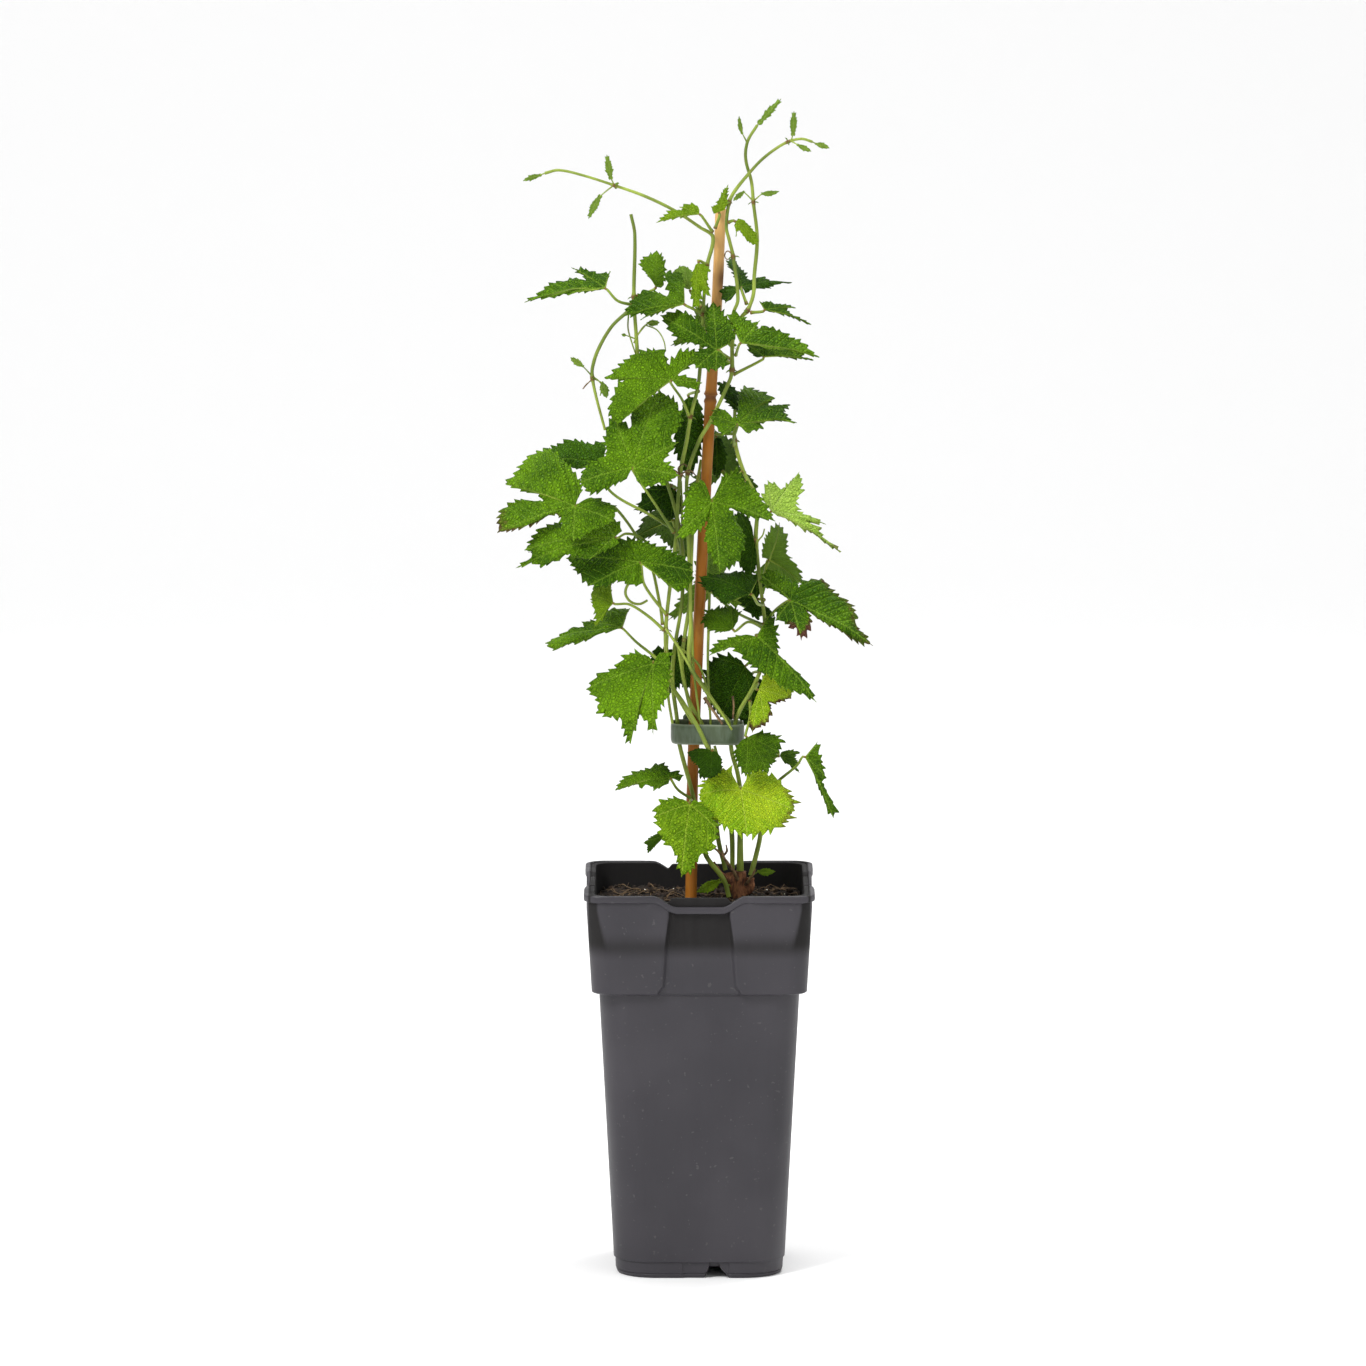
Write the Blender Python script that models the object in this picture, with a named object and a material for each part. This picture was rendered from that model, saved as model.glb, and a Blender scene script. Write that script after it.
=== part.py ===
# A hop plant in a tall square nursery pot, with a bamboo cane and a plastic tie.
# All design values are in millimetres, with +Z up and the front of the pot facing -Y.
# The origin is the middle of the pot's underside, on the floor.
import math

import bmesh
import bpy
import numpy as np

for old in list(bpy.data.objects):
    bpy.data.objects.remove(old, do_unlink=True)

MM = 0.001

# Pot
POT_HEIGHT = 204.6
POT_WALL = 1.8
POT_FLOOR = 8.4
UNDERSIDE = 6.0
PAD_HALF = 14.0
SKIRT_INNER_HALF = 40.8
FOOT_HALF = 43.0
FOOT_TOP = 8.6
BODY_BOTTOM_HALF = 44.8
BODY_TOP_HALF = 52.2
BODY_TOP = 151.4
BAND_BOTTOM = 152.8
BAND_BOTTOM_HALF = 56.0
BAND_TOP = 197.0
BAND_TOP_HALF = 58.6
LIP_HALF = 60.0
LIP_INNER_HALF = 57.6
LIP_SIDE_INSET = 0.8
PANEL_SETBACK = 2.3
PANEL_HALF_TOP = 16.9
PANEL_HALF_BOTTOM = 20.1
DIP_DEPTH = 6.2
DIP_HALF = 27.0
LABEL_TOP = 203.4
CORNER_FOOT = 20.0
CORNER_BODY = 15.0
CORNER_BAND = 10.0

# Soil, cane and tie
SOIL_TOP = 192.4
SOIL_GAP = 0.5
CANE_HOLE = 3.5
TIE_CENTRE = (4.3, 0.0)
TIE_HALF = (19.3, 12.0)
TIE_LOW = 276.6
TIE_HEIGHT = 11.0
TIE_THICK = 1.0
TIE_TAIL = 11.0
TIE_STEPS = 16
TIE_TAIL_STEP = 5

# Leaf blades, and the place from which their margins are drawn
VIEWPOINT = (-8.5, -5000.0, 1015.0)
LEAF_THICK = 0.9
LEAF_BEND = 0.12
NECK_ANGLE = math.radians(20)
LEAST_TURN = math.radians(1)
NECK_RADIUS = 1.0
STALK_RADIUS = 0.75

DEEP = (0.045, 0.11, 0.025)
MID = (0.09, 0.19, 0.035)
LIME = (0.22, 0.34, 0.06)
PALE = (0.20, 0.30, 0.12)
YELLOW = (0.42, 0.42, 0.08)
STEM = (0.22, 0.27, 0.08)


def make_material(name, colour, roughness):
    made = bpy.data.materials.get(name)
    if made is None:
        made = bpy.data.materials.new(name)
        made.use_nodes = True
        shader = made.node_tree.nodes["Principled BSDF"]
        shader.inputs["Base Color"].default_value = (*colour, 1.0)
        shader.inputs["Roughness"].default_value = roughness
        shader.inputs["Metallic"].default_value = 0.0
        made.diffuse_color = (*colour, 1.0)
    return made


def make_object(name, points, faces, material):
    """Closed body from points in millimetres, with its faces turned outwards."""
    shape = bmesh.new()
    corners = [shape.verts.new([c * MM for c in p]) for p in points]
    for face in faces:
        shape.faces.new([corners[i] for i in face])
    bmesh.ops.recalc_face_normals(shape, faces=shape.faces)
    mesh = bpy.data.meshes.new(name)
    shape.to_mesh(mesh)
    shape.free()
    mesh.materials.append(material)
    mesh.shade_smooth()
    mesh.set_sharp_from_angle(angle=math.radians(40))
    made = bpy.data.objects.new(name, mesh)
    bpy.context.scene.collection.objects.link(made)
    return made


def combine(target, other, operation):
    """Fuse or cut with a hidden helper body."""
    other.hide_render = True
    other.hide_set(True)
    other.display_type = "WIRE"
    change = target.modifiers.new(other.name, "BOOLEAN")
    change.operation = operation
    change.solver = "EXACT"
    change.object = other


def unit(vector):
    return vector / np.linalg.norm(vector)


def skin(rings, cap_low=True, cap_high=True):
    """Faces between closed rings of the same number of points."""
    count = len(rings[0])
    points = [p for ring in rings for p in ring]
    faces = []
    for i in range(len(rings) - 1):
        for j in range(count):
            k = (j + 1) % count
            a = i * count
            b = a + count
            faces.append((a + j, a + k, b + k, b + j))
    if cap_low:
        faces.append(tuple(range(count)))
    if cap_high:
        faces.append(tuple(range(len(points) - count, len(points))))
    return points, faces


def tube_rings(path, sides):
    """Rings carried along a path of (x, y, z, radius)."""
    path = np.array(path, dtype=float)
    centre = path[:, :3]
    step = np.diff(centre, axis=0)
    step = step / np.linalg.norm(step, axis=1)[:, None]
    along = np.vstack([step[:1], step[:-1] + step[1:], step[-1:]])
    along = along / np.linalg.norm(along, axis=1)[:, None]
    side = unit(np.cross(along[0], (0.31, 0.95, 0.05)))
    rings = []
    for i in range(len(centre)):
        side = unit(side - along[i] * np.dot(side, along[i]))
        other = np.cross(along[i], side)
        ring = []
        for j in range(sides):
            turn = 2 * math.pi * j / sides
            ring.append(centre[i] + path[i, 3] * (math.cos(turn) * side + math.sin(turn) * other))
        rings.append(ring)
    return rings


def make_tube(name, path, sides, material):
    points, faces = skin(tube_rings(path, sides))
    return make_object(name, points, faces, material)


# Leaves


def blade_ways(facing):
    """Square directions of a blade: off its face, and two along it."""
    up = unit(np.array(facing, dtype=float))
    ahead = unit(np.cross(up, (0.3, 0.2, 0.9)))
    return up, ahead, np.cross(up, ahead)


def opened(turns):
    """Angles that always rise and leave the neck free at both ends."""
    room = LEAST_TURN * np.arange(len(turns))
    for _ in range(2):
        turns = np.maximum.accumulate(np.maximum(turns, NECK_ANGLE) - room) + room
        turns = 2 * math.pi - turns[::-1]
    return turns


def drawn_blade(joint, facing, margin):
    """Neck direction and margin points of a blade from its drawn margin.

    Each point lies where its line of sight meets the blade, which sinks below its plane with the square of
    the distance from the joint.
    """
    up, ahead, left = blade_ways(facing)
    sight = unit(np.array(VIEWPOINT) - joint)
    right = unit(np.cross((0, 0, 1), sight))
    drawn = np.array([p for stretch in margin for p in stretch], dtype=float)
    drawn = drawn[:, :1] * right + drawn[:, 1:] * np.cross(sight, right)
    away = np.linalg.norm(drawn - np.outer(drawn @ up / (sight @ up), sight), axis=1)
    sunk = LEAF_BEND * away ** 2 / away.max()
    points = drawn - np.outer((drawn @ up + sunk) / (sight @ up), sight)
    turns = np.unwrap(np.arctan2(points @ left, points @ ahead))
    if turns[-1] < turns[0]:
        turns, points = turns[::-1], points[::-1]
    neck = 0.5 * (turns[0] + turns[-1]) + math.pi
    turns = opened(turns - neck + 2 * math.pi) + neck
    reach = np.hypot(points @ ahead, points @ left)[:, None]
    edge = reach * (np.cos(turns)[:, None] * ahead + np.sin(turns)[:, None] * left)
    return up, math.cos(neck) * ahead + math.sin(neck) * left, joint + edge + (points @ up)[:, None] * up


def pointed_blade(joint, facing, tip, half_width):
    """Neck direction and margin points of a young blade with one pointed lobe."""
    up = unit(np.array(facing, dtype=float))
    along = np.array(tip) - joint
    across = half_width * unit(np.cross(up, along))
    side = np.array([(0.12, -0.8), (0.35, -1.05), (0.7, -0.55)])
    share = np.vstack([side, [(1.0, 0.0)], side[::-1] * (1, -1)])
    back = -unit(along - up * np.dot(along, up))
    return up, back, joint + share[:, :1] * along + share[:, 1:] * across


def make_leaf(name, joint, blade, stalk, material):
    """Blade and stalk as one body: joint, the blade's face, neck and margin, stalk points."""
    joint = np.array(joint, dtype=float)
    up, back, margin = blade
    last = len(margin) + 1
    neck = [joint + NECK_RADIUS * unit(margin[i] - joint) for i in (0, -1)]
    points = [neck[0], *margin, neck[1], joint + 0.6 * LEAF_THICK * up, joint - 0.6 * LEAF_THICK * up]
    faces = []
    for i in range(last):
        for hub in (last + 1, last + 2):
            faces.append((hub, i, i + 1))
    ring = [0, len(points) - 2, last, len(points) - 1]
    first_out = joint + 2.2 * back - 1.0 * up
    path = [first_out] + [np.array(p[:3], dtype=float) for p in stalk]
    if np.linalg.norm(path[1] - path[0]) < 2.0:
        path = [joint + 0.5 * (path[1] - joint)] + path[1:]
    side_way = neck[0] - neck[1]
    for i, centre in enumerate(path):
        before = joint if i == 0 else path[i - 1]
        after = path[i + 1] if i + 1 < len(path) else centre + (centre - before)
        along = unit(unit(after - centre) + unit(centre - before))
        side_way = unit(side_way - along * np.dot(side_way, along))
        top_way = np.cross(side_way, along)
        if np.dot(top_way, up) < 0 and i == 0:
            top_way = -top_way
        if i > 0:
            last_top = unit(last_top - along * np.dot(last_top, along))
            top_way = last_top
            side_way = np.cross(along, top_way) * handed
        else:
            handed = 1.0 if np.dot(np.cross(along, top_way), side_way) > 0 else -1.0
        last_top = top_way
        start = len(points)
        points.append(centre + STALK_RADIUS * side_way)
        points.append(centre + STALK_RADIUS * top_way)
        points.append(centre - STALK_RADIUS * side_way)
        points.append(centre - STALK_RADIUS * top_way)
        new = [start, start + 1, start + 2, start + 3]
        for j in range(4):
            k = (j + 1) % 4
            faces.append((ring[j], ring[k], new[k], new[j]))
        ring = new
    faces.append(tuple(ring))
    return make_object(name, points, faces, material)


def add_small_leaf(shoot, name, joint, facing, tip, half_width, root):
    """Young leaf fused to the shoot it grows from."""
    colour = make_material("young_leaf", LIME, 0.6)
    small = make_leaf(name, joint, pointed_blade(joint, facing, tip, half_width), [root], colour)
    combine(shoot, small, "UNION")


# Pot


def square_ring(half, corner, band, lift):
    """Rounded square seen from above, with points at the panel edges of each side."""
    quarter = []
    flat = half - corner
    for i in range(2):
        turn = math.radians(-135 + 22.5 * i)
        quarter.append((-flat + corner * math.cos(turn), -flat + corner * math.sin(turn), 0.0))
    quarter.append((-flat, -half, 0.0))
    for x, inward in band:
        quarter.append((x, -half + inward, 1.0))
    quarter.append((flat, -half, 0.0))
    turn = math.radians(-67.5)
    quarter.append((flat + corner * math.cos(turn), -flat + corner * math.sin(turn), 0.0))
    ring = []
    for turns in range(4):
        for x, y, inner in quarter:
            z = lift(x) if inner else lift(half)
            for _ in range(turns):
                x, y = -y, x
            ring.append((x, y, z))
    return ring


def pot_rings():
    def band(half, inward, outer=DIP_HALF):
        return [(-outer, 0.0), (-half, 0.0), (-half + 1.5, inward), (0.0, inward),
                (half - 1.5, inward), (half, 0.0), (outer, 0.0)]

    def level(z):
        return lambda x: z

    def lip(x):
        return POT_HEIGHT - DIP_DEPTH * (1.0 - min(abs(x) / DIP_HALF, 1.0) ** 4)

    def label(x):
        return LABEL_TOP if abs(x) < PANEL_HALF_TOP - 1.0 else POT_HEIGHT

    def under(half, corner, z):
        return square_ring(half, corner, band(6.0, 0.0, 9.0), level(z))

    lip_band = [(x, LIP_SIDE_INSET) for x, inward in band(PANEL_HALF_TOP, 0.0)]
    top = band(PANEL_HALF_TOP, 0.0)
    low = band(PANEL_HALF_BOTTOM, 0.0, 22.4)
    top_in = band(PANEL_HALF_TOP, PANEL_SETBACK)
    low_in = band(PANEL_HALF_BOTTOM, PANEL_SETBACK, 24.0)
    inner_band = BAND_BOTTOM_HALF - PANEL_SETBACK - POT_WALL
    inner_top = BAND_TOP_HALF - PANEL_SETBACK - POT_WALL
    return [
        under(PAD_HALF, 4.0, 0.0),
        under(PAD_HALF, 4.0, UNDERSIDE),
        under(SKIRT_INNER_HALF, CORNER_FOOT - 2.2, UNDERSIDE),
        under(SKIRT_INNER_HALF, CORNER_FOOT - 2.2, 0.0),
        square_ring(FOOT_HALF, CORNER_FOOT, low, level(0.0)),
        square_ring(FOOT_HALF + 0.9, CORNER_FOOT, low, level(2.2)),
        square_ring(BODY_BOTTOM_HALF, CORNER_FOOT, low, level(FOOT_TOP)),
        square_ring(BODY_TOP_HALF, CORNER_BODY, low, level(BODY_TOP)),
        square_ring(BAND_BOTTOM_HALF, CORNER_BAND, low_in, level(BAND_BOTTOM)),
        square_ring(BAND_TOP_HALF, CORNER_BAND, top_in, lambda x: lip(x) - 4.6),
        square_ring(LIP_HALF, CORNER_BAND, lip_band, lambda x: lip(x) - 3.4),
        square_ring(LIP_HALF, CORNER_BAND, lip_band, lip),
        square_ring(LIP_INNER_HALF, CORNER_BAND - 1, top, lip),
        square_ring(LIP_INNER_HALF - 1.0, CORNER_BAND - 2, top, label),
        square_ring(inner_top, CORNER_BAND - 2, top, label),
        square_ring(inner_band, CORNER_BAND, low, level(BAND_BOTTOM + 2)),
        square_ring(BODY_TOP_HALF - POT_WALL, CORNER_BODY - 2, low, level(BODY_TOP)),
        square_ring(BODY_BOTTOM_HALF - POT_WALL, CORNER_FOOT - 2, low, level(POT_FLOOR)),
    ]


def add_pot():
    points, faces = skin(pot_rings())
    pot = make_object("pot", points, faces, make_material("pot_plastic", (0.055, 0.052, 0.056), 0.55))
    # Drain notches, one low on each side
    points = []
    faces = []
    for turns in range(4):
        start = len(points)
        for x, z in ((2.7, -1.0), (15.4, -1.0), (10.6, 8.8), (5.4, 8.8)):
            for y in (-BODY_BOTTOM_HALF - 3, -FOOT_HALF + 6.0):
                a, b = x, y
                for _ in range(turns):
                    a, b = -b, a
                points.append((a, b, z))
        faces += [(start + a, start + b, start + c, start + d) for a, b, c, d in
                  ((0, 2, 4, 6), (1, 7, 5, 3), (0, 1, 3, 2), (2, 3, 5, 4), (4, 5, 7, 6), (6, 7, 1, 0))]
    notch = make_object("drain_cutter", points, faces, make_material("pot_plastic", MID, 0.5))
    combine(pot, notch, "DIFFERENCE")


def add_soil():
    def ring(half, corner, z):
        quarter = []
        flat = half - corner
        for i in range(4):
            turn = math.radians(-180 + 30 * i)
            quarter.append((-flat + corner * math.cos(turn), -flat + corner * math.sin(turn)))
        quarter.append((-0.33 * flat, -half))
        quarter.append((0.33 * flat, -half))
        made = []
        for turns in range(4):
            for x, y in quarter:
                for _ in range(turns):
                    x, y = -y, x
                made.append((x, y, z))
        return made

    low = BODY_BOTTOM_HALF - POT_WALL - SOIL_GAP
    mid = BODY_TOP_HALF - POT_WALL - SOIL_GAP - 0.3
    high = BAND_TOP_HALF - PANEL_SETBACK - POT_WALL - SOIL_GAP - 1.2
    rings = [ring(low, CORNER_FOOT, POT_FLOOR + 0.4), ring(mid, CORNER_BODY, BODY_TOP - 1.0),
             ring(mid + 1.0, CORNER_BODY, BAND_BOTTOM + 3.0),
             ring(high, CORNER_BAND, SOIL_TOP - 4.0), ring(high - 3.0, CORNER_BAND, SOIL_TOP)]
    for share in (0.72, 0.4):
        lump = []
        for j, (x, y, z) in enumerate(ring(high * share, CORNER_BAND * share, SOIL_TOP)):
            lump.append((x, y, z + 1.1 * math.sin(2.3 * j + 5 * share)))
        rings.append(lump)
    points, faces = skin(rings, cap_high=False)
    hub = len(points)
    points.append((0.0, 0.0, SOIL_TOP))
    first = hub - len(rings[0])
    for j in range(len(rings[0])):
        faces.append((first + j, first + (j + 1) % len(rings[0]), hub))
    peat = make_material("peat", (0.03, 0.02, 0.014), 0.95)
    soil = make_object("soil", points, faces, peat)
    bore = make_tube("cane_bore", [(-9.8, 0.6, 56, CANE_HOLE), (-4.3, 2.0, 200, CANE_HOLE)], 8, peat)
    combine(soil, bore, "DIFFERENCE")
    pocket = make_tube("crown_pocket", [(21.5, 8.5, 185, 5.2), (21.5, 8.5, 200, 5.6)], 8, peat)
    combine(soil, pocket, "DIFFERENCE")


def add_cane():
    path = [(-9.7, 0.6, 58, 3.0), (-4.4, 2.0, 194, 3.0), (-3.7, 2.8, 248, 3.0), (-2.9, 3.0, 276, 3.0),
            (0.4, 4.0, 353, 2.95), (4.8, 4.8, 437, 2.9), (5.6, 5.0, 456, 2.9), (6.0, 5.0, 459.5, 3.7),
            (6.3, 5.0, 462, 2.9), (9.2, 5.6, 509, 2.8), (11.1, 6.0, 556, 2.75)]
    make_tube("cane", path, 8, make_material("bamboo", (0.60, 0.33, 0.12), 0.5))


def add_tie():
    rings = []
    for i in range(TIE_STEPS):
        turn = 2 * math.pi * i / TIE_STEPS
        across = math.cos(turn)
        deep = math.sin(turn)
        top = TIE_LOW + TIE_HEIGHT
        if i == TIE_TAIL_STEP:
            top += TIE_TAIL
        ring = []
        for thick, z in ((0.0, TIE_LOW), (TIE_THICK, TIE_LOW), (TIE_THICK, top), (0.0, top)):
            x = TIE_CENTRE[0] + (TIE_HALF[0] - thick) * across
            y = TIE_CENTRE[1] + (TIE_HALF[1] - thick) * deep
            ring.append((x, y, z))
        rings.append(ring)
    rings.append(rings[0])
    points, faces = skin(rings, cap_low=False, cap_high=False)
    wrap = len(points) - 4
    faces = [tuple(i - wrap if i >= wrap else i for i in face) for face in faces]
    make_object("tie", points[:wrap], faces, make_material("tie_plastic", (0.20, 0.24, 0.19), 0.45))


def add_crown():
    bark = make_material("crown_bark", (0.16, 0.07, 0.03), 0.8)
    crown = make_tube("crown", [(21.5, 8.5, 186.5, 4.2), (21.4, 8.5, 194, 4.4), (21.5, 8.5, 200, 3.7),
                                (21.5, 8.5, 207, 3.6)], 8, bark)
    knobs = {
        "left_knob": [(20.0, 9.4, 195.5, 2.6), (16.6, 12.0, 200, 3.2), (15.6, 13.5, 205, 3.2)],
        "right_knob": [(22.0, 8.2, 194.5, 2.2), (26.2, 7.2, 198.5, 2.6), (27.0, 7.0, 203.5, 2.4)],
        "dead_stub": [(18.0, 11.0, 199.0, 1.2), (11.5, 8.0, 206.0, 1.2), (7.5, 7.0, 212.0, 1.0)],
    }
    for name, path in knobs.items():
        combine(crown, make_tube(name, path, 7, bark), "UNION")
    add_small_leaf(crown, "basal_leaf_left", (10.5, 10.0, 201.5), (-0.2, -0.8, 0.5),
                   (-1.5, 5.0, 196.5), 4.0, (19.0, 9.0, 198.0))
    add_small_leaf(crown, "basal_leaf_right", (31.0, 11.0, 206.5), (0.2, -0.7, 0.7),
                   (40.0, 8.0, 207.0), 3.2, (22.5, 9.0, 200.5))


# Bines, each a list of (x, y, z, radius) from its lower end to its tip
BINES = {
    "bine_front": [
        (17.5, 15.0, 207.2, 1.3), (17, 11, 228, 1.3), (14, 4, 245.5, 1.2), (11.5, -6, 262.5, 1.1),
        (4.5, -15.5, 276, 1.1), (-1, -16.5, 287.5, 1.1), (-8.5, -12, 299.5, 1.1), (-15, -8, 309, 1.1),
        (-17, -6, 323.5, 1.1), (-17.5, -6, 337, 1.3), (-15.5, -5, 357.5, 1), (-12.5, -4, 381, 1),
        (-10, -3, 418, 1.4), (-6.5, -4, 436, 1), (-4.5, -4, 448.5, 1.3), (-0.5, -4, 465.5, 0.95),
        (1, -4, 486, 0.95), (2, -4, 502, 1.4), (2.5, -3, 512, 0.9), (4, -3, 527, 1.1),
        (7, -2, 542, 1), (0.5, -3, 547, 0.9), (-13, -4, 556, 0.85), (-28.5, -4, 563.5, 0.8),
        (-44, -4, 569, 1.0), (-61, -5, 574.5, 0.7), (-73, -5, 577, 0.7), (-80, -6, 575.5, 0.8)],
    "bine_twin": [
        (21.5, 8.5, 207.4, 2.0), (21.5, 8, 225.5, 1.5), (22, 4, 245.5, 1.2), (20, 1, 260.5, 1.2),
        (17, 0, 271.5, 1.1), (15.5, -3, 287, 1.1), (11, -5, 293.5, 1.1), (2, -9, 307.5, 1.2),
        (-5, -11, 319.5, 1.1), (-4.5, -10, 342.5, 1), (-5.5, -8, 381.5, 1), (-6.5, 2, 404, 1),
        (-6, 3, 418, 1.3), (0, 0, 435.5, 1), (6, -1, 446, 1), (16, 0, 467.5, 1), (17, 0, 472.5, 1.5),
        (17.5, 1, 489, 1), (22, 1, 500, 1.1), (25, 0, 503.5, 1.4), (28, 0, 511.5, 1),
        (28.5, 0, 521, 0.95), (30, 0, 541, 0.95), (28, 0, 560, 1.1), (27, 0, 570.5, 0.85),
        (24, 0, 582.5, 0.8), (25, 0, 591.5, 0.8), (30, 0, 600, 0.8)],
    "bine_crossing": [
        (19.4, -1.6, 494, 0.9), (17.5, -3, 501.5, 0.9), (20, -4, 509.5, 0.9), (17.5, -4, 532, 1.2),
        (15.5, -3, 540.5, 0.95), (14, -2, 547, 0.9), (15.5, -1, 560, 1.1), (18.5, -1, 566, 0.9),
        (26, -3, 575.5, 0.8), (32, -3, 582, 0.8), (39, -2, 587.5, 0.8), (46, -2, 591.5, 0.9),
        (53, -2, 593, 0.7), (58.5, -2, 591.5, 0.7)],
    "bine_right": [
        (27.0, 7.0, 205.0, 1.5), (30, 10, 216, 1.3), (32, 10, 225.5, 1.2), (33.5, 8, 245, 1.1),
        (29.5, 6, 258, 1.1), (19.6, 2, 275.5, 1.1), (19.4, 2, 288.8, 1.1), (28.5, 3, 306, 1.1),
        (33.5, 3, 319.5, 1), (34.5, 3, 335.5, 1.3), (31.5, 3, 362.5, 1), (29.5, 3, 383.5, 1.1),
        (30, 4, 404, 1), (23, 4, 419, 1), (18.5, 5, 435, 1.3), (18.5, 6, 451, 0.9)],
    "bine_left": [
        (15.6, 3.5, 194.2, 1.3), (13, 4, 203, 1.3), (3.5, 3, 216.5, 1.2), (-0.5, -2, 235.5, 1.1),
        (-3.5, -3, 250, 1.1), (-10.5, -2, 276.5, 1.1), (-11.6, -2, 289, 1.1), (-14, -2, 309, 1.1),
        (-13, -1, 325.5, 1), (-9, -1, 352, 1), (-9, 1, 380.5, 1), (-14, 0, 404.5, 1),
        (-23, -3, 431, 1), (-30, -4, 457, 1), (-33, -4, 494, 1), (-34, -4, 511, 1.4),
        (-33.5, -4, 543.5, 0.9), (-35.5, -4, 554, 0.9)],
    "bine_inner": [
        (13.8, 12.2, 207.2, 1.2), (10, 12, 223.5, 1.2), (8, 9, 245, 1.1), (5.5, 5, 271.5, 1),
        (1.5, -2.5, 286.5, 1), (-5, -3, 298.5, 1), (-9, -2, 316, 1), (-8, -2, 330, 1),
        (-5, -2, 351.5, 1), (-4, 0, 380, 1), (-2.5, 8, 403, 0.9), (1, 12, 424, 0.8)],
    "shoot_left": [
        (-37, -8.4, 504.0, 1), (-45.5, -9, 496, 0.9), (-52.5, -9, 484, 0.9), (-55.5, -9, 474.5, 0.9),
        (-55.5, -9, 469, 1.2), (-53.5, -9, 459, 0.8), (-49, -9, 442, 0.7)],
}

# Young leaves on the shoots: joint, way it faces, tip, half width, point inside the shoot
YOUNG = {
    "bine_front": [
        ((-82.5, -6, 574.5), (0, -0.8, 0.5), (-91.5, -6, 571.5), 1.9, (-79.6, -6, 575.6)),
        ((-46.0, -5, 573.0), (0.1, -0.9, 0.3), (-48.0, -3, 585.0), 2.4, (-44, -4, 569)),
        ((-51.5, -6, 563.5), (-0.2, -0.8, 0.5), (-57.5, -8, 552.0), 2.6, (-45, -4, 568.6))],
    "bine_twin": [
        ((31.5, -1, 601.6), (-0.3, -0.8, 0.4), (42.5, 0, 613.8), 2.3, (29.6, 0, 599.4)),
        ((22.0, -1, 596.0), (0.2, -0.8, 0.4), (20.5, -2, 605.0), 1.6, (24.8, 0, 590.6)),
        ((23.0, -2, 565.5), (-0.1, -0.7, 0.6), (17.5, -4.5, 561.0), 2, (27.8, 0, 560.6)),
        ((32.5, -2, 564.5), (0.2, -0.7, 0.6), (41.5, -4, 566.0), 2.3, (28.2, 0, 560.6))],
    "bine_crossing": [
        ((60.5, -2, 590.4), (0, -0.8, 0.5), (67.5, -2, 588.2), 2.2, (58, -2, 591.6)),
        ((48.5, -3, 595.5), (-0.2, -0.9, 0.3), (49.0, 0, 607.4), 2.3, (47.5, -2, 591.8)),
        ((51.0, -4, 590.0), (0.1, -0.8, 0.5), (58.0, -6, 586.8), 1.9, (47.5, -2, 591.8))],
    "shoot_left": [
        ((-60.5, -10, 475.5), (0, -0.8, 0.5), (-67.0, -9, 480.0), 2.3, (-55.6, -9, 470)),
        ((-50.5, -11, 467.0), (0, -0.9, 0.3), (-48.0, -12, 459.0), 2.9, (-55.2, -9, 469))],
    "bine_left": [
        ((-27.0, -6, 497.5), (0.2, -0.8, 0.5), (-20.5, -7, 498.0), 2.4, (-33, -4, 490)),
        ((-38.0, -5, 491.0), (-0.2, -0.8, 0.4), (-40.5, -5, 491.5), 1.2, (-33, -4, 489))],
}

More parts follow.
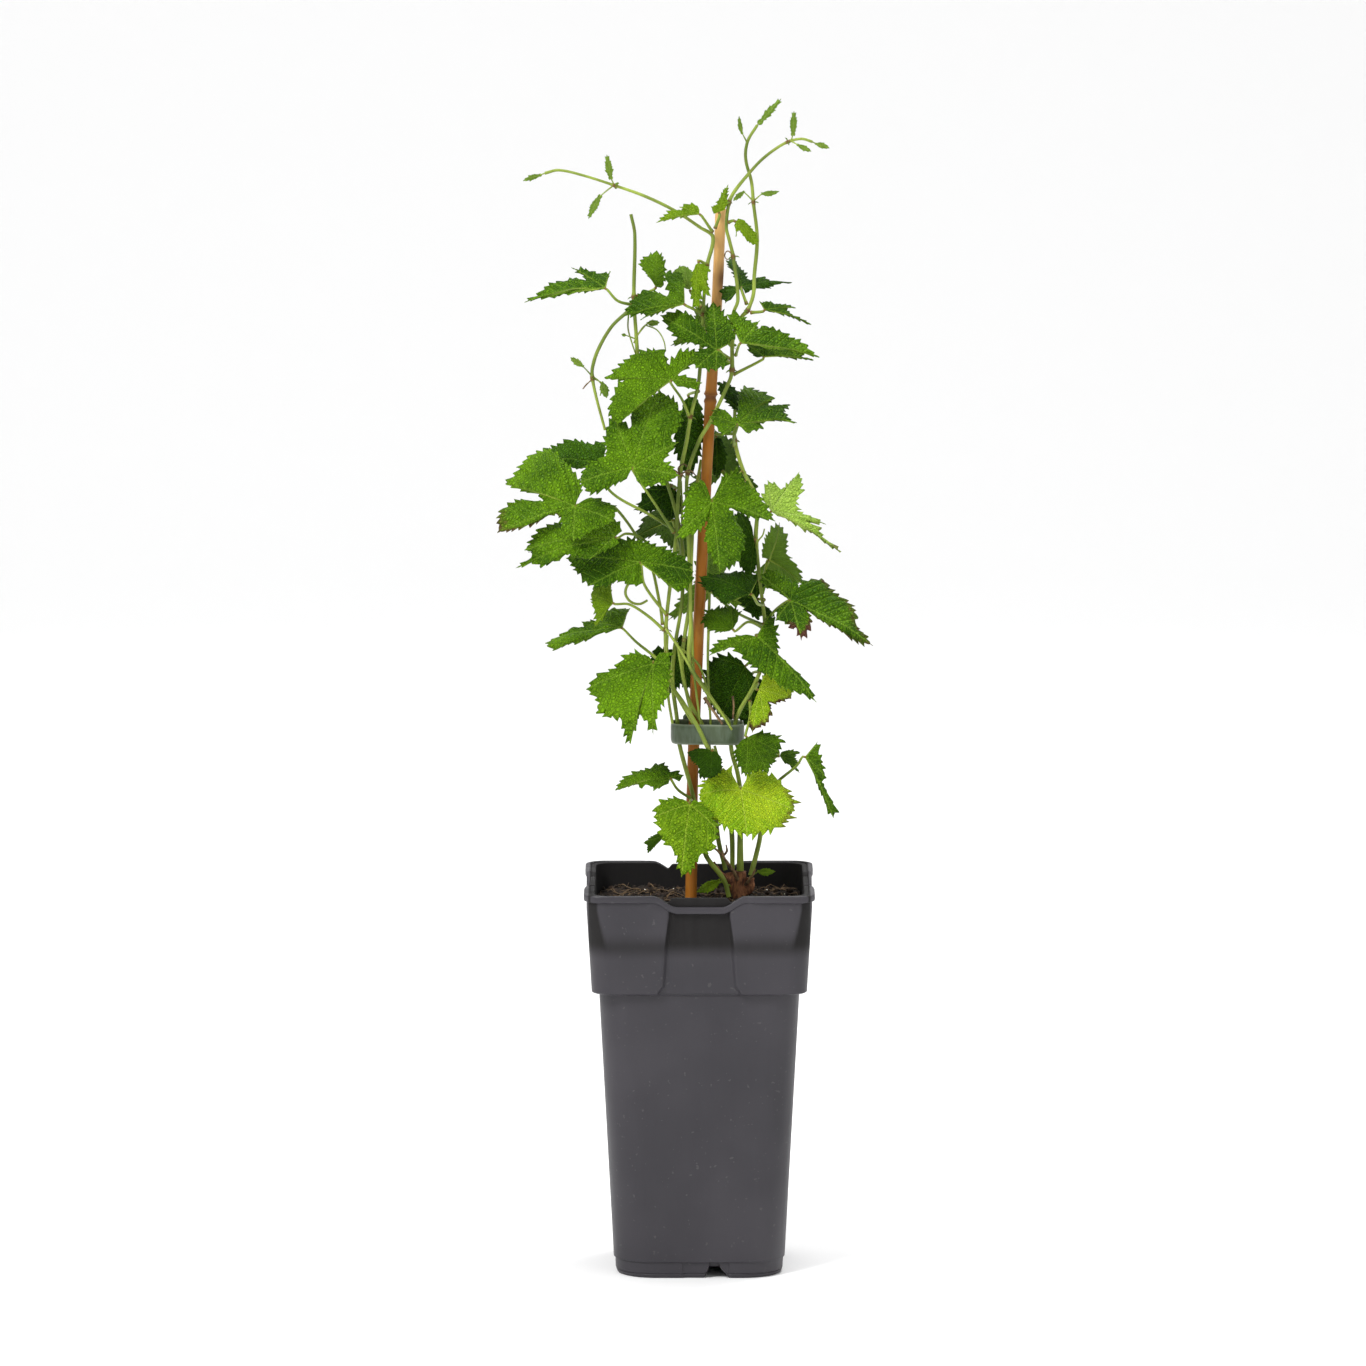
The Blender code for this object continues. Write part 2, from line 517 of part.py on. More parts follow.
# Leaves: colour, joint, way it faces, margin, stalk from the joint to the bine. A margin is drawn as
# seen from the viewpoint, to the right of the joint and above it, in stretches that each end at a
# lobe's tip or at the stalk
LEAVES = {
    "leaf_top_left": (LIME, (0, -13, 555), (-0.15, -0.75, 0.65),
        [[(0, 2), (-1, 4), (-4.5, 5), (-10.5, 3.5)], [(-8, 1.5), (-13, 1.5), (-18, -1), (-22.5, -4.5)],
         [(-16, -2.5), (-10, -0.5), (-3.5, -0.5)]],
        [(6.0, -4.8, 546)]),
    "leaf_top_right": (LIME, (19, -7, 550.5), (0.2, -0.8, 0.55),
        [[(-1, -2), (0, -5), (-0.5, -8.5)], [(1.5, -4.5), (4, -8), (7.5, -11), (11.5, -12.5)],
         [(10.5, -7), (7.5, -3), (4, 0.5), (1, 1.5)]],
        [(16.4, -4.4, 550)]),
    "leaf_top_cane": (LIME, (10, -3, 555), (-0.3, -0.9, 0.3),
        [[(-2.5, -1), (-4, 3)], [(-1.5, 3.5), (0.5, 7.5), (2.5, 10.5), (5, 14.5)], [(4.5, 9.5),
         (4.5, 4.5), (3, 1)]],
        [(8.4, -4.2, 548)]),
    "leaf_upper_fold": (DEEP, (22, 8, 515), (0.1, -0.42, 0.9),
        [[(-4.5, -6), (-8.5, -8.5)], [(-10.5, -5), (-10.5, -2), (-5.5, -0.5), (-2, 1), (-4.5, 7.5),
         (-7.5, 13), (-5, 15)], [(-2, 11.5), (1, 7.5), (3.5, 3.5), (11, 4.5), (15.5, 2.5), (26.5, 2.5)],
         [(18.5, 1), (12, -0.5), (6, -2), (1.5, -3.5)]],
        [(24.2, 1, 508)]),
    "leaf_upper_right": (MID, (34, -6, 504.5), (0.2, -0.6, 0.77),
        [[(-1, 1.5), (-3, 4.5)], [(0, 3.5), (1, 4.5), (6.5, 3), (12, 2), (17, 0.5)], [(11.5, 0.5),
         (15, -3.5), (18.5, -6), (22.5, -12.5)], [(17, -8), (11.5, -4), (6, -1.5), (2, -1)]],
        [(28.2, -3, 503)]),
    "leaf_upper_wide": (MID, (21.5, -17, 488.5), (0.15, -0.75, 0.6),
        [[(-2, 3.5), (-5, 8.5), (-7.5, 14.5)], [(-4, 15), (1, 12.5), (5.5, 11), (10, 11.5)], [(8, 6),
         (13.5, 9), (20, 5.5), (26.5, 2), (32.5, 0), (37, -5), (41.5, -13)], [(35, -8), (29, -5),
         (21.5, -3.5), (14, -2.5), (9, -1.5)], [(4, -1)]],
        [(19.2, -1.6, 481)]),
    "leaf_upper_low": (MID, (33.5, 4, 479), (0.2, -0.6, 0.77),
        [[(-2, 1), (-3.5, -0.5), (-7, 2), (-9, 6)], [(-5, 8), (-0.5, 7.5), (6, 5.5), (14, 4), (19, 2),
         (22, -2.5), (23.5, -7.5), (24.5, -15)], [(20.5, -10), (15, -5), (8.5, -1), (3.5, 0)]],
        [(19.0, 2.2, 470.5)]),
    "leaf_upper_front": (MID, (9, -20, 485), (-0.05, -0.88, 0.47),
        [[(3, 1.5), (7, 3.5)], [(9.5, 8.5), (6.5, 14.5), (2.5, 20.5), (-2, 26)], [(-5, 20.5),
         (-5.5, 14.5), (-5.5, 8.5), (-9.5, 15), (-16, 19), (-23.5, 20), (-29.5, 18)], [(-26, 12),
         (-19.5, 5.5), (-12, 3.5), (-5.5, 1.5), (-10, -0.5), (-13, -5), (-11, -9.5)], [(-4.5, -10),
         (-0.5, -11)], [(4.5, -8), (6, -4.5)], [(2.5, -2)]],
        [(14.8, -3, 477)]),
    "leaf_upper_left": (MID, (-49, -8, 516), (-0.1, -0.6, 0.8),
        [[(1, 3.5), (2.5, 6.5), (4.5, 9.5)], [(0, 8), (-5.5, 8), (-11.5, 9.5), (-17.5, 10.5)], [(-13, 8),
         (-10, 3.5), (-15.5, 5), (-22.5, 3), (-30, 0.5), (-35.5, -3.5), (-42, -7.5)], [(-33.5, -3.5),
         (-26, -2), (-19.5, -4)], [(-15.5, -1), (-8, -1), (-2.5, -1)]],
        [(-42.5, -9, 509.5), (-36.4, -5.6, 507.4)]),
    "leaf_upper_back": (MID, (-22.5, 8, 515), (-0.2, -0.85, 0.45),
        [[(-1, 3), (-3, 7), (-8, 11.5), (-8.5, 14)], [(-4.5, 16), (0.5, 19)], [(3, 16), (4.5, 11.5),
         (4.5, 6), (4, 1)], [(2.5, -0.5)]],
        [(-31.8, -2.4, 511.5)]),
    "leaf_upper_mid": (MID, (-8, -10, 508), (0.1, -0.75, 0.65),
        [[(0, 3.5), (0.5, 9.5), (0, 14)], [(-4.5, 16.5), (-10, 15.5), (-9, 10), (-8.5, 4), (-13, 5),
         (-17, 7.5), (-20.5, 9.5)], [(-24, 4), (-27.5, 0), (-31, -6.5)], [(-25, -5.5), (-18.5, -4),
         (-23, -8.5)], [(-16.5, -5.5), (-10.5, -3), (-4.5, -1.5), (-1.5, -0.5)]],
        [(-3, -8, 505), (0.2, -5.2, 502.6)]),
    "leaf_upper_pale": (PALE, (-5, 8, 513.5), (-0.3, -0.9, 0.2),
        [[(-2, 0.5), (-5, 3), (-9, 9)], [(-5.5, 12), (-3, 12.5)], [(0, 11), (2, 8.5)], [(2, 3)]],
        [(0.6, -0.4, 506)]),
    "leaf_upper_hang": (LIME, (-0.5, -8, 529), (-0.5, -0.8, 0.2),
        [[(-1.5, -1), (-2.5, -5), (-3.5, -11.5), (-3, -19), (-1, -25)], [(1, -19), (1.5, -14), (4, -16.5),
         (6.5, -17.5)], [(4.5, -11.5), (4.5, -7.5), (5.5, -3.5), (3, -0.5)]],
        [(2.8, -4.4, 528)]),
    "leaf_mid_pale": (MID, (-14.5, -20, 469.5), (-0.1, -0.88, 0.45),
        [[(3, -3.5), (8.5, -4), (12.5, -5.5), (16, -1.5)], [(10, 1.5), (3, 2.5), (10, 5), (14, 10),
         (17, 14.5)], [(11, 15.5), (4.5, 14), (0.5, 10.5), (-2, 8), (-3.5, 13.5), (-10.5, 15.5),
         (-18, 13.5), (-25.5, 8.5), (-30, 4.5), (-34, 0)], [(-20, 2), (-27.5, -3), (-31, -10.5),
         (-32.5, -17.5), (-28, -23.5)], [(-22.5, -17.5), (-16, -9.5), (-8.5, -2.5), (-3.5, -1)]],
        [(-9, -10, 458), (-5.8, -5.6, 450)]),
    "leaf_mid_big": (MID, (-34.5, -29, 425), (-0.1, -0.9, 0.43),
        [[(2, -7), (6, -11)], [(11.5, -9.5), (17.5, -8), (24.5, -4.5)], [(19.5, 1), (16.5, 3), (21, 9.5),
         (24, 13)], [(20, 14.5), (23.5, 20), (25, 26.5), (23.5, 32.5), (18, 37.5), (14, 40)], [(8, 36),
         (1.5, 32.5), (-0.5, 27.5), (1, 15.5), (-2, 21), (-6, 25.5), (-10.5, 28)], [(-13, 21.5),
         (-15, 13.5), (-13, 8), (-17, 4), (-22.5, 2.5), (-26.5, -2.5), (-27.5, -8)], [(-22.5, -13.5),
         (-15, -12), (-8, -9), (-3, -6)]],
        [(-24.5, -21, 407), (-14.0, -6, 389)]),
    "leaf_left_big": (MID, (-64.5, -20, 403.5), (-0.15, -0.8, 0.6),
        [[(2.5, 4.5), (3.5, 10.5), (0, 17), (-6.5, 24.5), (-13.5, 29), (-23, 26.5), (-30, 18.5),
         (-37, 11.5)], [(-29, 11.5), (-17, 3), (-31, 2), (-38, -2), (-40.5, -14)], [(-28.5, -11.5),
         (-13.5, -5), (-8.5, -5), (-6.5, -12.5), (-1, -18)], [(6.5, -14.5), (20, -8)], [(21.5, -2),
         (14.5, 3), (6.5, 4.5)]],
        [(-58, -15, 403.5), (-50.5, -11, 402), (-43, -8, 400.5), (-26.5, -4, 374), (-20.5, -5.4, 350),
         (-19.3, -5.6, 341)]),
    "leaf_left_back": (DEEP, (-53, 6, 423.5), (-0.2, -0.75, 0.6),
        [[(3.5, 3), (4, 9), (-5, 10), (-13.5, 11), (-22.5, 8.5), (-29.5, 5), (-35, 0.5)], [(-26, 0),
         (-18, -1), (-11, -4)], [(-5, -3), (-2, -2.5)]],
        [(-46.5, 4, 408.5), (-25.5, 3, 396), (-12.6, 2.4, 388)]),
    "leaf_left_low": (MID, (-44, -22, 387.5), (-0.1, -0.75, 0.65),
        [[(4, 3), (1, 8.5), (-5.5, 10.5)], [(-12, 7.5), (-21, 7.5), (-29.5, 7.5), (-36, 5), (-41.5, 1),
         (-47, -6.5)], [(-42.5, -9), (-46, -12), (-51.5, -16)], [(-44, -14), (-37.5, -14.5), (-34.5, -10),
         (-27.5, -9.5), (-21, -10), (-13, -11.5)], [(-6.5, -8), (2.5, -3)]],
        [(-38, -15, 388.5), (-31, -9.5, 386), (-21, -1, 376), (-10.8, 2, 364)]),
    "leaf_left_hang": (MID, (-31, -18, 374), (-0.1, -0.85, 0.5),
        [[(2, -11), (-4, -12.5), (-11.5, -10), (-18.5, -12.5), (-27, -12.5)], [(-32, -5.5), (-38.5, 2)],
         [(-31, 7.5), (-18, 11), (-5, 11.5), (8, 9), (16.5, 5.5), (24, 2), (28, -5)], [(26, -12.5),
         (21, -15.5), (15, -21.5)], [(11.5, -15.5), (10.5, -8.5), (7.5, -6)]],
        [(-28.5, -14, 361.5), (-17.8, -8.2, 346)]),
    "leaf_left_fan": (LIME, (-45, -14, 352), (-0.3, -0.75, 0.6),
        [[(-0.5, 3.5), (0.5, 9), (1.5, 13.5), (-1, 15.5)], [(-5, 14.5), (-8.5, 10.5), (-11.5, 4.5)],
         [(-10.5, -1.5), (-9, -7), (-10, -13)], [(-6, -8.5), (-4.5, -4), (-2, -1.5)]],
        [(-36.5, -12, 351), (-26.5, -10, 344.5), (-19.6, -8, 338)]),
    "leaf_left_dark": (MID, (-40.5, -2, 337.5), (-0.1, -0.45, 0.9),
        [[(1.5, 3.5), (4.5, 7.5), (7, 10.5)], [(-1, 9.5), (-8.5, 7.5), (-13.5, 3.5), (-21, 3)],
         [(-20.5, -0.5), (-26.5, -1.5), (-32.5, -4.5), (-40, -8)], [(-36, -11), (-29.5, -10.5),
         (-19.5, -6.5), (-9, -2.5), (-2.5, -0.5)]],
        [(-33, -2, 330), (-24.5, -1, 323), (-19.0, -4, 318.5)]),
    "leaf_left_mid": (DEEP, (-13, 4.5, 409), (-0.1, -0.99, -0.05),
        [[(-3, 2.5), (-7.5, 2), (-11.5, 2.5), (-15, 0.5)], [(-17, -2.5), (-18.5, -7), (-21.5, -10.5)],
         [(-15, -11.5), (-9, -10), (-6, -13.5), (-2, -16)], [(1.5, -13.5), (3.5, -8.5), (4.5, -3.5)]],
        [(-14.6, 2.2, 411)]),
    "leaf_left_front": (MID, (-24, -20, 321), (-0.15, -0.8, 0.6),
        [[(-2, 3.5), (-8.5, 5.5), (-13.5, 4), (-19, -1), (-24.5, -5), (-29.5, -7), (-35, -13.5)],
         [(-28, -21), (-29, -24.5), (-21, -28.5), (-17, -30), (-15, -36), (-12, -42)], [(-13, -33.5),
         (-9, -26.5), (-4, -30), (0, -37)], [(2, -27.5), (4.5, -22), (7.5, -17), (8, -10.5), (9.5, 0)],
         [(8.5, 5), (3.5, 5.5)]],
        [(-20.5, -13, 315.5), (-17.0, -9.8, 309.5)]),
    "leaf_centre_high": (MID, (19.5, -16, 446), (0.15, -0.5, 0.85),
        [[(-2, -3.5), (-4.5, -5.5), (-8, -6.5)], [(-10.5, -2), (-14.5, 3.5)], [(-9, 7.5), (-4.5, 4.5),
         (-1.5, 2), (1.5, 6.5), (1, 14), (5, 19), (12, 16.5), (19, 13), (22, 10), (32.5, 3)], [(18.5, 9),
         (15, 11), (17.5, 8.5), (27, 10.5), (24.5, 5.5), (29.5, 0.5), (35, -6)], [(29, -1.5), (23, -3.5),
         (18, -0.5), (13, 1), (12.5, -2), (7, -4.5)], [(2.5, -7.5), (3.5, -3)]],
        [(18, -8, 438), (18.2, 3.2, 433)]),
    "leaf_centre_dark": (DEEP, (22.5, 17, 448.5), (0.1, -0.8, 0.5),
        [[(-2.5, -0.5), (-7.5, 4.5), (-12, 9.5)], [(-12, 15), (-8, 14.5), (-2, 10.5)], [(1.5, 5),
         (2.5, 0.5)]],
        [(18.5, 8.2, 443)]),
    "leaf_centre_drop": (DEEP, (9, 14, 435.5), (0.2, -0.9, 0.2),
        [[(2.5, -0.5), (4, -5), (5, -11.5), (4, -16), (0, -21.5)], [(-2.5, -16), (-3, -8), (-2, -2.5)]],
        [(17.4, 7.4, 438)]),
    "leaf_centre_shade": (DEEP, (-5.5, 15, 456.5), (-0.2, -0.9, 0.3),
        [[(2.5, 0), (5.5, -2.5), (8, -12), (7, -25), (4, -35.5), (-1.5, -41.5)], [(-5.5, -33),
         (-7.5, -22.5), (-5, -11), (-2.5, -2)]],
        [(-1.0, 0.0, 461)]),
    "leaf_centre_front": (MID, (6.5, -26, 406.5), (0.05, -0.8, 0.6),
        [[(-1, 6), (-3, 10.5), (-8.5, 10), (-13, 4.5), (-14.5, -3), (-15.5, -11.5), (-19, -19.5)],
         [(-11.5, -17.5), (-5, -13.5), (-1, -5.5), (-3, -14), (-3.5, -20), (-1, -26.5), (4, -36.5)],
         [(12.5, -31.5), (16.5, -24), (16, -16), (12.5, -9), (9.5, -4), (17, -6.5), (24, -8.5),
         (33, -10)], [(29, -3), (23.5, 4.5), (16, 12.5), (13.5, 19)], [(11, 14.5), (4, 14), (1.5, 7.5)]],
        [(12.5, -14, 411), (21.4, 1.6, 418)]),
    "leaf_right_pale": (PALE, (37.5, -8, 399.5), (0.1, -0.75, 0.65),
        [[(-2.5, 2.5), (-4.5, 7.5), (-2, 16)], [(2, 14), (8, 10.5), (10, 5.5), (8.5, 9.5), (11.5, 17),
         (14.5, 20.5)], [(16, 13), (13.5, 5), (13, 2.5), (14, 0), (21.5, -3.5), (28.5, -7)], [(18, -6.5),
         (24, -9.5), (28.5, -16), (30, -22.5)], [(25, -23.5), (21.5, -33), (14.5, -36.5)], [(16.5, -27.5),
         (14, -18.5), (9.5, -10), (7.5, -4), (3, -2.5)]],
        [(30.2, 2.0, 398)]),
    "leaf_right_big": (MID, (47.5, -12, 353), (0.2, -0.72, 0.65),
        [[(-2.5, 2), (-8, 5.5), (-15, 10), (-16, 14)], [(-10.5, 15.5), (-5, 14), (-0.5, 11), (5, 5.5),
         (6, 2.5), (6.5, 9.5), (11, 10.5), (17, 9.5), (21, 5), (28.5, 0.5), (34, -8), (34.5, -14),
         (43, -23.5)], [(32.5, -20), (22.5, -14), (14.5, -9), (9, -5.5), (11, -11), (8.5, -17),
         (5.5, -21)], [(2.5, -14), (-3, -11.5), (-8, -10.5)], [(-7.5, -5.5), (-4, -2.5)]],
        [(40, -6, 347.5), (34.6, 1.0, 340)]),
    "leaf_centre_low": (DEEP, (26.5, -22, 358), (0, -0.6, 0.8),
        [[(1.5, 3), (4, 7.5)], [(-2.5, 10), (-10.5, 11), (-18.5, 9.5), (-27, 9)], [(-24, 3), (-19, -1),
         (-13.5, -6)], [(-9.5, -3), (-5, -2), (-2, -1.5)]],
        [(30.5, -10, 351), (33.0, 1.0, 349)]),
    "leaf_centre_small": (MID, (17.5, -12, 338), (-0.1, -0.8, 0.5),
        [[(-2, -1), (-7.5, -1.5), (-13.5, 0)], [(-16, 4.5), (-13.5, 9), (-7.5, 11), (-1, 12.5)],
         [(3, 9.5), (2.5, 4)]],
        [(25.5, -6, 341), (32.6, 1.4, 337)]),
    "leaf_right_under": (MID, (30, -16, 334.5), (0.1, -0.8, 0.6),
        [[(4, 4), (7.5, 13)], [(10, 4.5), (10.5, 0), (11.5, -10)], [(5, -6), (11, -11.5), (17, -17.5),
         (24, -23), (28, -27), (31, -34)], [(25, -31), (18.5, -28.5), (11, -24), (2.5, -18.5),
         (-3.5, -14), (-11, -7.5), (-17, -4.5), (-25, -9.5)], [(-21.5, -4), (-14, -0.5), (-6, 1)]],
        [(33.4, 1.0, 333)]),
    "leaf_right_dark": (DEEP, (24, 10, 315.5), (-0.1, -0.99, 0.1),
        [[(-2, 3), (-9, 6), (-17, 5)], [(-20.5, -1), (-21, -11.5), (-18, -21), (-13, -27)], [(-6, -28.5),
         (-0.5, -25), (4, -19.5)], [(5.5, -12.5), (4, -4)]],
        [(27.5, 8, 319), (31.6, 4.6, 321)]),
    "leaf_right_yellow": (YELLOW, (31, -8, 305.5), (0.1, -0.8, 0.5),
        [[(1.5, 3.5), (3.5, 9), (9, 7.5), (14, 3.5)], [(17.5, -1), (17, -4.5)], [(13, -5.5), (9, -7),
         (5, -7.5), (6.5, -12), (3.5, -19)], [(0.5, -19), (-3.5, -22.5)], [(-5, -16.5), (-3.5, -9.5),
         (-1.5, -3.5)]],
        [(30.5, 1.2, 307)]),
    "leaf_tie_right": (MID, (25, -15, 281.5), (0.2, -0.75, 0.6),
        [[(2.5, 1), (8, 2.5), (14, 1), (17.5, -2), (17, -8)], [(13, -12.5), (11, -19)], [(5.5, -17),
         (-1, -20.5)], [(-5, -14.5), (-6.5, -8), (-3.5, -2)]],
        [(26.5, -7, 291), (26.5, 1.4, 297)]),
    "leaf_tie_left": (DEEP, (6.5, -18.5, 274.5), (-0.1, -0.8, 0.6),
        [[(-2.5, 1.5), (-8, 1.5), (-13, -0.5)], [(-10, -5.5), (-7, -7.5), (-6.5, -12.5), (-0.5, -14)],
         [(4, -11), (5.5, -4)], [(2.5, 0)]],
        [(10.5, -10, 265.5)]),
    "leaf_low_small": (MID, (42, -3, 270), (0.1, -0.7, 0.7),
        [[(1, 2), (5.5, 3), (11, 2)], [(8, -0.5), (9, -2.5), (11, -4)], [(9, -4.5), (10.5, -9)],
         [(7.5, -7), (5.5, -5), (2, -3.5), (1, -1.5)]],
        [(41.5, 0, 270.5), (31.2, 5.6, 260)]),
    "leaf_low_narrow": (MID, (55.5, -14, 271), (0.3, -0.9, 0.3),
        [[(2.5, 3), (6.5, 8.5)], [(7.5, 0), (11, -11)], [(8.5, -14), (11.5, -21), (16, -28.5),
         (14.5, -32)], [(8.5, -25.5), (5, -22), (4, -17), (5, -13.5), (3, -6.5)]],
        [(51, -10, 266), (42, -4, 257.5), (34.2, 6.0, 249)]),
    "leaf_low_left": (MID, (-15, -14, 260), (-0.1, -0.62, 0.78),
        [[(4.5, -2), (7, 1.5)], [(3, 3), (-0.5, 3.5), (-2, 6.5), (-7, 7), (-11, 4.5), (-18.5, 2.5),
         (-24.5, -0.5), (-29, -6.5)], [(-22.5, -2), (-16, -4.5), (-10.5, -4.5), (-9, -7)], [(-4.5, -4.5),
         (-1, -3)]],
        [(-11, -10, 253), (-4.8, -4.6, 248)]),
    "leaf_low_front": (LIME, (-5, -24, 247.5), (-0.05, -0.85, 0.5),
        [[(-2, 2), (-7, 3.5), (-13, 2), (-17, -0.5), (-19, -6.5)], [(-16, -12.5), (-13, -20), (-8, -25.5),
         (-6.5, -30), (-4.5, -38)], [(1.5, -34), (5.5, -27.5), (10.5, -24.5), (12.5, -19.5), (15.5, -14)],
         [(12.5, -7.5), (8, -1), (2.5, 2.5)]],
        [(-4, -12, 248), (-3.4, -5.0, 244)]),
    "leaf_low_yellow": (YELLOW, (21.5, -16, 254), (0.05, -0.8, 0.6),
        [[(-2, 3.5), (-3.5, 10), (-9, 11.5)], [(-15.5, 7.5), (-19.5, 4), (-22, -2.5)], [(-20, -9.5),
         (-13, -16.5), (-5, -21.5), (3.5, -24.5)], [(11, -23), (19.5, -20.5), (23.5, -17.5), (28.5, -11)],
         [(28.5, -7), (24.5, 0), (21, 5), (15.5, 7.5), (10, 11.5)], [(5, 8), (2, 3)]],
        [(21.4, -7, 254), (21.4, 1.2, 251)]),
    "leaf_base_left": (MID, (-18.5, -4, 227.5), (-0.3, -0.8, 0.5),
        [[(-2.5, 2), (-7, -0.5), (-11, -3.5)], [(-9, -4.5), (-8.5, -9)], [(-6, -6.5), (-2, -2.5)]],
        [(-12, -4, 228), (-4, -3.4, 226.5), (0.2, -1.3, 225.5)]),
    "leaf_back_high": (MID, (3, 34, 489.5), (-0.2, 0.8, 0.5),
        [[(3, -4), (9, -6), (16.5, -10)], [(13, -3), (10, 2), (5, 4), (4, 10), (-2.5, 16)],
         [(-5, 9), (-5, 3), (-10, 0), (-18, -8)], [(-11, -7), (-5, -6), (-2, -4)]],
        [(9, 14, 482), (16.0, 2.6, 478)]),
    "leaf_back_mid": (DEEP, (12, 40, 415.5), (0.2, 0.8, 0.5),
        [[(3, -5), (11, -11), (20, -17)], [(18, -9), (12, -1), (8, 4), (6, 13), (-4, 21.5)],
         [(-7, 12), (-7, 4), (-12, -2), (-18, -11)], [(-10, -9), (-4, -7), (-1, -4)]],
        [(18, 20, 411), (24.0, 6.0, 414)]),
    "leaf_back_low": (MID, (6.5, 38, 352), (-0.1, 0.8, 0.5),
        [[(4, -5), (12, -8), (22, -11)], [(18, -3), (12, 3), (8, 6), (5, 14), (-3.5, 22)],
         [(-8, 14), (-8, 5), (-15, -3), (-23, -16)], [(-14, -12), (-6, -9), (-1, -4)]],
        [(20, 22, 342), (33.4, 5.4, 338)]),
    "leaf_back_left": (DEEP, (-14.5, 30, 390), (-0.5, 0.7, 0.5),
        [[(5, 3), (6, 9), (3, 15), (-3.5, 21)], [(-7, 14), (-8, 6), (-14, 0), (-21, -10.5)],
         [(-13, -9), (-7, -8), (-3, -12), (3, -17), (9.5, -21)], [(9, -13), (6, -6), (4, -1)]],
        [(-12, 16, 382), (-9.6, 2.6, 372)]),
    "leaf_back_right": (MID, (37, 26, 369.5), (0.5, 0.7, 0.5),
        [[(-4, -3), (-8, -8), (-9, -14), (-10, -21.5)], [(-3, -16), (3, -10), (9, -11), (19, -13.5)],
         [(15, -5), (9, 2), (9, 9), (5, 19.5)], [(-1, 14), (-4, 7), (-4, 1)]],
        [(34, 14, 364), (31.6, 5.0, 362)]),
}

# Shaded leaves fused to the bine that carries them, each given as a leaf is
SHADED = {
    "bine_front": [
        (DEEP, (-18.5, 14, 323.5), (-0.05, -0.99, 0.05),
         [[(-3, 2.5), (-6.5, -2.5), (-7.5, -10.5), (-4.5, -19), (-1, -25)], [(4.5, -22.5), (9.5, -17),
          (11, -9.5), (8, -3)], [(4, 0.5)]],
         [(-17.2, -6, 325)])],
    "bine_right": [
        (DEEP, (28.5, 0, 383.5), (0.1, -0.97, 0.2),
         [[(-1, 6.5), (-3.5, 12), (-8.5, 15)], [(-11, 10.5), (-12, 2.5), (-10.5, -6.5), (-7.5, -13.5),
          (-2, -20)], [(1, -14.5), (1.5, -8.5)]],
         [(29.8, 3, 378)]),
        (DEEP, (30, 9, 351), (0.0, -1.0, 0.05),
         [[(2, -4), (9, -7), (8, -12)], [(4, -9), (0, -10.5), (-4.5, -7), (-9, -1.5), (-11.5, 2.5)],
          [(-15, 4), (-22, 4.5), (-27, 8)], [(-23.5, 11.5), (-14, 14), (-6.5, 14.5), (0, 13)], [(5.5, 9),
          (8, 6), (2.5, 4.5)]],
         [(33, 3, 351.5)]),
        (DEEP, (27.5, 18, 309.5), (0.1, -0.99, 0.05),
         [[(-4, 2), (-7.5, -2), (-10, -8.5), (-11.5, -15)], [(-8, -20.5), (-4.5, -25), (0, -29)],
          [(4, -25), (8, -20), (10, -12.5)], [(8.5, -6.5), (5, -2)]],
         [(31.2, 3, 313.5)])],
    "bine_inner": [
        (DEEP, (-7, 9, 329.5), (0.0, -1.0, 0.05),
         [[(-2.5, 3), (-4.5, 0), (-6, -8), (-4, -16.5), (0, -27)], [(4, -23), (7, -14.5), (7, -5),
          (3.5, 0)]],
         [(-8, -2, 331)])],
}

def add_bines():
    green = make_material("bine", STEM, 0.55)
    for name, path in BINES.items():
        bine = make_tube(name, path, 5, green)
        for i, row in enumerate(YOUNG.get(name, [])):
            add_small_leaf(bine, f"{name}_young_{i + 1}", row[0], row[1], row[2], row[3], row[4])
        for i, (colour, joint, facing, margin, stalk) in enumerate(SHADED.get(name, [])):
            blade = drawn_blade(joint, facing, margin)
            green_deep = make_material("deep_leaf", colour, 0.6)
            combine(bine, make_leaf(f"{name}_shaded_{i + 1}", joint, blade, stalk, green_deep), "UNION")


def add_leaves():
    names = {DEEP: "deep_leaf", MID: "mid_leaf", LIME: "lime_leaf", PALE: "pale_leaf",
             YELLOW: "yellow_leaf"}
    for name, (colour, joint, facing, margin, stalk) in LEAVES.items():
        blade = drawn_blade(joint, facing, margin)
        make_leaf(name, joint, blade, stalk, make_material(names[colour], colour, 0.6))


add_pot()
add_soil()
add_cane()
add_tie()
add_crown()
add_bines()
add_leaves()
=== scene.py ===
# The looks of a young hop plant in a tall square pot, built over its solids.
# Lengths in the dictionaries are millimetres, with +Z up and the front of the pot facing -Y.
import itertools
import math

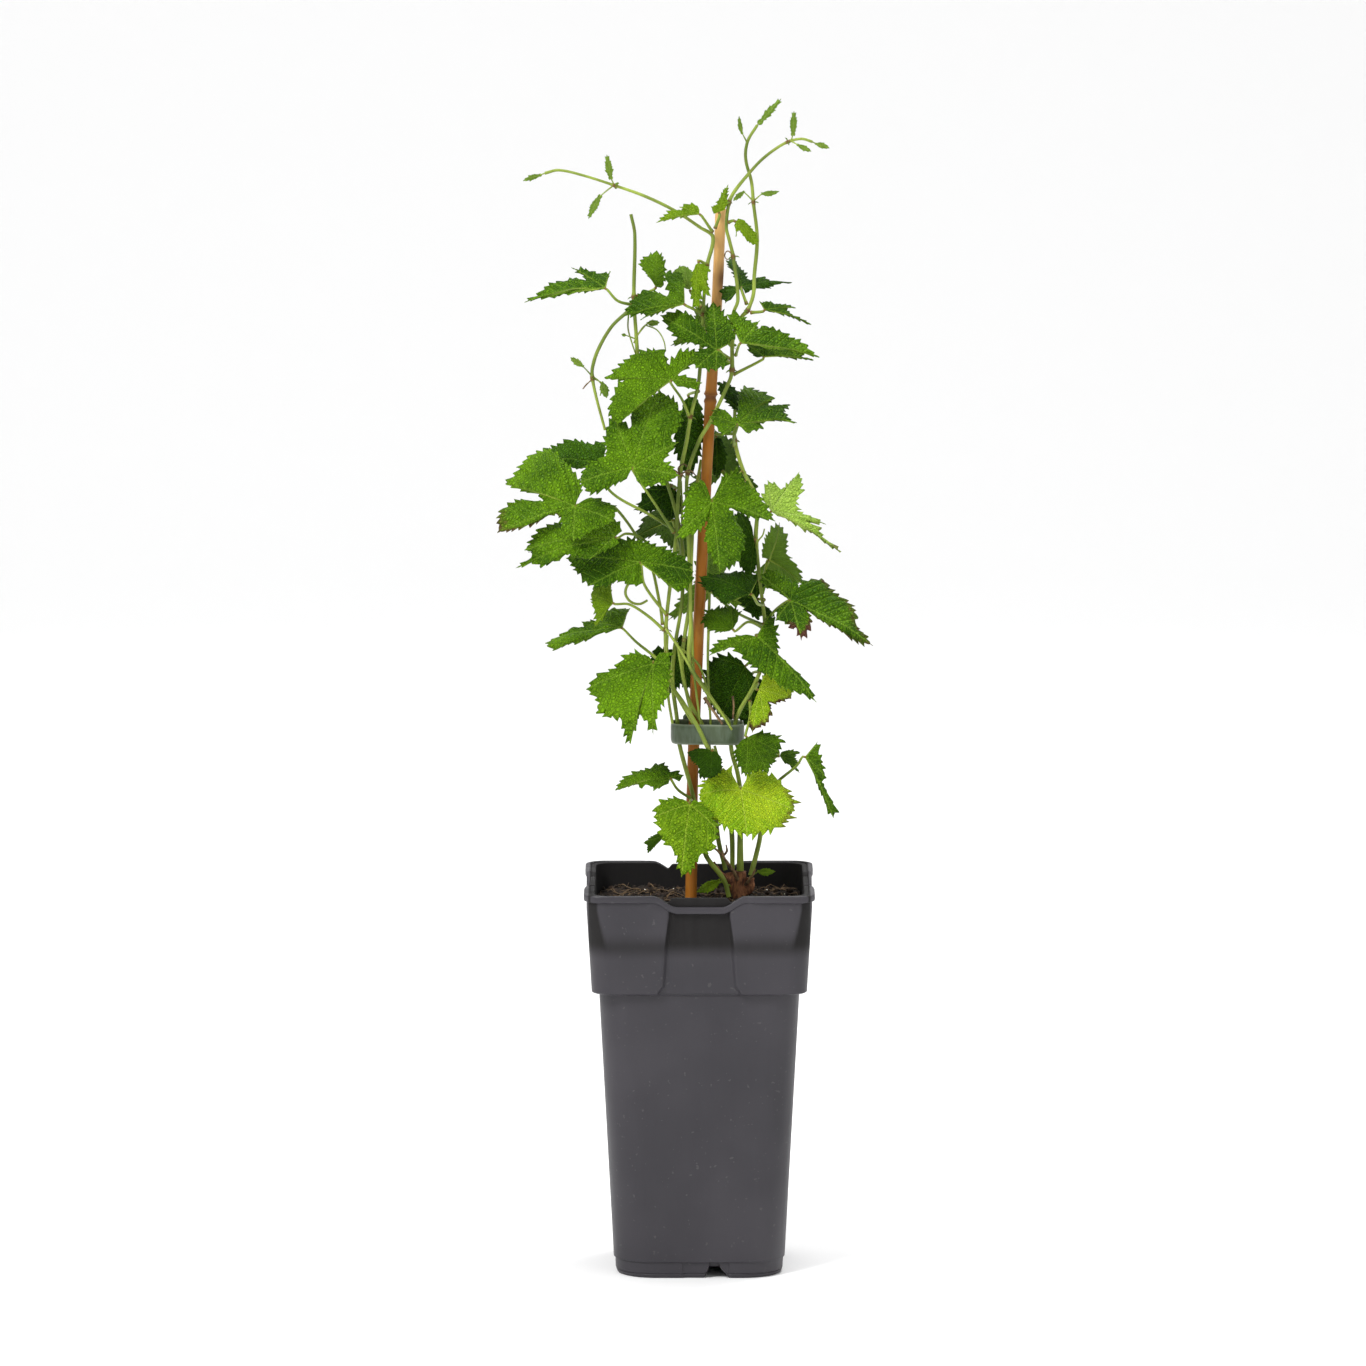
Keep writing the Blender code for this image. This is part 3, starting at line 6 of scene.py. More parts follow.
import bpy
import numpy as np
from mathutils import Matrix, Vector


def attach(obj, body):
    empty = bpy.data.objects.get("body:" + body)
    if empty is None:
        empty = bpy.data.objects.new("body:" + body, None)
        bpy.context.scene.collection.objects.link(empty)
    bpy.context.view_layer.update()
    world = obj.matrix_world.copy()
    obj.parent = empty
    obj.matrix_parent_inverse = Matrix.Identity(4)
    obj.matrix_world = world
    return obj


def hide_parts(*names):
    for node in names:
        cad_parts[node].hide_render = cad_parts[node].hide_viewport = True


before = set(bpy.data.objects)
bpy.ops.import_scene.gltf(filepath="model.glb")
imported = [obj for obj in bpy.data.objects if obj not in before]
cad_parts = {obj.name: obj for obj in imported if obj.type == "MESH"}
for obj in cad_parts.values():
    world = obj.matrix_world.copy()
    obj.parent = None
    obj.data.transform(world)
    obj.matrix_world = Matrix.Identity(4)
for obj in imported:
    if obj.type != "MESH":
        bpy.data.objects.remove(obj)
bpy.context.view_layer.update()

scene = bpy.context.scene
mm = 0.001  # metres


# Camera

view = {
    "place": (-8.5, -5000.0, 1015.0),
    "target": (-8.5, 0.0, 308.0),
    "lens": 254.74, "sensor": 36.0, "sees": 60.0,  # the last in metres
}


def addCamera():
    # the photograph's place and angle
    data = bpy.data.cameras.new("camera")
    data.sensor_width = view["sensor"]
    data.lens = view["lens"]
    data.clip_end = view["sees"]
    camera = bpy.data.objects.new("camera", data)
    scene.collection.objects.link(camera)
    camera.location = Vector(view["place"]) * mm
    look = (Vector(view["target"]) - Vector(view["place"])) * mm
    camera.rotation_euler = look.to_track_quat("-Z", "Y").to_euler()
    scene.camera = camera


addCamera()


# Meshes from whole arrays

def gridFaces(rows, columns, joined=False):
    # four-cornered faces between the rows of a grid, joined round if its last column meets the first
    i, j = np.meshgrid(np.arange(rows - 1), np.arange(columns if joined else columns - 1), indexing="ij")
    here, beside = i * columns + j, i * columns + (j + 1) % columns
    return np.stack([here, beside, beside + columns, here + columns], -1).reshape(-1, 4)


def fanFaces(ring, hub):
    # three-cornered faces from each step of a closed ring to one hub point
    return np.stack([ring, np.roll(ring, -1), np.full(len(ring), hub)], -1)


def part(points, *faceSets, slot=0, uv=None, **values):
    # a part of a piece: points, sets of faces, a material number, and values for its points
    return {"points": np.asarray(points, float), "faces": faceSets, "slot": slot, "uv": uv, "values": values}


def addPiece(name, parts, materials, nodes, valueNames=(), sharp=50, uvName=None):
    # one mesh from all its parts, with the values as attributes of its points
    points = np.concatenate([p["points"] for p in parts])
    starts = np.cumsum([0] + [len(p["points"]) for p in parts[:-1]])
    corners, sizes, slots, uvs = [], [], [], []
    for p, start in zip(parts, starts):
        for n, faces in enumerate(p["faces"]):
            corners.append((faces + start).ravel())
            sizes.append(np.full(len(faces), faces.shape[1]))
            slots.append(np.full(len(faces), p["slot"] if np.isscalar(p["slot"]) else p["slot"][n]))
            if uvName:
                uvs.append(p["uv"][n].reshape(-1, 2) if p["uv"] else np.zeros((faces.size, 2)))
    corners, sizes, slots = np.concatenate(corners), np.concatenate(sizes), np.concatenate(slots)
    mesh = bpy.data.meshes.new(name)
    mesh.vertices.add(len(points))
    mesh.vertices.foreach_set("co", (points * mm).ravel())
    mesh.loops.add(len(corners))
    mesh.loops.foreach_set("vertex_index", corners)
    mesh.polygons.add(len(sizes))
    mesh.polygons.foreach_set("loop_start", np.append(0, np.cumsum(sizes)[:-1]))
    mesh.polygons.foreach_set("material_index", slots)
    mesh.update(calc_edges=True)
    if uvName:
        mesh.uv_layers.new(name=uvName).data.foreach_set("uv", np.concatenate(uvs).ravel())
    for value in valueNames:
        whole = [np.broadcast_to(p["values"].get(value, 0.0), len(p["points"])) for p in parts]
        stored = mesh.attributes.new(value, "FLOAT", "POINT").data
        stored.foreach_set("value", np.concatenate(whole).astype(np.float32))
    for material in materials:
        mesh.materials.append(material)
    mesh.shade_smooth()
    mesh.set_sharp_from_angle(angle=math.radians(sharp))
    piece = bpy.data.objects.new(name, mesh)
    scene.collection.objects.link(piece)
    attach(piece, "root")
    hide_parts(*nodes)


def unitRows(rows):
    # each row as a direction one long
    return rows / np.linalg.norm(rows, axis=-1, keepdims=True)


def softNoise(points, size, seed):
    # random numbers from -1 to 1 on a cubic lattice of the given size, blended smoothly between its corners
    period = 32
    table = np.random.default_rng(seed).uniform(-1.0, 1.0, (period, period, period))
    place = np.asarray(points, float) / size
    cell = np.floor(place).astype(int)
    inside = place - cell
    inside = inside * inside * (3 - 2 * inside)
    total = np.zeros(place.shape[:-1])
    for corner in itertools.product((0, 1), repeat=3):
        share = np.prod(np.where(corner, inside, 1 - inside), axis=-1)
        spot = (cell + corner) % period
        total += share * table[spot[..., 0], spot[..., 1], spot[..., 2]]
    return total


def smoothStep(low, high, value):
    # smooth rise from 0 at low to 1 at high: 3t^2 - 2t^3
    t = np.clip((np.asarray(value, float) - low) / (high - low), 0.0, 1.0)
    return t * t * (3 - 2 * t)


def smoothPath(points, step):
    # curve through the points: each stretch is a cubic whose end slopes follow the neighbouring points
    knots = np.asarray(points, float)
    gap = np.linalg.norm(np.diff(knots[:, :3], axis=0), axis=1)
    run = np.append(0.0, np.cumsum(gap))
    slope = np.empty_like(knots)
    slope[1:-1] = (knots[2:] - knots[:-2]) / (run[2:] - run[:-2])[:, None]
    slope[0] = (knots[1] - knots[0]) / gap[0]
    slope[-1] = (knots[-1] - knots[-2]) / gap[-1]
    at = np.linspace(0.0, run[-1], max(int(run[-1] / step) + 2, 4))
    i = np.clip(np.searchsorted(run, at, side="right") - 1, 0, len(gap) - 1)
    t = ((at - run[i]) / gap[i])[:, None]
    g = gap[i][:, None]
    return ((2 * t ** 3 - 3 * t ** 2 + 1) * knots[i] + (t ** 3 - 2 * t ** 2 + t) * g * slope[i]
            + (3 * t ** 2 - 2 * t ** 3) * knots[i + 1] + (t ** 3 - t ** 2) * g * slope[i + 1]), at


def pathFrame(centre):
    # two directions square to the path, measured from the world axis that the path stays furthest from
    along = unitRows(np.gradient(centre, axis=0))
    axis = np.eye(3)[np.argmin(np.abs(along).max(0))]
    side = unitRows(axis - along * (along @ axis)[:, None])
    return along, side, np.cross(along, side)


tube = {"swellHalf": 1.5, "blushHalf": 1.7, "ridges": 6, "ridgeTurn": 0.12}  # turn in radians a millimetre


def tubePart(points, sides=8, step=1.5, ridge=0.0, rough=0.0, roughSize=2.0, seed=0, slot=0, swell=(),
             **values):
    # round profile carried along a smooth curve through (x, y, z, radius): radius x (1 + ridge x cos of six
    # times the turn), with a short bell-shaped swelling of the given size at some runs
    path, run = smoothPath(points, step)
    centre, radius = path[:, :3], path[:, 3].copy()
    bulge = np.zeros(len(run))
    for place, size in swell:
        bulge += np.exp(-((run - place) / tube["blushHalf"]) ** 2)
        radius += size * np.exp(-((run - place) / tube["swellHalf"]) ** 2)
    _, side, other = pathFrame(centre)
    turn = 2 * np.pi * np.arange(sides) / sides
    wave = np.cos(tube["ridges"] * turn[None] + tube["ridgeTurn"] * run[:, None])
    reach = radius[:, None] * (1 + ridge * wave)
    ring = np.cos(turn)[None, :, None] * side[:, None] + np.sin(turn)[None, :, None] * other[:, None]
    skin = centre[:, None] + reach[..., None] * ring
    if rough:
        skin = skin + (rough * softNoise(skin, roughSize, seed))[..., None] * ring
    count = skin.shape[0] * sides
    points = np.concatenate([skin.reshape(-1, 3), centre[:1], centre[-1:]])
    low, high = np.arange(sides)[::-1], np.arange(count - sides, count)
    kept = {k: np.append(np.repeat(np.broadcast_to(v, len(run)), sides), [0, 0]) for k, v in values.items()}
    kept["blush"] = np.append(np.repeat(np.clip(bulge, 0, 1), sides), [0, 0]) + kept.get("blush", 0)
    return part(points, gridFaces(len(run), sides, True), fanFaces(low, count), fanFaces(high, count + 1),
                slot=slot, **kept)


# Node materials

def addNode(tree, kind, settings=None, inputs=None):
    # one node with its settings, its inputs either values or the outputs of other nodes
    node = tree.nodes.new("ShaderNode" + kind)
    for name, value in (settings or {}).items():
        setattr(node, name, value)
    for name, value in (inputs or {}).items():
        if isinstance(value, bpy.types.NodeSocket):
            tree.links.new(value, node.inputs[name])
        else:
            node.inputs[name].default_value = value
    return node


def sums(tree, operation, a, b=0.0, c=0.0):
    # one sum in the tree, of up to three values or outputs
    return addNode(tree, "Math", {"operation": operation}, {0: a, 1: b, 2: c}).outputs[0]


def times(tree, a, b):
    # a x b
    return sums(tree, "MULTIPLY", a, b)


def plus(tree, a, b):
    # a + b
    return sums(tree, "ADD", a, b)


def minus(tree, a, b):
    # a - b
    return sums(tree, "SUBTRACT", a, b)


def between(tree, value, low, high):
    # smooth rise from 0 to 1 as the value goes from low to high
    return addNode(tree, "MapRange", {"interpolation_type": "SMOOTHSTEP"},
                   {"Value": value, "From Min": low, "From Max": high}).outputs[0]


def blend(tree, factor, a, b):
    # colour a where the factor is 0, and colour b where it is 1
    made = addNode(tree, "Mix", {"data_type": "RGBA"}, {"Factor": factor})
    for socket, value in ((made.inputs[6], a), (made.inputs[7], b)):
        if isinstance(value, bpy.types.NodeSocket):
            tree.links.new(value, socket)
        else:
            socket.default_value = (*value, 1.0)
    return made.outputs[2]


def noise(tree, where, size, detail=3.0, rough=0.55, stretch=None):
    # noise whose patches are about size millimetres across, on coordinates in metres
    if stretch:
        where = addNode(tree, "Mapping", None, {"Vector": where, "Scale": stretch}).outputs[0]
    return addNode(tree, "TexNoise", None, {"Vector": where, "Scale": 1000.0 / size, "Detail": detail,
                                            "Roughness": rough}).outputs[0]


def relief(tree, height, depth, normal=None):
    # height from 0 to 1 as a bump of the given depth in millimetres
    inputs = {"Height": height, "Distance": depth * mm, "Strength": 1.0}
    if normal:
        inputs["Normal"] = normal
    return addNode(tree, "Bump", None, inputs).outputs[0]


def newMaterial(name, roughness, specular):
    # a material's tree and shader, and the piece's own coordinates in metres
    material = bpy.data.materials.new(name)
    material.use_nodes = True
    tree = material.node_tree
    shader = tree.nodes["Principled BSDF"]
    shader.inputs["Roughness"].default_value = roughness
    shader.inputs["Specular IOR Level"].default_value = specular
    where = addNode(tree, "TexCoord").outputs["Object"]
    return material, tree, shader, where


def pointValue(tree, name):
    # a value that the piece's points carry
    return addNode(tree, "Attribute", {"attribute_name": name}).outputs["Fac"]


def wire(tree, shader, colour=None, roughness=None, normal=None):
    # outputs into the shader's colour, roughness and bump
    for socket, output in (("Base Color", colour), ("Roughness", roughness), ("Normal", normal)):
        if output is not None:
            tree.links.new(output, shader.inputs[socket])


# Pot

pot = {
    "height": 204.6, "wall": 1.8, "floor": 8.4, "underside": 6.0, "padHalf": 14.0,
    "skirtInnerHalf": 40.8, "skirtCorner": 17.8, "footTop": 8.6,
    "bodyBottomHalf": 44.8, "bodyTopHalf": 52.2, "bodyTop": 151.4,
    "bandBottom": 152.8, "bandBottomHalf": 56.0, "bandTop": 197.0, "bandTopHalf": 58.6,
    "lipInnerHalf": 57.6, "lipThick": 3.6, "lipSideInset": 0.8,
    "panelSetback": 2.3, "panelHalfTop": 16.9, "panelHalfBottom": 20.1, "fillet": 2.6,
    "dipDepth": 5.7, "dipHalf": 27.0, "labelTop": 203.4,
    "cornerFoot": 20.0, "cornerBody": 15.0, "cornerBand": 10.0,
    # rings up the foot: half width, height; shares of the band's height that have a ring
    "foot": ((42.3, 0.0), (42.9, 0.35), (43.5, 1.9), (43.3, 2.2), (43.35, 2.5), (43.75, 2.8), (44.0, 7.8),
             (44.0, 8.3)),
    "bandShares": (0.0, 0.02, 0.04, 0.06, 0.08, 0.11, 0.16, 0.25, 0.4, 0.55, 0.7, 0.85, 0.95, 1.0),
    "marks": (-10.7, -0.2, 10.8), "markHalf": 1.1, "markHeight": 1.5,
    "colour": (0.026, 0.024, 0.029), "lightColour": (0.036, 0.033, 0.039),
    # the inside colour is painted shade for the inner walls near the top
    "speckColour": (0.085, 0.080, 0.080), "insideShadeColour": (0.006, 0.005, 0.005),
}
# Columns across the middle of each side, closer together at the edges of the drain notch and its recess
midColumns = np.array([-17.5, -14.5, -11.5, -8.9, -8.4, -5.5, -2.5, 0, 1.5, 2.6, 2.8, 4.1, 5.0, 5.3, 7.8,
                       10.2, 10.4, 11.0, 12.5, 14, 15.3, 15.5, 16.2, 16.9, 17.5]) / 17.5


def potMaterial():
    # cloudy matte plastic with pale specks and streaks rubbed up and down, and painted shade near black
    # inside the top of the walls
    material, tree, shader, where = newMaterial("pot_plastic", 0.5, 0.30)
    cloud = noise(tree, where, 60, 2)
    fine = noise(tree, where, 1.4, 4, 0.7)
    speck = between(tree, noise(tree, where, 2.2, 1, 0.5), 0.70, 0.76)
    colour = blend(tree, between(tree, cloud, 0.3, 0.7), pot["colour"], pot["lightColour"])
    colour = blend(tree, times(tree, speck, 0.35), colour, pot["speckColour"])
    place = addNode(tree, "SeparateXYZ", None, {0: where}).outputs
    out = sums(tree, "MAXIMUM", sums(tree, "ABSOLUTE", place[0]), sums(tree, "ABSOLUTE", place[1]))
    # where the painted shade goes: inside the walls, from about 175 mm up
    inside = times(tree, between(tree, out, 0.0580, 0.0572), between(tree, place[2], 0.170, 0.180))
    colour = blend(tree, inside, colour, pot["insideShadeColour"])  # painted shade: the inside of the walls near the top is coloured near black, where little light reaches in
    rubbed = between(tree, noise(tree, where, 14, 5, 0.7, (1, 1, 0.12)), 0.35, 0.75)
    rough = sums(tree, "MULTIPLY_ADD", rubbed, 0.14, 0.42)
    rough = sums(tree, "MULTIPLY_ADD", inside, 0.3, rough)
    wire(tree, shader, colour, rough, relief(tree, fine, 0.05))
    return material


def dropOfLip(x):
    # depth of the dip in the lip: a smooth S from the full depth in the middle to nothing at each shoulder
    return pot["dipDepth"] * (1.0 - smoothStep(11.5, 24.5, np.abs(x)))


def tabHeight(x):
    # top of the tab behind the dip: level, and sloping down to the dipped lip at both ends
    lip = pot["height"] - dropOfLip(x)
    return lip + np.maximum(pot["labelTop"] - lip, 0) * (1.0 - smoothStep(13.8, 17.2, np.abs(x)))


def notchHeight(x):
    # outline of the drain notch in the foot
    return np.interp(x, [2.7, 5.0, 5.3, 10.2, 11.0, 15.4], [0, 6.0, 8.5, 8.5, 5.4, 0], left=0, right=0)


def sideColumns(flat, panel):
    # x along one side: out to the dip's ends, to the panel's edges, over the fillets and across the panel
    outer = min(pot["dipHalf"], 0.5 * (flat + panel) if flat < 30 else pot["dipHalf"])
    inner = panel - pot["fillet"]
    left = np.concatenate([np.linspace(-flat, -outer, 6)[:-1], np.linspace(-outer, -panel, 9)[:-1],
                           np.linspace(-panel, -inner, 8)[:-1]])
    return np.concatenate([left, midColumns * inner, -left[::-1]])


def potRow(half, corner, height, panel, setback=0.0, inset=None):
    # one ring of the pot: a rounded square, set back in its panels, its height a number or a rule of x
    flat = half - corner
    x = sideColumns(flat, panel)
    turn = np.radians(np.linspace(-135, -90, 6)[:-1])
    arc = np.stack([-flat + corner * np.cos(turn), -flat + corner * np.sin(turn)], 1)
    back = setback * (1.0 - smoothStep(panel - pot["fillet"], panel, np.abs(x)))
    if inset is not None:
        back = back + inset(x)
    side = np.concatenate([arc, np.stack([x, back - half], 1), np.stack([-arc[:0:-1, 0], arc[:0:-1, 1]], 1)])
    reach = np.concatenate([np.full(5, half), x, np.full(4, half)])
    z = height(reach) if callable(height) else np.full(len(reach), height)
    rings = []
    for _ in range(4):
        rings.append(np.column_stack([side, z]))
        side = np.stack([-side[:, 1], side[:, 0]], 1)
    return np.concatenate(rings)


def panelHalf(z):
    # half width of the side panel: a taper up the band that widens at its lower end
    t = (z - pot["bandBottom"]) / (pot["bandTop"] - pot["bandBottom"])
    low, top = pot["panelHalfBottom"], pot["panelHalfTop"]
    return low + t * (top - low) + 2.3 * (1 - smoothStep(0.0, 0.10, t))


def recess(x):
    # shallow recess in the foot round the drain notch
    return 0.55 * smoothStep(-8.9, -8.3, x) * (1 - smoothStep(15.4, 15.6, x))


def ears(x):
    # the lip stands back along the middle of each side
    return pot["lipSideInset"] * (1 - smoothStep(25, 29, np.abs(x)))


def slotHeight(x):
    # floor of the label slot, lowest behind the dip
    return pot["height"] - dropOfLip(x) - 0.2 - 1.2 * (1 - smoothStep(15, 18, np.abs(x)))


def footRows():
    # pad and skirt under the pot, then the ring of the foot and the walls up to the band
    p = pot
    low, under, skirt = p["panelHalfBottom"], p["underside"], p["skirtInnerHalf"]
    rows = [potRow(half, corner, z, 0.45 * half)
            for half, corner, z in ((p["padHalf"], 4, 0), (p["padHalf"], 4, under), (26, 10, under))]
    rows.append(potRow(skirt, p["skirtCorner"], under + 0.05, low - 0.5))
    rows.append(potRow(skirt, p["skirtCorner"], lambda x: np.minimum(notchHeight(x), under), low - 0.5))
    for i, (half, z) in enumerate(p["foot"]):
        rows.append(potRow(half, p["cornerFoot"], lambda x: np.maximum(z, notchHeight(x) + 0.012 * i),
                           low, inset=recess if i < 7 else None))
    rows.append(potRow(44.1, p["cornerFoot"], p["footTop"] + 0.05, low))
    rows.append(potRow(p["bodyBottomHalf"], p["cornerFoot"], p["footTop"] + 0.35, low))
    for t in np.linspace(0.03, 1.0, 12):
        half = p["bodyBottomHalf"] + t * (p["bodyTopHalf"] - p["bodyBottomHalf"])
        corner = p["cornerFoot"] + t * (p["cornerBody"] - p["cornerFoot"])
        z = p["footTop"] + 0.35 + t * (p["bodyTop"] - p["footTop"] - 0.35)
        rows.append(potRow(half, corner, z, low))
    return rows


def bandRows():
    # the step out under the band, then the band, whose top follows the dip in the lip
    p = pot
    mid, back, widest = p["cornerBand"], p["panelSetback"], panelHalf(p["bandBottom"])
    rows = [potRow(p["bodyTopHalf"] + 0.7, 13, p["bodyTop"] + 0.3, widest),
            potRow(p["bandBottomHalf"] - 0.5, mid, p["bandBottom"] - 0.5, widest, back)]
    for t in p["bandShares"]:
        half = p["bandBottomHalf"] + t * (p["bandTopHalf"] - p["bandBottomHalf"])
        z = p["bandBottom"] + t * (p["bandTop"] - p["bandBottom"])
        rows.append(potRow(half, mid, lambda x: z - 0.75 * t ** 6 * dropOfLip(x), panelHalf(z), back))
    return rows


def lipRows():
    # under, round and over the rolled lip, each ring a drop below its top
    p = pot
    mid, top, thick = p["cornerBand"], p["panelHalfTop"], p["lipThick"]
    rows = [potRow(p["bandTopHalf"], mid, lambda x: p["height"] - dropOfLip(x) - thick - 0.35, top,
                   p["panelSetback"])]
    for half, drop in ((59.3, thick), (59.85, thick - 0.3), (60.0, thick - 0.8), (60.0, 0.55), (59.8, 0.15),
                       (59.4, 0.0), (58.1, 0.0), (57.75, 0.12)):
        rows.append(potRow(half, mid, lambda x: p["height"] - dropOfLip(x) - drop, top, inset=ears))
    return rows


def insideRows():
    # the label slot, the tab behind it and the inside of the walls down to the floor
    p = pot
    mid, top, low = p["cornerBand"], p["panelHalfTop"], p["panelHalfBottom"]
    inset = p["panelSetback"] + p["wall"]
    inner = p["bandTopHalf"] - inset
    rows = [potRow(half, mid - 1, slotHeight, top) for half in (p["lipInnerHalf"], 57.1)]
    for half, drop in ((56.95, 0.35), (56.6, 0.0), (inner + 0.5, 0.0), (inner, 0.35)):
        rows.append(potRow(half, mid - 1.5,
                           lambda x: np.minimum(tabHeight(x), p["height"] - 0.25) - drop, top))
    for half, corner, z in ((inner - 0.2, mid, 190), (p["bandBottomHalf"] - inset, mid, 154.8)):
        rows.append(potRow(half, corner, z, top if z > 160 else low))
    for half, corner, z in ((p["bodyTopHalf"], 13, p["bodyTop"]), (p["bodyBottomHalf"], 18, p["floor"])):
        rows.append(potRow(half - p["wall"], corner, z, low))
    return rows


def makePot():
    # all rings in one closed skin, from the middle of the underside to the middle of the inner floor
    points = np.stack(footRows() + bandRows() + lipRows() + insideRows())
    count, columns = points.shape[:2]
    flat = np.concatenate([points.reshape(-1, 3), [[0, 0, 0], [0, 0, pot["floor"]]]])
    ring = np.arange(columns)
    shell = part(flat, gridFaces(count, columns, True), fanFaces(ring[::-1], count * columns),
                 fanFaces(ring + (count - 1) * columns, count * columns + 1))
    addPiece("pot_shell", [shell] + tabMarks(), [potMaterial()], ["pot"], sharp=32)


def tabMarks():
    # three small raised wedges on the front of each tab, plain moulding marks
    half, tall, face = pot["markHalf"], pot["markHeight"], 0.9 - pot["lipInnerHalf"]
    marks = []
    for turn in range(4):
        for x in pot["marks"]:
            front = np.array([[x - half, face, 0], [x + half, face, 0], [x, face, tall]])
            front[:, 2] += pot["labelTop"] - 2.0
            box = np.concatenate([front, front + (0, 0.5, 0)])
            for _ in range(turn):
                box = np.column_stack([-box[:, 1], box[:, 0], box[:, 2]])
            marks.append(part(box, np.array([[0, 1, 4, 3], [1, 2, 5, 4], [2, 0, 3, 5]]),
                              np.array([[0, 2, 1], [3, 4, 5]])))
    return marks


# Peat

soil = {
    "top": 192.4, "half": 53.3, "corner": 10.0, "depth": 42.0, "lumps": 1.5,
    "rings": 51, "sideSteps": 46, "cornerSteps": 14,
    # count, and the smallest and largest radius
    "crumbs": (620, 0.5, 1.7), "grains": (22, 0.4, 0.9),
    "fibres": 230, "fibreSteps": 9, "fibreLength": (4, 19), "fibreRadius": (0.16, 0.42),
    "dark": (0.010, 0.0075, 0.006), "brown": (0.045, 0.028, 0.018), "dry": (0.075, 0.048, 0.030),
    "fibreDark": (0.020, 0.012, 0.007), "fibreLight": (0.125, 0.080, 0.040),
    "grainDark": (0.42, 0.39, 0.33), "grainLight": (0.75, 0.73, 0.68),
}


def soilMaterials():
    # near-black peat with brown and dry patches, root fibres and white grains
    material, tree, shader, where = newMaterial("peat", 0.95, 0.2)
    coarse = noise(tree, where, 6, 5, 0.7)
    fine = noise(tree, where, 0.9, 4, 0.7)
    colour = blend(tree, between(tree, coarse, 0.42, 0.68), soil["dark"], soil["brown"])
    colour = blend(tree, between(tree, fine, 0.62, 0.75), colour, soil["dry"])
    wire(tree, shader, colour, None, relief(tree, fine, 0.7, relief(tree, coarse, 1.2)))
    fibre, tree, shader, where = newMaterial("root_fibre", 0.8, 0.3)
    patch = between(tree, noise(tree, where, 9, 3), 0.35, 0.65)
    colour = blend(tree, patch, soil["fibreDark"], soil["fibreLight"])
    wire(tree, shader, colour, None, relief(tree, noise(tree, where, 0.5), 0.1))
    grain, tree, shader, where = newMaterial("white_grain", 0.8, 0.3)
    colour = blend(tree, noise(tree, where, 1.0), soil["grainDark"], soil["grainLight"])
    wire(tree, shader, colour, None, relief(tree, noise(tree, where, 0.4), 0.1))
    return [material, fibre, grain]


def soilHeight(x, y):
    # lumps of three sizes on a level top that sinks a little at the pot's wall
    flat = np.stack([x, y, np.zeros_like(x)], -1)
    rim = np.maximum(np.abs(x), np.abs(y)) / soil["half"]
    lumps = softNoise(flat, 9.0, 3) + 0.6 * np.abs(softNoise(flat, 3.4, 4)) + 0.35 * softNoise(flat, 1.5, 5)
    return soil["top"] - 0.6 + soil["lumps"] * lumps - 2.0 * smoothStep(0.85, 1.0, rim)


def makeSoil():
    # rings of one rounded square that shrink to the middle of the top, above a wall that narrows at its foot
    half, corner, steps = soil["half"], soil["corner"], soil["sideSteps"]
    flat = half - corner
    turn = np.radians(np.linspace(-90, 0, soil["cornerSteps"])[1:-1])
    side = np.concatenate([np.stack([np.linspace(-flat, flat, steps), np.full(steps, -half)], 1),
                           np.stack([flat + corner * np.cos(turn), -flat + corner * np.sin(turn)], 1)])
    edge = []
    for _ in range(4):
        edge.append(side)
        side = np.stack([-side[:, 1], side[:, 0]], 1)
    edge = np.concatenate(edge)
    share = np.linspace(1.0, 0.0, soil["rings"] + 1)[:-1]
    xy = share[:, None, None] * edge[None]
    top = np.dstack([xy, soilHeight(xy[..., 0], xy[..., 1])])
    wall = [np.column_stack([edge * s, np.full(len(edge), soil["top"] - d)])
            for s, d in ((0.6, soil["depth"]), (0.93, soil["depth"]), (1.0, 8.0))]
    points = np.concatenate([np.stack(wall), top]).reshape(-1, 3)
    rows = len(wall) + len(share)
    hubs = [[0, 0, soil["top"] - soil["depth"]], [0, 0, float(soilHeight(np.zeros(1), np.zeros(1))[0])]]
    ring = np.arange(len(edge))
    count = rows * len(edge)
    bed = part(np.concatenate([points, hubs]), gridFaces(rows, len(edge), True), fanFaces(ring[::-1], count),
               fanFaces(ring + count - len(edge), count + 1))
    crumbs, grains = crumbsPart(*soil["crumbs"], 0, 21), crumbsPart(*soil["grains"], 2, 22)
    addPiece("peat_bed", [bed, crumbs, grains, fibresPart()], soilMaterials(), ["soil"], sharp=60)


def crumbsPart(count, small, large, slot, seed):
    # many small lumps: a twelve-cornered ball, each corner pushed in or out at random
    rng = np.random.default_rng(seed)
    g = (1 + 5 ** 0.5) / 2
    ball = unitRows(np.array([[-1, g, 0], [1, g, 0], [-1, -g, 0], [1, -g, 0], [0, -1, g], [0, 1, g],
                              [0, -1, -g], [0, 1, -g], [g, 0, -1], [g, 0, 1], [-g, 0, -1], [-g, 0, 1]]))
    faces = np.array([[0, 11, 5], [0, 5, 1], [0, 1, 7], [0, 7, 10], [0, 10, 11], [1, 5, 9], [5, 11, 4],
                      [11, 10, 2], [10, 7, 6], [7, 1, 8], [3, 9, 4], [3, 4, 2], [3, 2, 6], [3, 6, 8],
                      [3, 8, 9], [4, 9, 5], [2, 4, 11], [6, 2, 10], [8, 6, 7], [9, 8, 1]])
    room = soil["half"] - 2.5
    place = rng.uniform(-room, room, (count, 2))
    size = rng.uniform(small, large, (count, 1, 1)) * rng.uniform(0.6, 1.3, (count, 1, 3))
    lumps = ball[None] * size * rng.uniform(0.7, 1.25, (count, 12, 1))
    centre = np.column_stack([place, soilHeight(place[:, 0], place[:, 1]) + 0.35 * size[:, 0, 2]])
    every = faces[None] + 12 * np.arange(count)[:, None, None]
    return part((lumps + centre[:, None]).reshape(-1, 3), every.reshape(-1, 3), slot=slot)


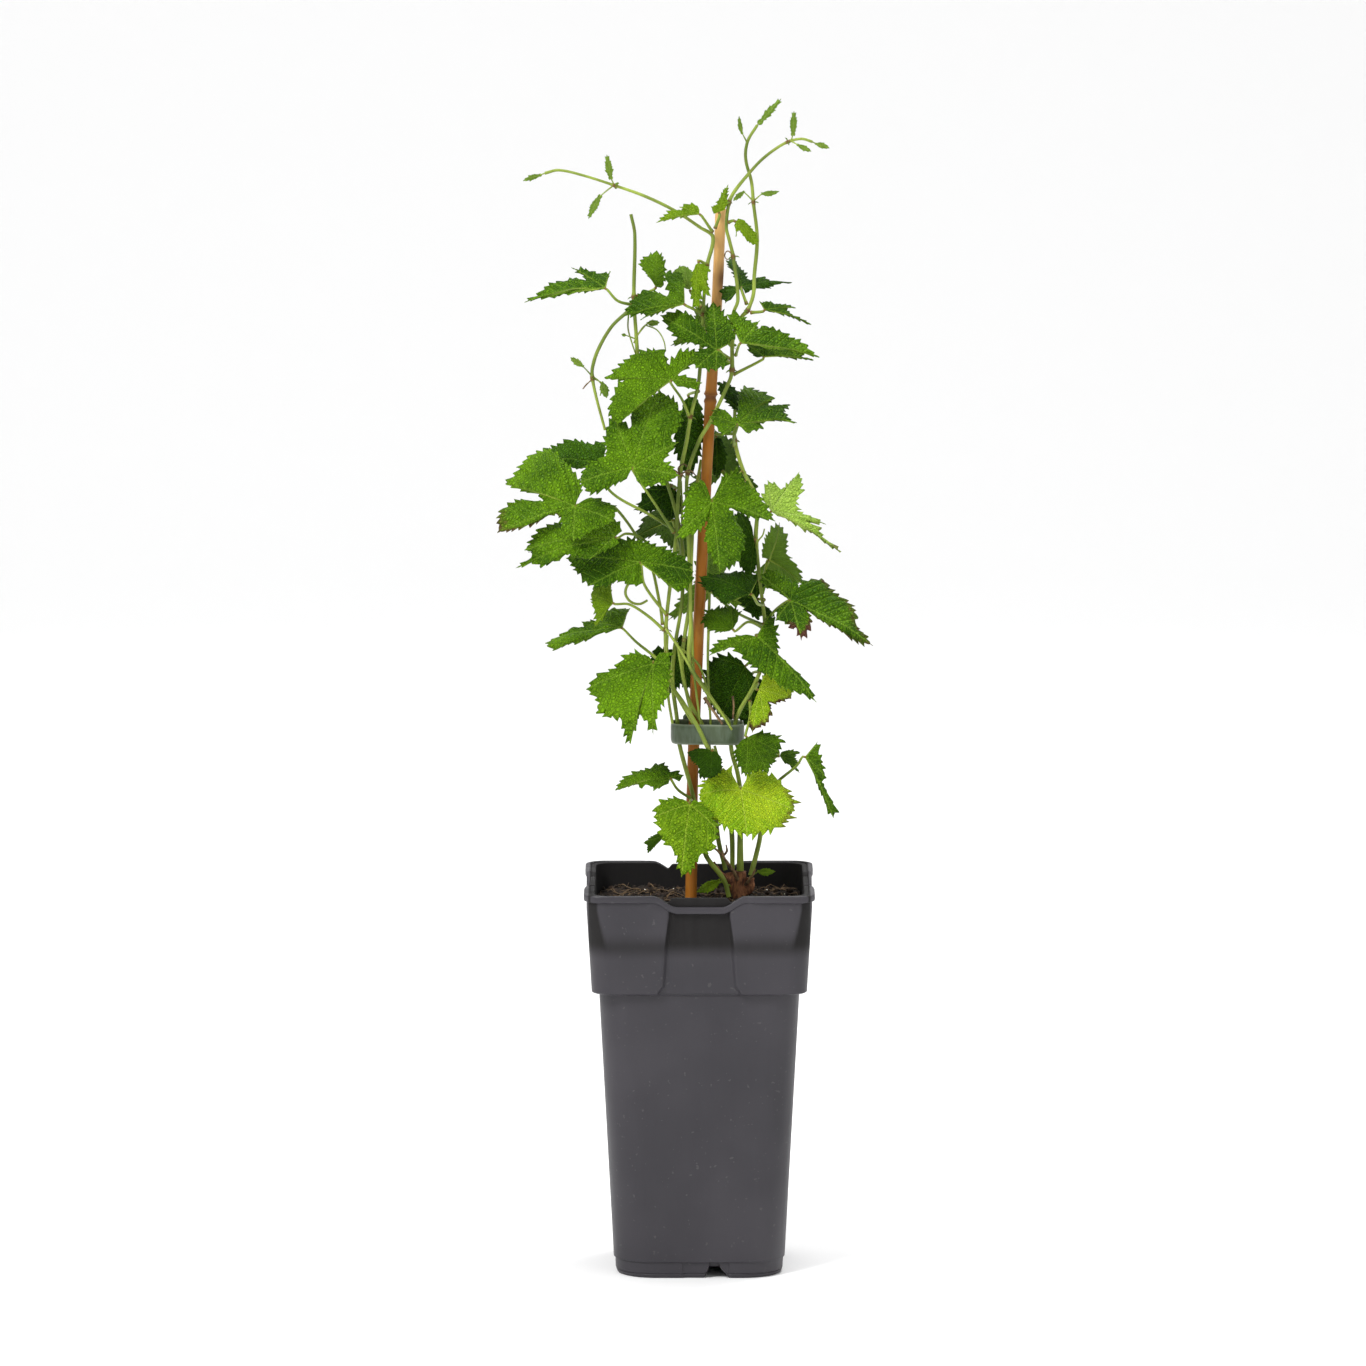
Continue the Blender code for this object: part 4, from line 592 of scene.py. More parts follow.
def fibresPart():
    # root fibres: thin four-sided tubes, each along a bent line that follows the top of the peat
    rng = np.random.default_rng(31)
    count, steps, room = soil["fibres"], soil["fibreSteps"], soil["half"] - 6
    place = rng.uniform(-room, room, (count, 2))
    heading = rng.uniform(0, 2 * np.pi, count)
    bend = rng.uniform(-2.2, 2.2, count)
    length = rng.uniform(*soil["fibreLength"], count)
    t = np.linspace(-0.5, 0.5, steps)
    turn = heading[:, None] + bend[:, None] * t[None]
    step = length[:, None] / (steps - 1)
    x = place[:, :1] + np.cumsum(np.cos(turn) * step, 1)
    y = place[:, 1:] + np.cumsum(np.sin(turn) * step, 1)
    x, y = (np.clip(c, -soil["half"] + 1.5, soil["half"] - 1.5) for c in (x, y))
    arch = rng.uniform(-0.4, 2.6, (count, 1)) * np.cos(np.pi * t)[None] ** 2
    z = soilHeight(x, y) + 0.25 + arch
    radius = rng.uniform(*soil["fibreRadius"], (count, 1, 1)) * (1.05 - 1.6 * np.abs(t)[None, :, None] ** 2)
    centre = np.stack([x, y, z], -1)
    across = np.stack([-np.sin(turn), np.cos(turn), np.zeros_like(turn)], -1)
    up = np.broadcast_to([0, 0, 1.0], across.shape)
    skin = np.stack([centre + radius * way for way in (across, up, -across, -up)], 2)
    last = 4 * steps - 1 - np.arange(4)
    one = np.concatenate([gridFaces(steps, 4, True)[:, ::-1], [[0, 1, 2, 3]], [last]])
    every = one[None] + 4 * steps * np.arange(count)[:, None, None]
    return part(skin.reshape(-1, 3), every.reshape(-1, 4)[:, ::-1], slot=1)


makePot()
makeSoil()
print("pot and peat made")


# Cane

cane = {
    "path": [(-9.7, 0.6, 58, 3.0), (-4.4, 2.0, 194, 3.0), (-3.7, 2.8, 248, 3.0), (-2.9, 3.0, 276, 3.0),
             (0.4, 4.0, 353, 2.95), (4.8, 4.8, 437, 2.9), (6.0, 5.0, 459.5, 2.9), (9.2, 5.6, 509, 2.8),
             (11.1, 6.0, 556, 2.75)],
    "sides": 24, "node": 459.5, "stain": 520.0, "stainHalf": 11.0,
    # rings round the node: place above it, half width, rise
    "rings": ((0.0, 0.7, 0.75), (-2.0, 0.8, -0.3), (-4.0, 1.0, 0.45), (0.0, 7.0, 0.12)),
    "light": (0.66, 0.40, 0.15), "dark": (0.30, 0.105, 0.011), "patch": (0.56, 0.30, 0.07),
    "grain": (0.30, 0.12, 0.035), "burn": (0.07, 0.028, 0.012), "scar": (0.13, 0.05, 0.02),
}


def caneMaterial():
    # orange below and tan above, with long grain, a burnt band and dark scars at the node
    material, tree, shader, where = newMaterial("bamboo", 0.45, 0.16)
    grain = noise(tree, where, 1.1, 4, 0.6, (1, 1, 0.035))
    patch = noise(tree, where, 16, 3, 0.6, (1, 1, 0.4))
    high = addNode(tree, "SeparateXYZ", None, {0: where}).outputs[2]
    colour = blend(tree, between(tree, high, 0.44, 0.57), cane["dark"], cane["light"])
    colour = blend(tree, times(tree, between(tree, patch, 0.5, 0.8), 0.45), colour, cane["patch"])
    colour = blend(tree, times(tree, between(tree, grain, 0.5, 0.72), 0.45), colour, cane["grain"])
    colour = blend(tree, pointValue(tree, "stain"), colour, cane["burn"])
    colour = blend(tree, times(tree, pointValue(tree, "blush"), 0.85), colour, cane["scar"])
    wire(tree, shader, colour, sums(tree, "MULTIPLY_ADD", grain, 0.2, 0.34), relief(tree, grain, 0.12))
    return material


def makeCane():
    # a round cane with one node, where bell-shaped rings rise and sink, and a hollow in its cut end
    path, _ = smoothPath(cane["path"], 1.0)
    z = path[:, 2]
    off = z - cane["node"]
    path[:, 3] += sum(rise * np.exp(-((off - place) / half) ** 2) for place, half, rise in cane["rings"])
    sides = cane["sides"]
    _, side, other = pathFrame(path[:, :3])
    turn = 2 * np.pi * np.arange(sides) / sides
    ring = np.cos(turn)[None, :, None] * side[:, None] + np.sin(turn)[None, :, None] * other[:, None]
    skin = path[:, None, :3] + path[:, 3, None, None] * ring
    skin += (0.10 * softNoise(skin * (1, 1, 0.15), 1.6, 8))[..., None] * ring
    end = path[-1, :3] + 0.72 * (skin[-1] - path[-1, :3])
    hollow = end - (0, 0, 5.0)
    points = np.concatenate([skin.reshape(-1, 3), end, hollow, path[:1, :3], hollow.mean(0)[None]])
    rows = len(path) + 2
    low = np.arange(sides)
    top = low + (rows - 1) * sides
    way = skin[..., :2] - path[:, None, :2]
    left = smoothStep(0.2, -0.8, np.cos(np.arctan2(way[..., 1], way[..., 0]) - 0.3))
    band = smoothStep(0, 1, np.clip(1 - np.abs(z - cane["stain"]) / cane["stainHalf"], 0, 1))
    stain = (band[:, None] * (0.25 + 0.75 * (1 - left)) * np.ones(sides)).ravel() * 0.85
    blush = np.repeat(np.exp(-((off + 1.5) / 2.2) ** 2), sides)
    pad = np.zeros(2 * sides + 2)
    body = part(points, gridFaces(rows, sides, True), fanFaces(low[::-1], rows * sides),
                fanFaces(top, rows * sides + 1), stain=np.append(stain, pad),
                blush=np.append(blush, pad + 0.6))
    addPiece("bamboo_cane", [body], [caneMaterial()], ["cane"], ("stain", "blush"))


# Tie

tie = {
    "centre": (4.3, 0.0), "half": (19.3, 12.0), "low": 276.6, "high": 287.6, "thick": 0.9, "steps": 96,
    "power": 0.86,  # below 1, so the runs are straighter than an ellipse's
    "tailStart": (-8.5, 10.9, 284.5), "tailRun": (8.0, -0.6, 7.5), "tailSteps": 12, "tailWidth": 9.0,
    "tailThick": 0.8, "tailSlant": 0.12,
    "colour": (0.060, 0.083, 0.042), "worn": (0.088, 0.120, 0.074), "edge": (0.17, 0.20, 0.14),
}


def tieMaterial():
    # smooth plastic with worn streaks and pale edges
    material, tree, shader, where = newMaterial("tie_plastic", 0.36, 0.32)
    streak = noise(tree, where, 3, 3, 0.6, (1, 1, 0.25))
    colour = blend(tree, between(tree, streak, 0.35, 0.7), tie["colour"], tie["worn"])
    colour = blend(tree, between(tree, pointValue(tree, "rim"), 0.75, 1.0), colour, tie["edge"])
    wire(tree, shader, colour, sums(tree, "MULTIPLY_ADD", streak, 0.2, 0.28), relief(tree, streak, 0.08))
    return material


def strapPart(centre, outward, width, thick, closed):
    # flat strap: a rounded rectangle, thick across and width tall, carried along a level path
    t = np.linspace(-1, 1, 9)
    rim = np.abs(t)
    profile = np.concatenate([np.column_stack([0.5 * thick * (1 - rim ** 6), 0.5 * width * t, rim]),
                              np.column_stack([-0.5 * thick * (1 - rim ** 6), -0.5 * width * t, rim])[1:-1]])
    up = np.array([0, 0, 1.0])
    skin = centre[:, None] + profile[None, :, :1] * outward[:, None] + profile[None, :, 1:2] * up
    rows, columns = skin.shape[:2]
    rimValue = np.tile(profile[:, 2], rows)
    points = skin.reshape(-1, 3)
    if closed:
        i = np.arange(rows * columns).reshape(rows, columns)
        j, k = np.roll(i, -1, 0), np.roll(i, -1, 1)
        return part(points, np.stack([i, j, np.roll(j, -1, 1), k], -1).reshape(-1, 4), rim=rimValue)
    points = np.concatenate([points, centre[:1], centre[-1:]])
    ring = np.arange(columns)
    end = fanFaces((ring + (rows - 1) * columns)[::-1], rows * columns + 1)
    return part(points, gridFaces(rows, columns, True)[:, ::-1], fanFaces(ring, rows * columns), end,
                rim=np.append(rimValue, [1, 1]))


def makeTie():
    # a loop whose x and y are powers of a circle's, leaning a little, and a tail that slants up behind it
    steps, half, start, run = tie["steps"], tie["half"], tie["tailStart"], tie["tailRun"]
    turn = np.linspace(0, 2 * np.pi, steps + 1)[:-1]
    across, deep = np.cos(turn), np.sin(turn)
    x = np.sign(across) * np.abs(across) ** tie["power"]
    y = np.sign(deep) * np.abs(deep) ** tie["power"]
    out = unitRows(np.stack([across / half[0], deep / half[1], np.zeros(steps)], 1))
    z = 0.5 * (tie["low"] + tie["high"]) + 0.25 * np.sin(3 * turn) - 0.2 * x
    centre = np.stack([tie["centre"][0] + (half[0] - 0.5) * x, tie["centre"][1] + (half[1] - 0.5) * y, z], 1)
    loop = strapPart(centre, out, tie["high"] - tie["low"] - 0.4, tie["thick"], True)
    s = np.linspace(0, 1, tie["tailSteps"])
    tail = np.stack([start[0] + run[0] * s, start[1] + run[1] * s ** 2, start[2] + run[2] * s], 1)
    out = np.tile([[0.05, 1.0, 0.0]], (len(s), 1))
    end = strapPart(tail, out, tie["tailWidth"], tie["tailThick"], False)
    end["points"][:, 2] += tie["tailSlant"] * (end["points"][:, 0] - start[0])
    addPiece("plant_tie", [loop, end], [tieMaterial()], ["tie"], ("rim",), sharp=70)


makeCane()
makeTie()
print("cane and tie made")


# Leaf and stem finishes

leafLooks = {
    # the first finish below is the mid finish at about 0.4 times its brightness: painted shade for leaves
    # that stand in shade
    "leaf_deep": {"dark": (0.010, 0.038, 0.001), "light": (0.052, 0.138, 0.003), "rib": (0.10, 0.20, 0.012)},
    "leaf_mid": {"dark": (0.030, 0.084, 0.002), "light": (0.150, 0.310, 0.006), "rib": (0.22, 0.38, 0.03)},
    "leaf_lime": {"dark": (0.095, 0.200, 0.004), "light": (0.300, 0.490, 0.014), "rib": (0.38, 0.54, 0.05)},
    "leaf_pale": {"dark": (0.180, 0.330, 0.034), "light": (0.350, 0.530, 0.070), "rib": (0.44, 0.60, 0.14)},
    "leaf_yellow": {"dark": (0.20, 0.40, 0.008), "light": (0.54, 0.70, 0.024), "rib": (0.62, 0.76, 0.10)},
}
leafSkin = {
    "roughness": 0.42, "specular": 0.07, "relief": 0.80, "fineRelief": 0.10,
    "veinUnits": 20.0,  # the leaf map's unit square is this many vein spacings across
    "veinSlant": 0.8, "veinOffset": 0.45, "cells": 2.6,
    "ribShare": 0.50, "ribShareUnder": 0.75, "netShare": 0.35, "underTint": (0.15, 0.24, 0.05),
    "tipShare": 0.25, "tipRed": (0.03, 0.008, 0.004), "dried": (0.085, 0.035, 0.020),
}


def leafMaterial(name, look, under):
    # side veins run forward from each rib at whole numbers of (along - slant x across), with cells of finer
    # veins between them; the underside is paler and its veins stand proud
    skin = leafSkin
    material, tree, shader, where = newMaterial(name, 0.50, skin["specular"])
    uv = addNode(tree, "UVMap", {"uv_map": "leafMap"}).outputs[0]
    split = addNode(tree, "SeparateXYZ", None, {0: uv})
    along = times(tree, split.outputs[0], skin["veinUnits"])
    across = times(tree, minus(tree, split.outputs[1], 0.5), skin["veinUnits"])
    away = sums(tree, "ABSOLUTE", across)
    side = times(tree, sums(tree, "GREATER_THAN", across, 0.0), skin["veinOffset"])
    wave = times(tree, minus(tree, noise(tree, where, 7, 2), 0.5), 0.5)
    lead = sums(tree, "MULTIPLY_ADD", away, -skin["veinSlant"], along)
    lead = plus(tree, plus(tree, lead, side), wave)
    fromVein = sums(tree, "ABSOLUTE", minus(tree, sums(tree, "FRACT", lead), 0.5))
    rib = between(tree, away, 0.16, 0.03)
    vein = sums(tree, "MAXIMUM", rib, times(tree, between(tree, fromVein, 0.40, 0.49), 0.75))
    cells = addNode(tree, "TexVoronoi", {"feature": "DISTANCE_TO_EDGE"},
                    {"Vector": uv, "Scale": skin["veinUnits"] * skin["cells"]}).outputs[0]
    netting = between(tree, cells, 0.10, 0.01)
    pillow = times(tree, between(tree, fromVein, 0.5, 0.15), between(tree, cells, 0.0, 0.35))

    # light and dark patches, by the leaf's own tone, with the pillows between the veins painted lighter:
    # painted light and shade of the quilted surface
    patch, fleck = noise(tree, where, 22, 3, 0.55), noise(tree, where, 2.4, 3, 0.65)
    mix = sums(tree, "MULTIPLY_ADD", between(tree, patch, 0.32, 0.68), 0.55,
               times(tree, between(tree, fleck, 0.3, 0.7), 0.30))
    mix = plus(tree, mix, times(tree, minus(tree, pointValue(tree, "tone"), 0.5), 0.5))
    # painted light and shade: raised pillows lighter, the hollows by the veins darker
    mix = plus(tree, mix, times(tree, minus(tree, pillow, 0.4), 0.35))
    mix = sums(tree, "MINIMUM", sums(tree, "MAXIMUM", mix, 0.0), 1.0)
    colour = blend(tree, mix, look["dark"], look["light"])
    if under:
        colour = blend(tree, 0.35, colour, skin["underTint"])
    share = skin["ribShareUnder" if under else "ribShare"]
    colour = blend(tree, times(tree, vein, share), colour, look["rib"])
    # on the top side the sunk netting of fine veins is painted dark, painted shade in the grooves; below it
    # takes the pale rib colour
    colour = blend(tree, times(tree, netting, skin["netShare"]), colour, look["rib" if under else "dark"])

    # reddish teeth, and brown where a lobe has dried
    tips = times(tree, between(tree, pointValue(tree, "edge"), 0.975, 1.0), skin["tipShare"])
    red = tuple(0.45 * dark + more for dark, more in zip(look["dark"], skin["tipRed"]))
    colour = blend(tree, tips, colour, red)
    dry = pointValue(tree, "dry")
    ragged = plus(tree, dry, times(tree, minus(tree, fleck, 0.5), 0.5))
    ragged = times(tree, ragged, between(tree, dry, 0.02, 0.15))
    colour = blend(tree, between(tree, ragged, 0.30, 0.60), colour, skin["dried"])

    height = minus(tree, pillow, times(tree, vein, -0.9 if under else 0.7))
    height = minus(tree, height, times(tree, netting, -0.3 if under else 0.3))
    fine = relief(tree, noise(tree, where, 0.6, 3), skin["fineRelief"])
    rough = sums(tree, "MULTIPLY_ADD", fleck, 0.16, skin["roughness"])
    wire(tree, shader, colour, rough, relief(tree, height, skin["relief"], fine))
    return material


def stemMaterial(name, pale, deep, red):
    # streaked green with red flecks, redder at the nodes, and finely hairy
    material, tree, shader, where = newMaterial(name, 0.5, 0.25)
    streak = noise(tree, where, 1.6, 3, 0.6, (1, 1, 0.15))
    patch = noise(tree, where, 26, 2)
    colour = blend(tree, between(tree, patch, 0.35, 0.65), pale, deep)
    colour = blend(tree, times(tree, between(tree, streak, 0.5, 0.75), 0.35), colour, red)
    blush = sums(tree, "MULTIPLY_ADD", minus(tree, streak, 0.5), 0.5, pointValue(tree, "blush"))
    colour = blend(tree, between(tree, blush, 0.35, 0.95), colour, red)
    hairs = noise(tree, where, 0.45, 2)
    wire(tree, shader, colour, None, relief(tree, hairs, 0.12, relief(tree, streak, 0.15)))
    return material


def barkMaterial(name, light, dark):
    # long dry flakes
    material, tree, shader, where = newMaterial(name, 0.85, 0.25)
    flake = noise(tree, where, 2.2, 5, 0.7, (1, 1, 0.4))
    colour = blend(tree, between(tree, flake, 0.35, 0.65), dark, light)
    wire(tree, shader, colour, None, relief(tree, flake, 0.6))
    return material


leafTops = {name: leafMaterial(name + "_top", look, False) for name, look in leafLooks.items()}
leafUnders = {name: leafMaterial(name + "_under", look, True) for name, look in leafLooks.items()}
stalkFinish = stemMaterial("leaf_stalk", (0.24, 0.32, 0.035), (0.11, 0.17, 0.018), (0.14, 0.075, 0.015))
bineFinish = stemMaterial("bine_green", (0.27, 0.35, 0.050), (0.105, 0.155, 0.018), (0.13, 0.065, 0.018))
deadFinish = barkMaterial("dead_bit", (0.26, 0.17, 0.08), (0.035, 0.018, 0.012))
barkFinish = barkMaterial("crown_bark", (0.30, 0.13, 0.06), (0.065, 0.024, 0.014))
leafValues = ("edge", "tone", "dry", "blush")


# Leaf blades

blade = {
    "neckAngle": math.radians(20), "bend": 0.12, "fold": 0.12, "thick": 0.36, "stalkRadius": 0.72,
    "toothSpacing": 0.130, "toothDepth": 0.088, "veinSpacing": 0.115,  # shares of the blade's reach
    "spacingRange": (1.7, 4.2), "depthRange": (0.7, 2.5), "veinRange": (1.2, 5.0),
    "edgeStep": 0.6, "ringStep": 1.6, "edgeRange": (60, 640), "ringRange": (6, 34),
    "smallReach": 18.0, "smallEdge": 0.055, "smallRing": 0.11,  # small blades: steps as shares of the reach
    "ruffle": 0.7, "dome": 0.8, "waveReach": 36.0, "pleat": 0.17, "groove": 0.3,
}


def lobeRadius(angle, length, halfWidth):
    # reach of one pointed lobe at an angle from its own axis, where the half width at a share s of the
    # length goes as s to the power 0.72 times (1 - s) to the power 0.92
    share = np.linspace(0.0005, 0.9999, 160)
    width = halfWidth * 2.35 * share ** 0.72 * (1.0 - share) ** 0.92
    lobeAngle = np.arctan2(width, share * length)
    return np.interp(np.abs(angle), lobeAngle[::-1], np.hypot(width, share * length)[::-1], right=0.0)


def freeTurns(turns):
    # angles that always rise and leave the neck free at both ends
    room = 1e-4 * np.arange(len(turns))
    for _ in range(2):
        turns = np.maximum.accumulate(np.maximum(turns, blade["neckAngle"]) - room) + room
        turns = 2 * np.pi - turns[::-1]
    return turns


def drawnOutline(joint, facing, margin):
    # each drawn point lies where its line of sight meets the blade, which sinks below its plane with the
    # square of the distance from the joint; a smooth curve runs through each stretch, and tips stay sharp
    joint, up = np.array(joint, float), unitRows(np.array(facing, float))
    sight = unitRows(np.array(view["place"]) - joint)
    right = unitRows(np.cross((0, 0, 1), sight))
    drawn = np.array([p for stretch in margin for p in stretch], float)
    drawn = drawn[:, :1] * right + drawn[:, 1:] * np.cross(sight, right)
    away = np.linalg.norm(drawn - np.outer(drawn @ up / (sight @ up), sight), axis=1)
    sunk = blade["bend"] * away ** 2 / away.max()
    points = drawn - np.outer((drawn @ up + sunk) / (sight @ up), sight)
    ends = np.cumsum([len(stretch) for stretch in margin])
    pieces = [smoothPath(points[max(end - len(stretch) - 1, 0):end], 0.7)[0]
              for end, stretch in zip(ends, margin)]
    tips = np.cumsum([len(piece) for piece in pieces])[:-1] - 1
    points = np.concatenate(pieces)
    ahead = unitRows(np.cross(up, (0.3, 0.2, 0.9)))
    left = np.cross(up, ahead)
    turns = np.unwrap(np.arctan2(points @ left, points @ ahead))
    if turns[-1] < turns[0]:
        turns, points, tips = turns[::-1], points[::-1], len(points) - 1 - tips
    neck = 0.5 * (turns[0] + turns[-1]) + np.pi
    xWay = math.cos(neck) * ahead + math.sin(neck) * left
    return {"up": up, "x": xWay, "y": np.cross(up, xWay), "turn": freeTurns(turns - neck + 2 * np.pi),
            "reach": np.hypot(points @ ahead, points @ left), "height": points @ up, "tips": tips}


def pointedOutline(joint, facing, tip, halfWidth):
    # outline of a young blade with one pointed lobe, opposite the neck
    up = unitRows(np.array(facing, float))
    way = np.array(tip, float) - joint
    flat = way - up * (way @ up)
    turn = np.linspace(blade["neckAngle"], 2 * np.pi - blade["neckAngle"], 81)
    far = np.linalg.norm(flat)
    reach = (lobeRadius(turn - np.pi, far, halfWidth) ** 7 + (0.1 * far) ** 7) ** (1 / 7)
    return {"up": up, "x": -flat / far, "y": np.cross(up, -flat / far), "turn": turn, "reach": reach,
            "height": (way @ up) * (reach / far) ** 2, "tips": np.array([40])}


def toothed(turn, radius, run, tipRuns, reach, rng):
    # how far the outline moves out and forward into teeth: each rises slowly as the 1.2th power of its run
    # towards the lobe's tip, and falls off sharply
    spacing = np.clip(blade["toothSpacing"] * reach, *blade["spacingRange"])
    depth = np.clip(blade["toothDepth"] * reach, *blade["depthRange"])
    line = np.stack([radius * np.cos(turn), radius * np.sin(turn)], 1)
    tangent = unitRows(np.gradient(line, axis=0))
    normal = np.stack([tangent[:, 1], -tangent[:, 0]], 1)
    nearest = np.abs(run[:, None] - tipRuns[None]).argmin(1)
    toTip = np.abs(run - tipRuns[nearest])
    warped = toTip / spacing + 0.22 * np.sin(toTip / spacing * 1.7 + 3 * nearest)
    rise = 1.0 - warped % 1.0
    size = 0.55 + 0.65 * rng.random(80)[(warped.astype(int) + 13 * nearest) % 80]
    height = np.where(rise < 0.8, (rise / 0.8) ** 1.2, (1 - rise) / 0.2) * size
    ends = np.minimum(run, run[-1] - run)
    height *= smoothStep(0.15 * spacing, 1.2 * spacing, toTip) * smoothStep(1.0, 6.0, ends)
    towards = np.sign(tipRuns[nearest] - run)
    fade = smoothStep(0.0, 2.0, toTip) * smoothStep(1.0, 6.0, ends)
    out = (depth * (height - 0.35 * fade))[:, None] * normal
    return line, out + (0.5 * depth * towards * height)[:, None] * tangent


def bladeHeight(outline, rng, xy, at, turn, radius, level, tipRuns, spacing, droop):
    # height above the leaf's plane: the outline's own bend, a rise halfway out, a fold along each lobe's
    # axis, ruffles near the margin, broad domes, pleats between the side veins and a groove over each rib
    out = level[:, None]
    away = np.hypot(xy[..., 0], xy[..., 1])
    angle = np.arctan2(xy[..., 1], xy[..., 0]) % (2 * np.pi)
    spin = (angle[..., None] - outline["turn"][outline["tips"]] + np.pi) % (2 * np.pi) - np.pi
    own = np.take_along_axis(spin, np.abs(spin).argmin(-1)[..., None], -1)[..., 0]
    along, across = away * np.cos(own), away * np.sin(own)
    height = np.interp(turn, outline["turn"], outline["height"])[None] * out ** 2
    height += droop * radius[None] * np.sin(np.pi * out)
    height += blade["fold"] * away * np.sin(np.minimum(np.abs(own), 1.2)) * (1 - 0.6 * out ** 4)
    phase = rng.uniform(0, 2 * np.pi, 6)
    swing = outline["reach"].max() / blade["waveReach"]
    ruffle = np.sin(at / (2.4 + 1.2 * rng.random()) + phase[0])[None]
    fromNeck = smoothStep(0, 6, np.minimum(at, at[-1] - at))[None]
    fromTips = smoothStep(0, 6, np.abs(at[:, None] - tipRuns).min(1))[None]
    height += blade["ruffle"] * swing * out ** 4 * ruffle * fromNeck * fromTips
    domes = np.sin(xy[..., 0] / 7.5 + phase[1]) * np.sin(xy[..., 1] / 6.5 + phase[2])
    height += blade["dome"] * swing * domes * smoothStep(2, 14, away) * (1 - 0.7 * out ** 6)
    lead = (along - leafSkin["veinSlant"] * np.abs(across)) / spacing + leafSkin["veinOffset"] * (across > 0)
    cell = np.abs(np.sin(np.pi * lead)) ** 0.7 - 0.5
    fromRib = smoothStep(0.2, 1.4, np.abs(across) / spacing)
    height += blade["pleat"] * spacing * cell * fromRib * (1 - out ** 10)
    height -= blade["groove"] * np.exp(-(across / 0.7) ** 2) * smoothStep(0, 6, away) * (1 - out)
    return height


def veinMap(corners, tipTurns, unit):
    # where each face's corners lie along and across the lobe that the face belongs to
    middle = corners.mean(1)
    heading = np.arctan2(middle[:, 1], middle[:, 0])[:, None]
    lobe = np.abs((heading - tipTurns + np.pi) % (2 * np.pi) - np.pi).argmin(1)
    c, s = np.cos(tipTurns[lobe])[:, None], np.sin(tipTurns[lobe])[:, None]
    u = corners[..., 0] * c + corners[..., 1] * s
    v = corners[..., 1] * c - corners[..., 0] * s
    return np.stack([u / unit, v / unit + 0.5], -1)


def bladeParts(joint, outline, seed, slots=(0, 1, 2), dry=(), tone=None, droop=0.045, teeth=1.0):
    # blade as a thin closed shell over rays from the joint, with ribs below it
    rng = np.random.default_rng(seed)
    joint = np.array(joint, float)
    up, reach = outline["up"], outline["reach"].max()
    fine = np.linspace(outline["turn"][0], outline["turn"][-1], 2600)
    length = np.interp(fine, outline["turn"], outline["reach"])
    flat = np.stack([length * np.cos(fine), length * np.sin(fine)], 1)
    run = np.append(0.0, np.cumsum(np.linalg.norm(np.diff(flat, axis=0), axis=1)))
    tipTurns = outline["turn"][outline["tips"]]
    tipRuns = np.interp(tipTurns, fine, run)
    edgeStep, ringStep = blade["edgeStep"], blade["ringStep"]
    if reach < blade["smallReach"]:
        edgeStep, ringStep = blade["smallEdge"] * reach, blade["smallRing"] * reach
    count = int(np.clip(run[-1] / edgeStep, *blade["edgeRange"]))
    at = np.sort(np.append(np.linspace(0, run[-1], count), tipRuns))
    turn, radius = np.interp(at, run, fine), np.interp(at, run, length)
    line, cut = toothed(turn, radius, at, tipRuns, reach, rng)
    rings, columns = int(np.clip(reach / ringStep, *blade["ringRange"])), len(at)
    level = 1 - (1 - np.linspace(0, 1, rings + 1)[1:]) ** 1.15
    xy = level[:, None, None] * line[None] + (level ** 9)[:, None, None] * (teeth * cut[None])
    spacing = np.clip(blade["veinSpacing"] * reach, *blade["veinRange"])
    height = bladeHeight(outline, rng, xy, at, turn, radius, level, tipRuns, spacing, droop)

    surface = joint + xy[..., :1] * outline["x"] + xy[..., 1:] * outline["y"] + height[..., None] * up
    top = np.concatenate([surface.reshape(-1, 3), joint[None]])
    half = 0.5 * blade["thick"] * min(1.0, reach / 25) * up
    hub, below = rings * columns, rings * columns + 1
    quads, ray = gridFaces(rings, columns), np.arange(columns)
    fan = np.stack([ray[:-1], ray[1:], np.full(columns - 1, hub)], -1)
    border = np.concatenate([[hub], np.arange(rings) * columns, (rings - 1) * columns + ray[1:],
                             (np.arange(rings - 1) * columns + columns - 1)[::-1]])
    after = np.roll(border, -1)
    rim = np.stack([border, border + below, after + below, after], -1)
    faces = (quads[:, ::-1], fan, quads + below, fan[:, ::-1] + below, rim)

    share = np.exp(-((turn[:, None] - tipTurns) / 0.4) ** 2) + 1e-6
    share = share / share.sum(-1, keepdims=True)
    dryLobes = np.array([dict(dry).get(lobe, 0.0) for lobe in range(len(tipTurns))])
    outer = smoothStep(0.62, 1.0, np.broadcast_to(level[:, None], height.shape))
    dryness = np.tile(np.append(((share * dryLobes).sum(-1)[None] * outer).ravel(), 0), 2)
    edge = np.tile(np.append(np.repeat(level, columns), 0), 2)
    tone = rng.random() if tone is None else tone
    corners, unit = np.append(xy.reshape(-1, 2), [[0, 0]], 0), spacing * leafSkin["veinUnits"]
    shell = part(np.concatenate([top + half, top - half]), *faces,
                 slot=(slots[0], slots[0], slots[1], slots[1], slots[0]),
                 uv=[veinMap(corners[f % below], tipTurns, unit) for f in faces],
                 edge=edge, tone=tone, dry=dryness)
    ribs = []
    for tipTurn in tipTurns:
        column = np.abs(turn - tipTurn).argmin()
        stretch = np.append(joint[None], surface[:, column], 0)[:int(rings * 0.9)] - 1.6 * half
        thin = np.linspace(0.46, 0.10, len(stretch)) * np.clip(reach / 34, 0.35, 1.1)
        ribs.append(tubePart(np.column_stack([stretch, thin]), 6, 2.0, slot=slots[2], tone=tone))
    return [shell] + ribs, joint


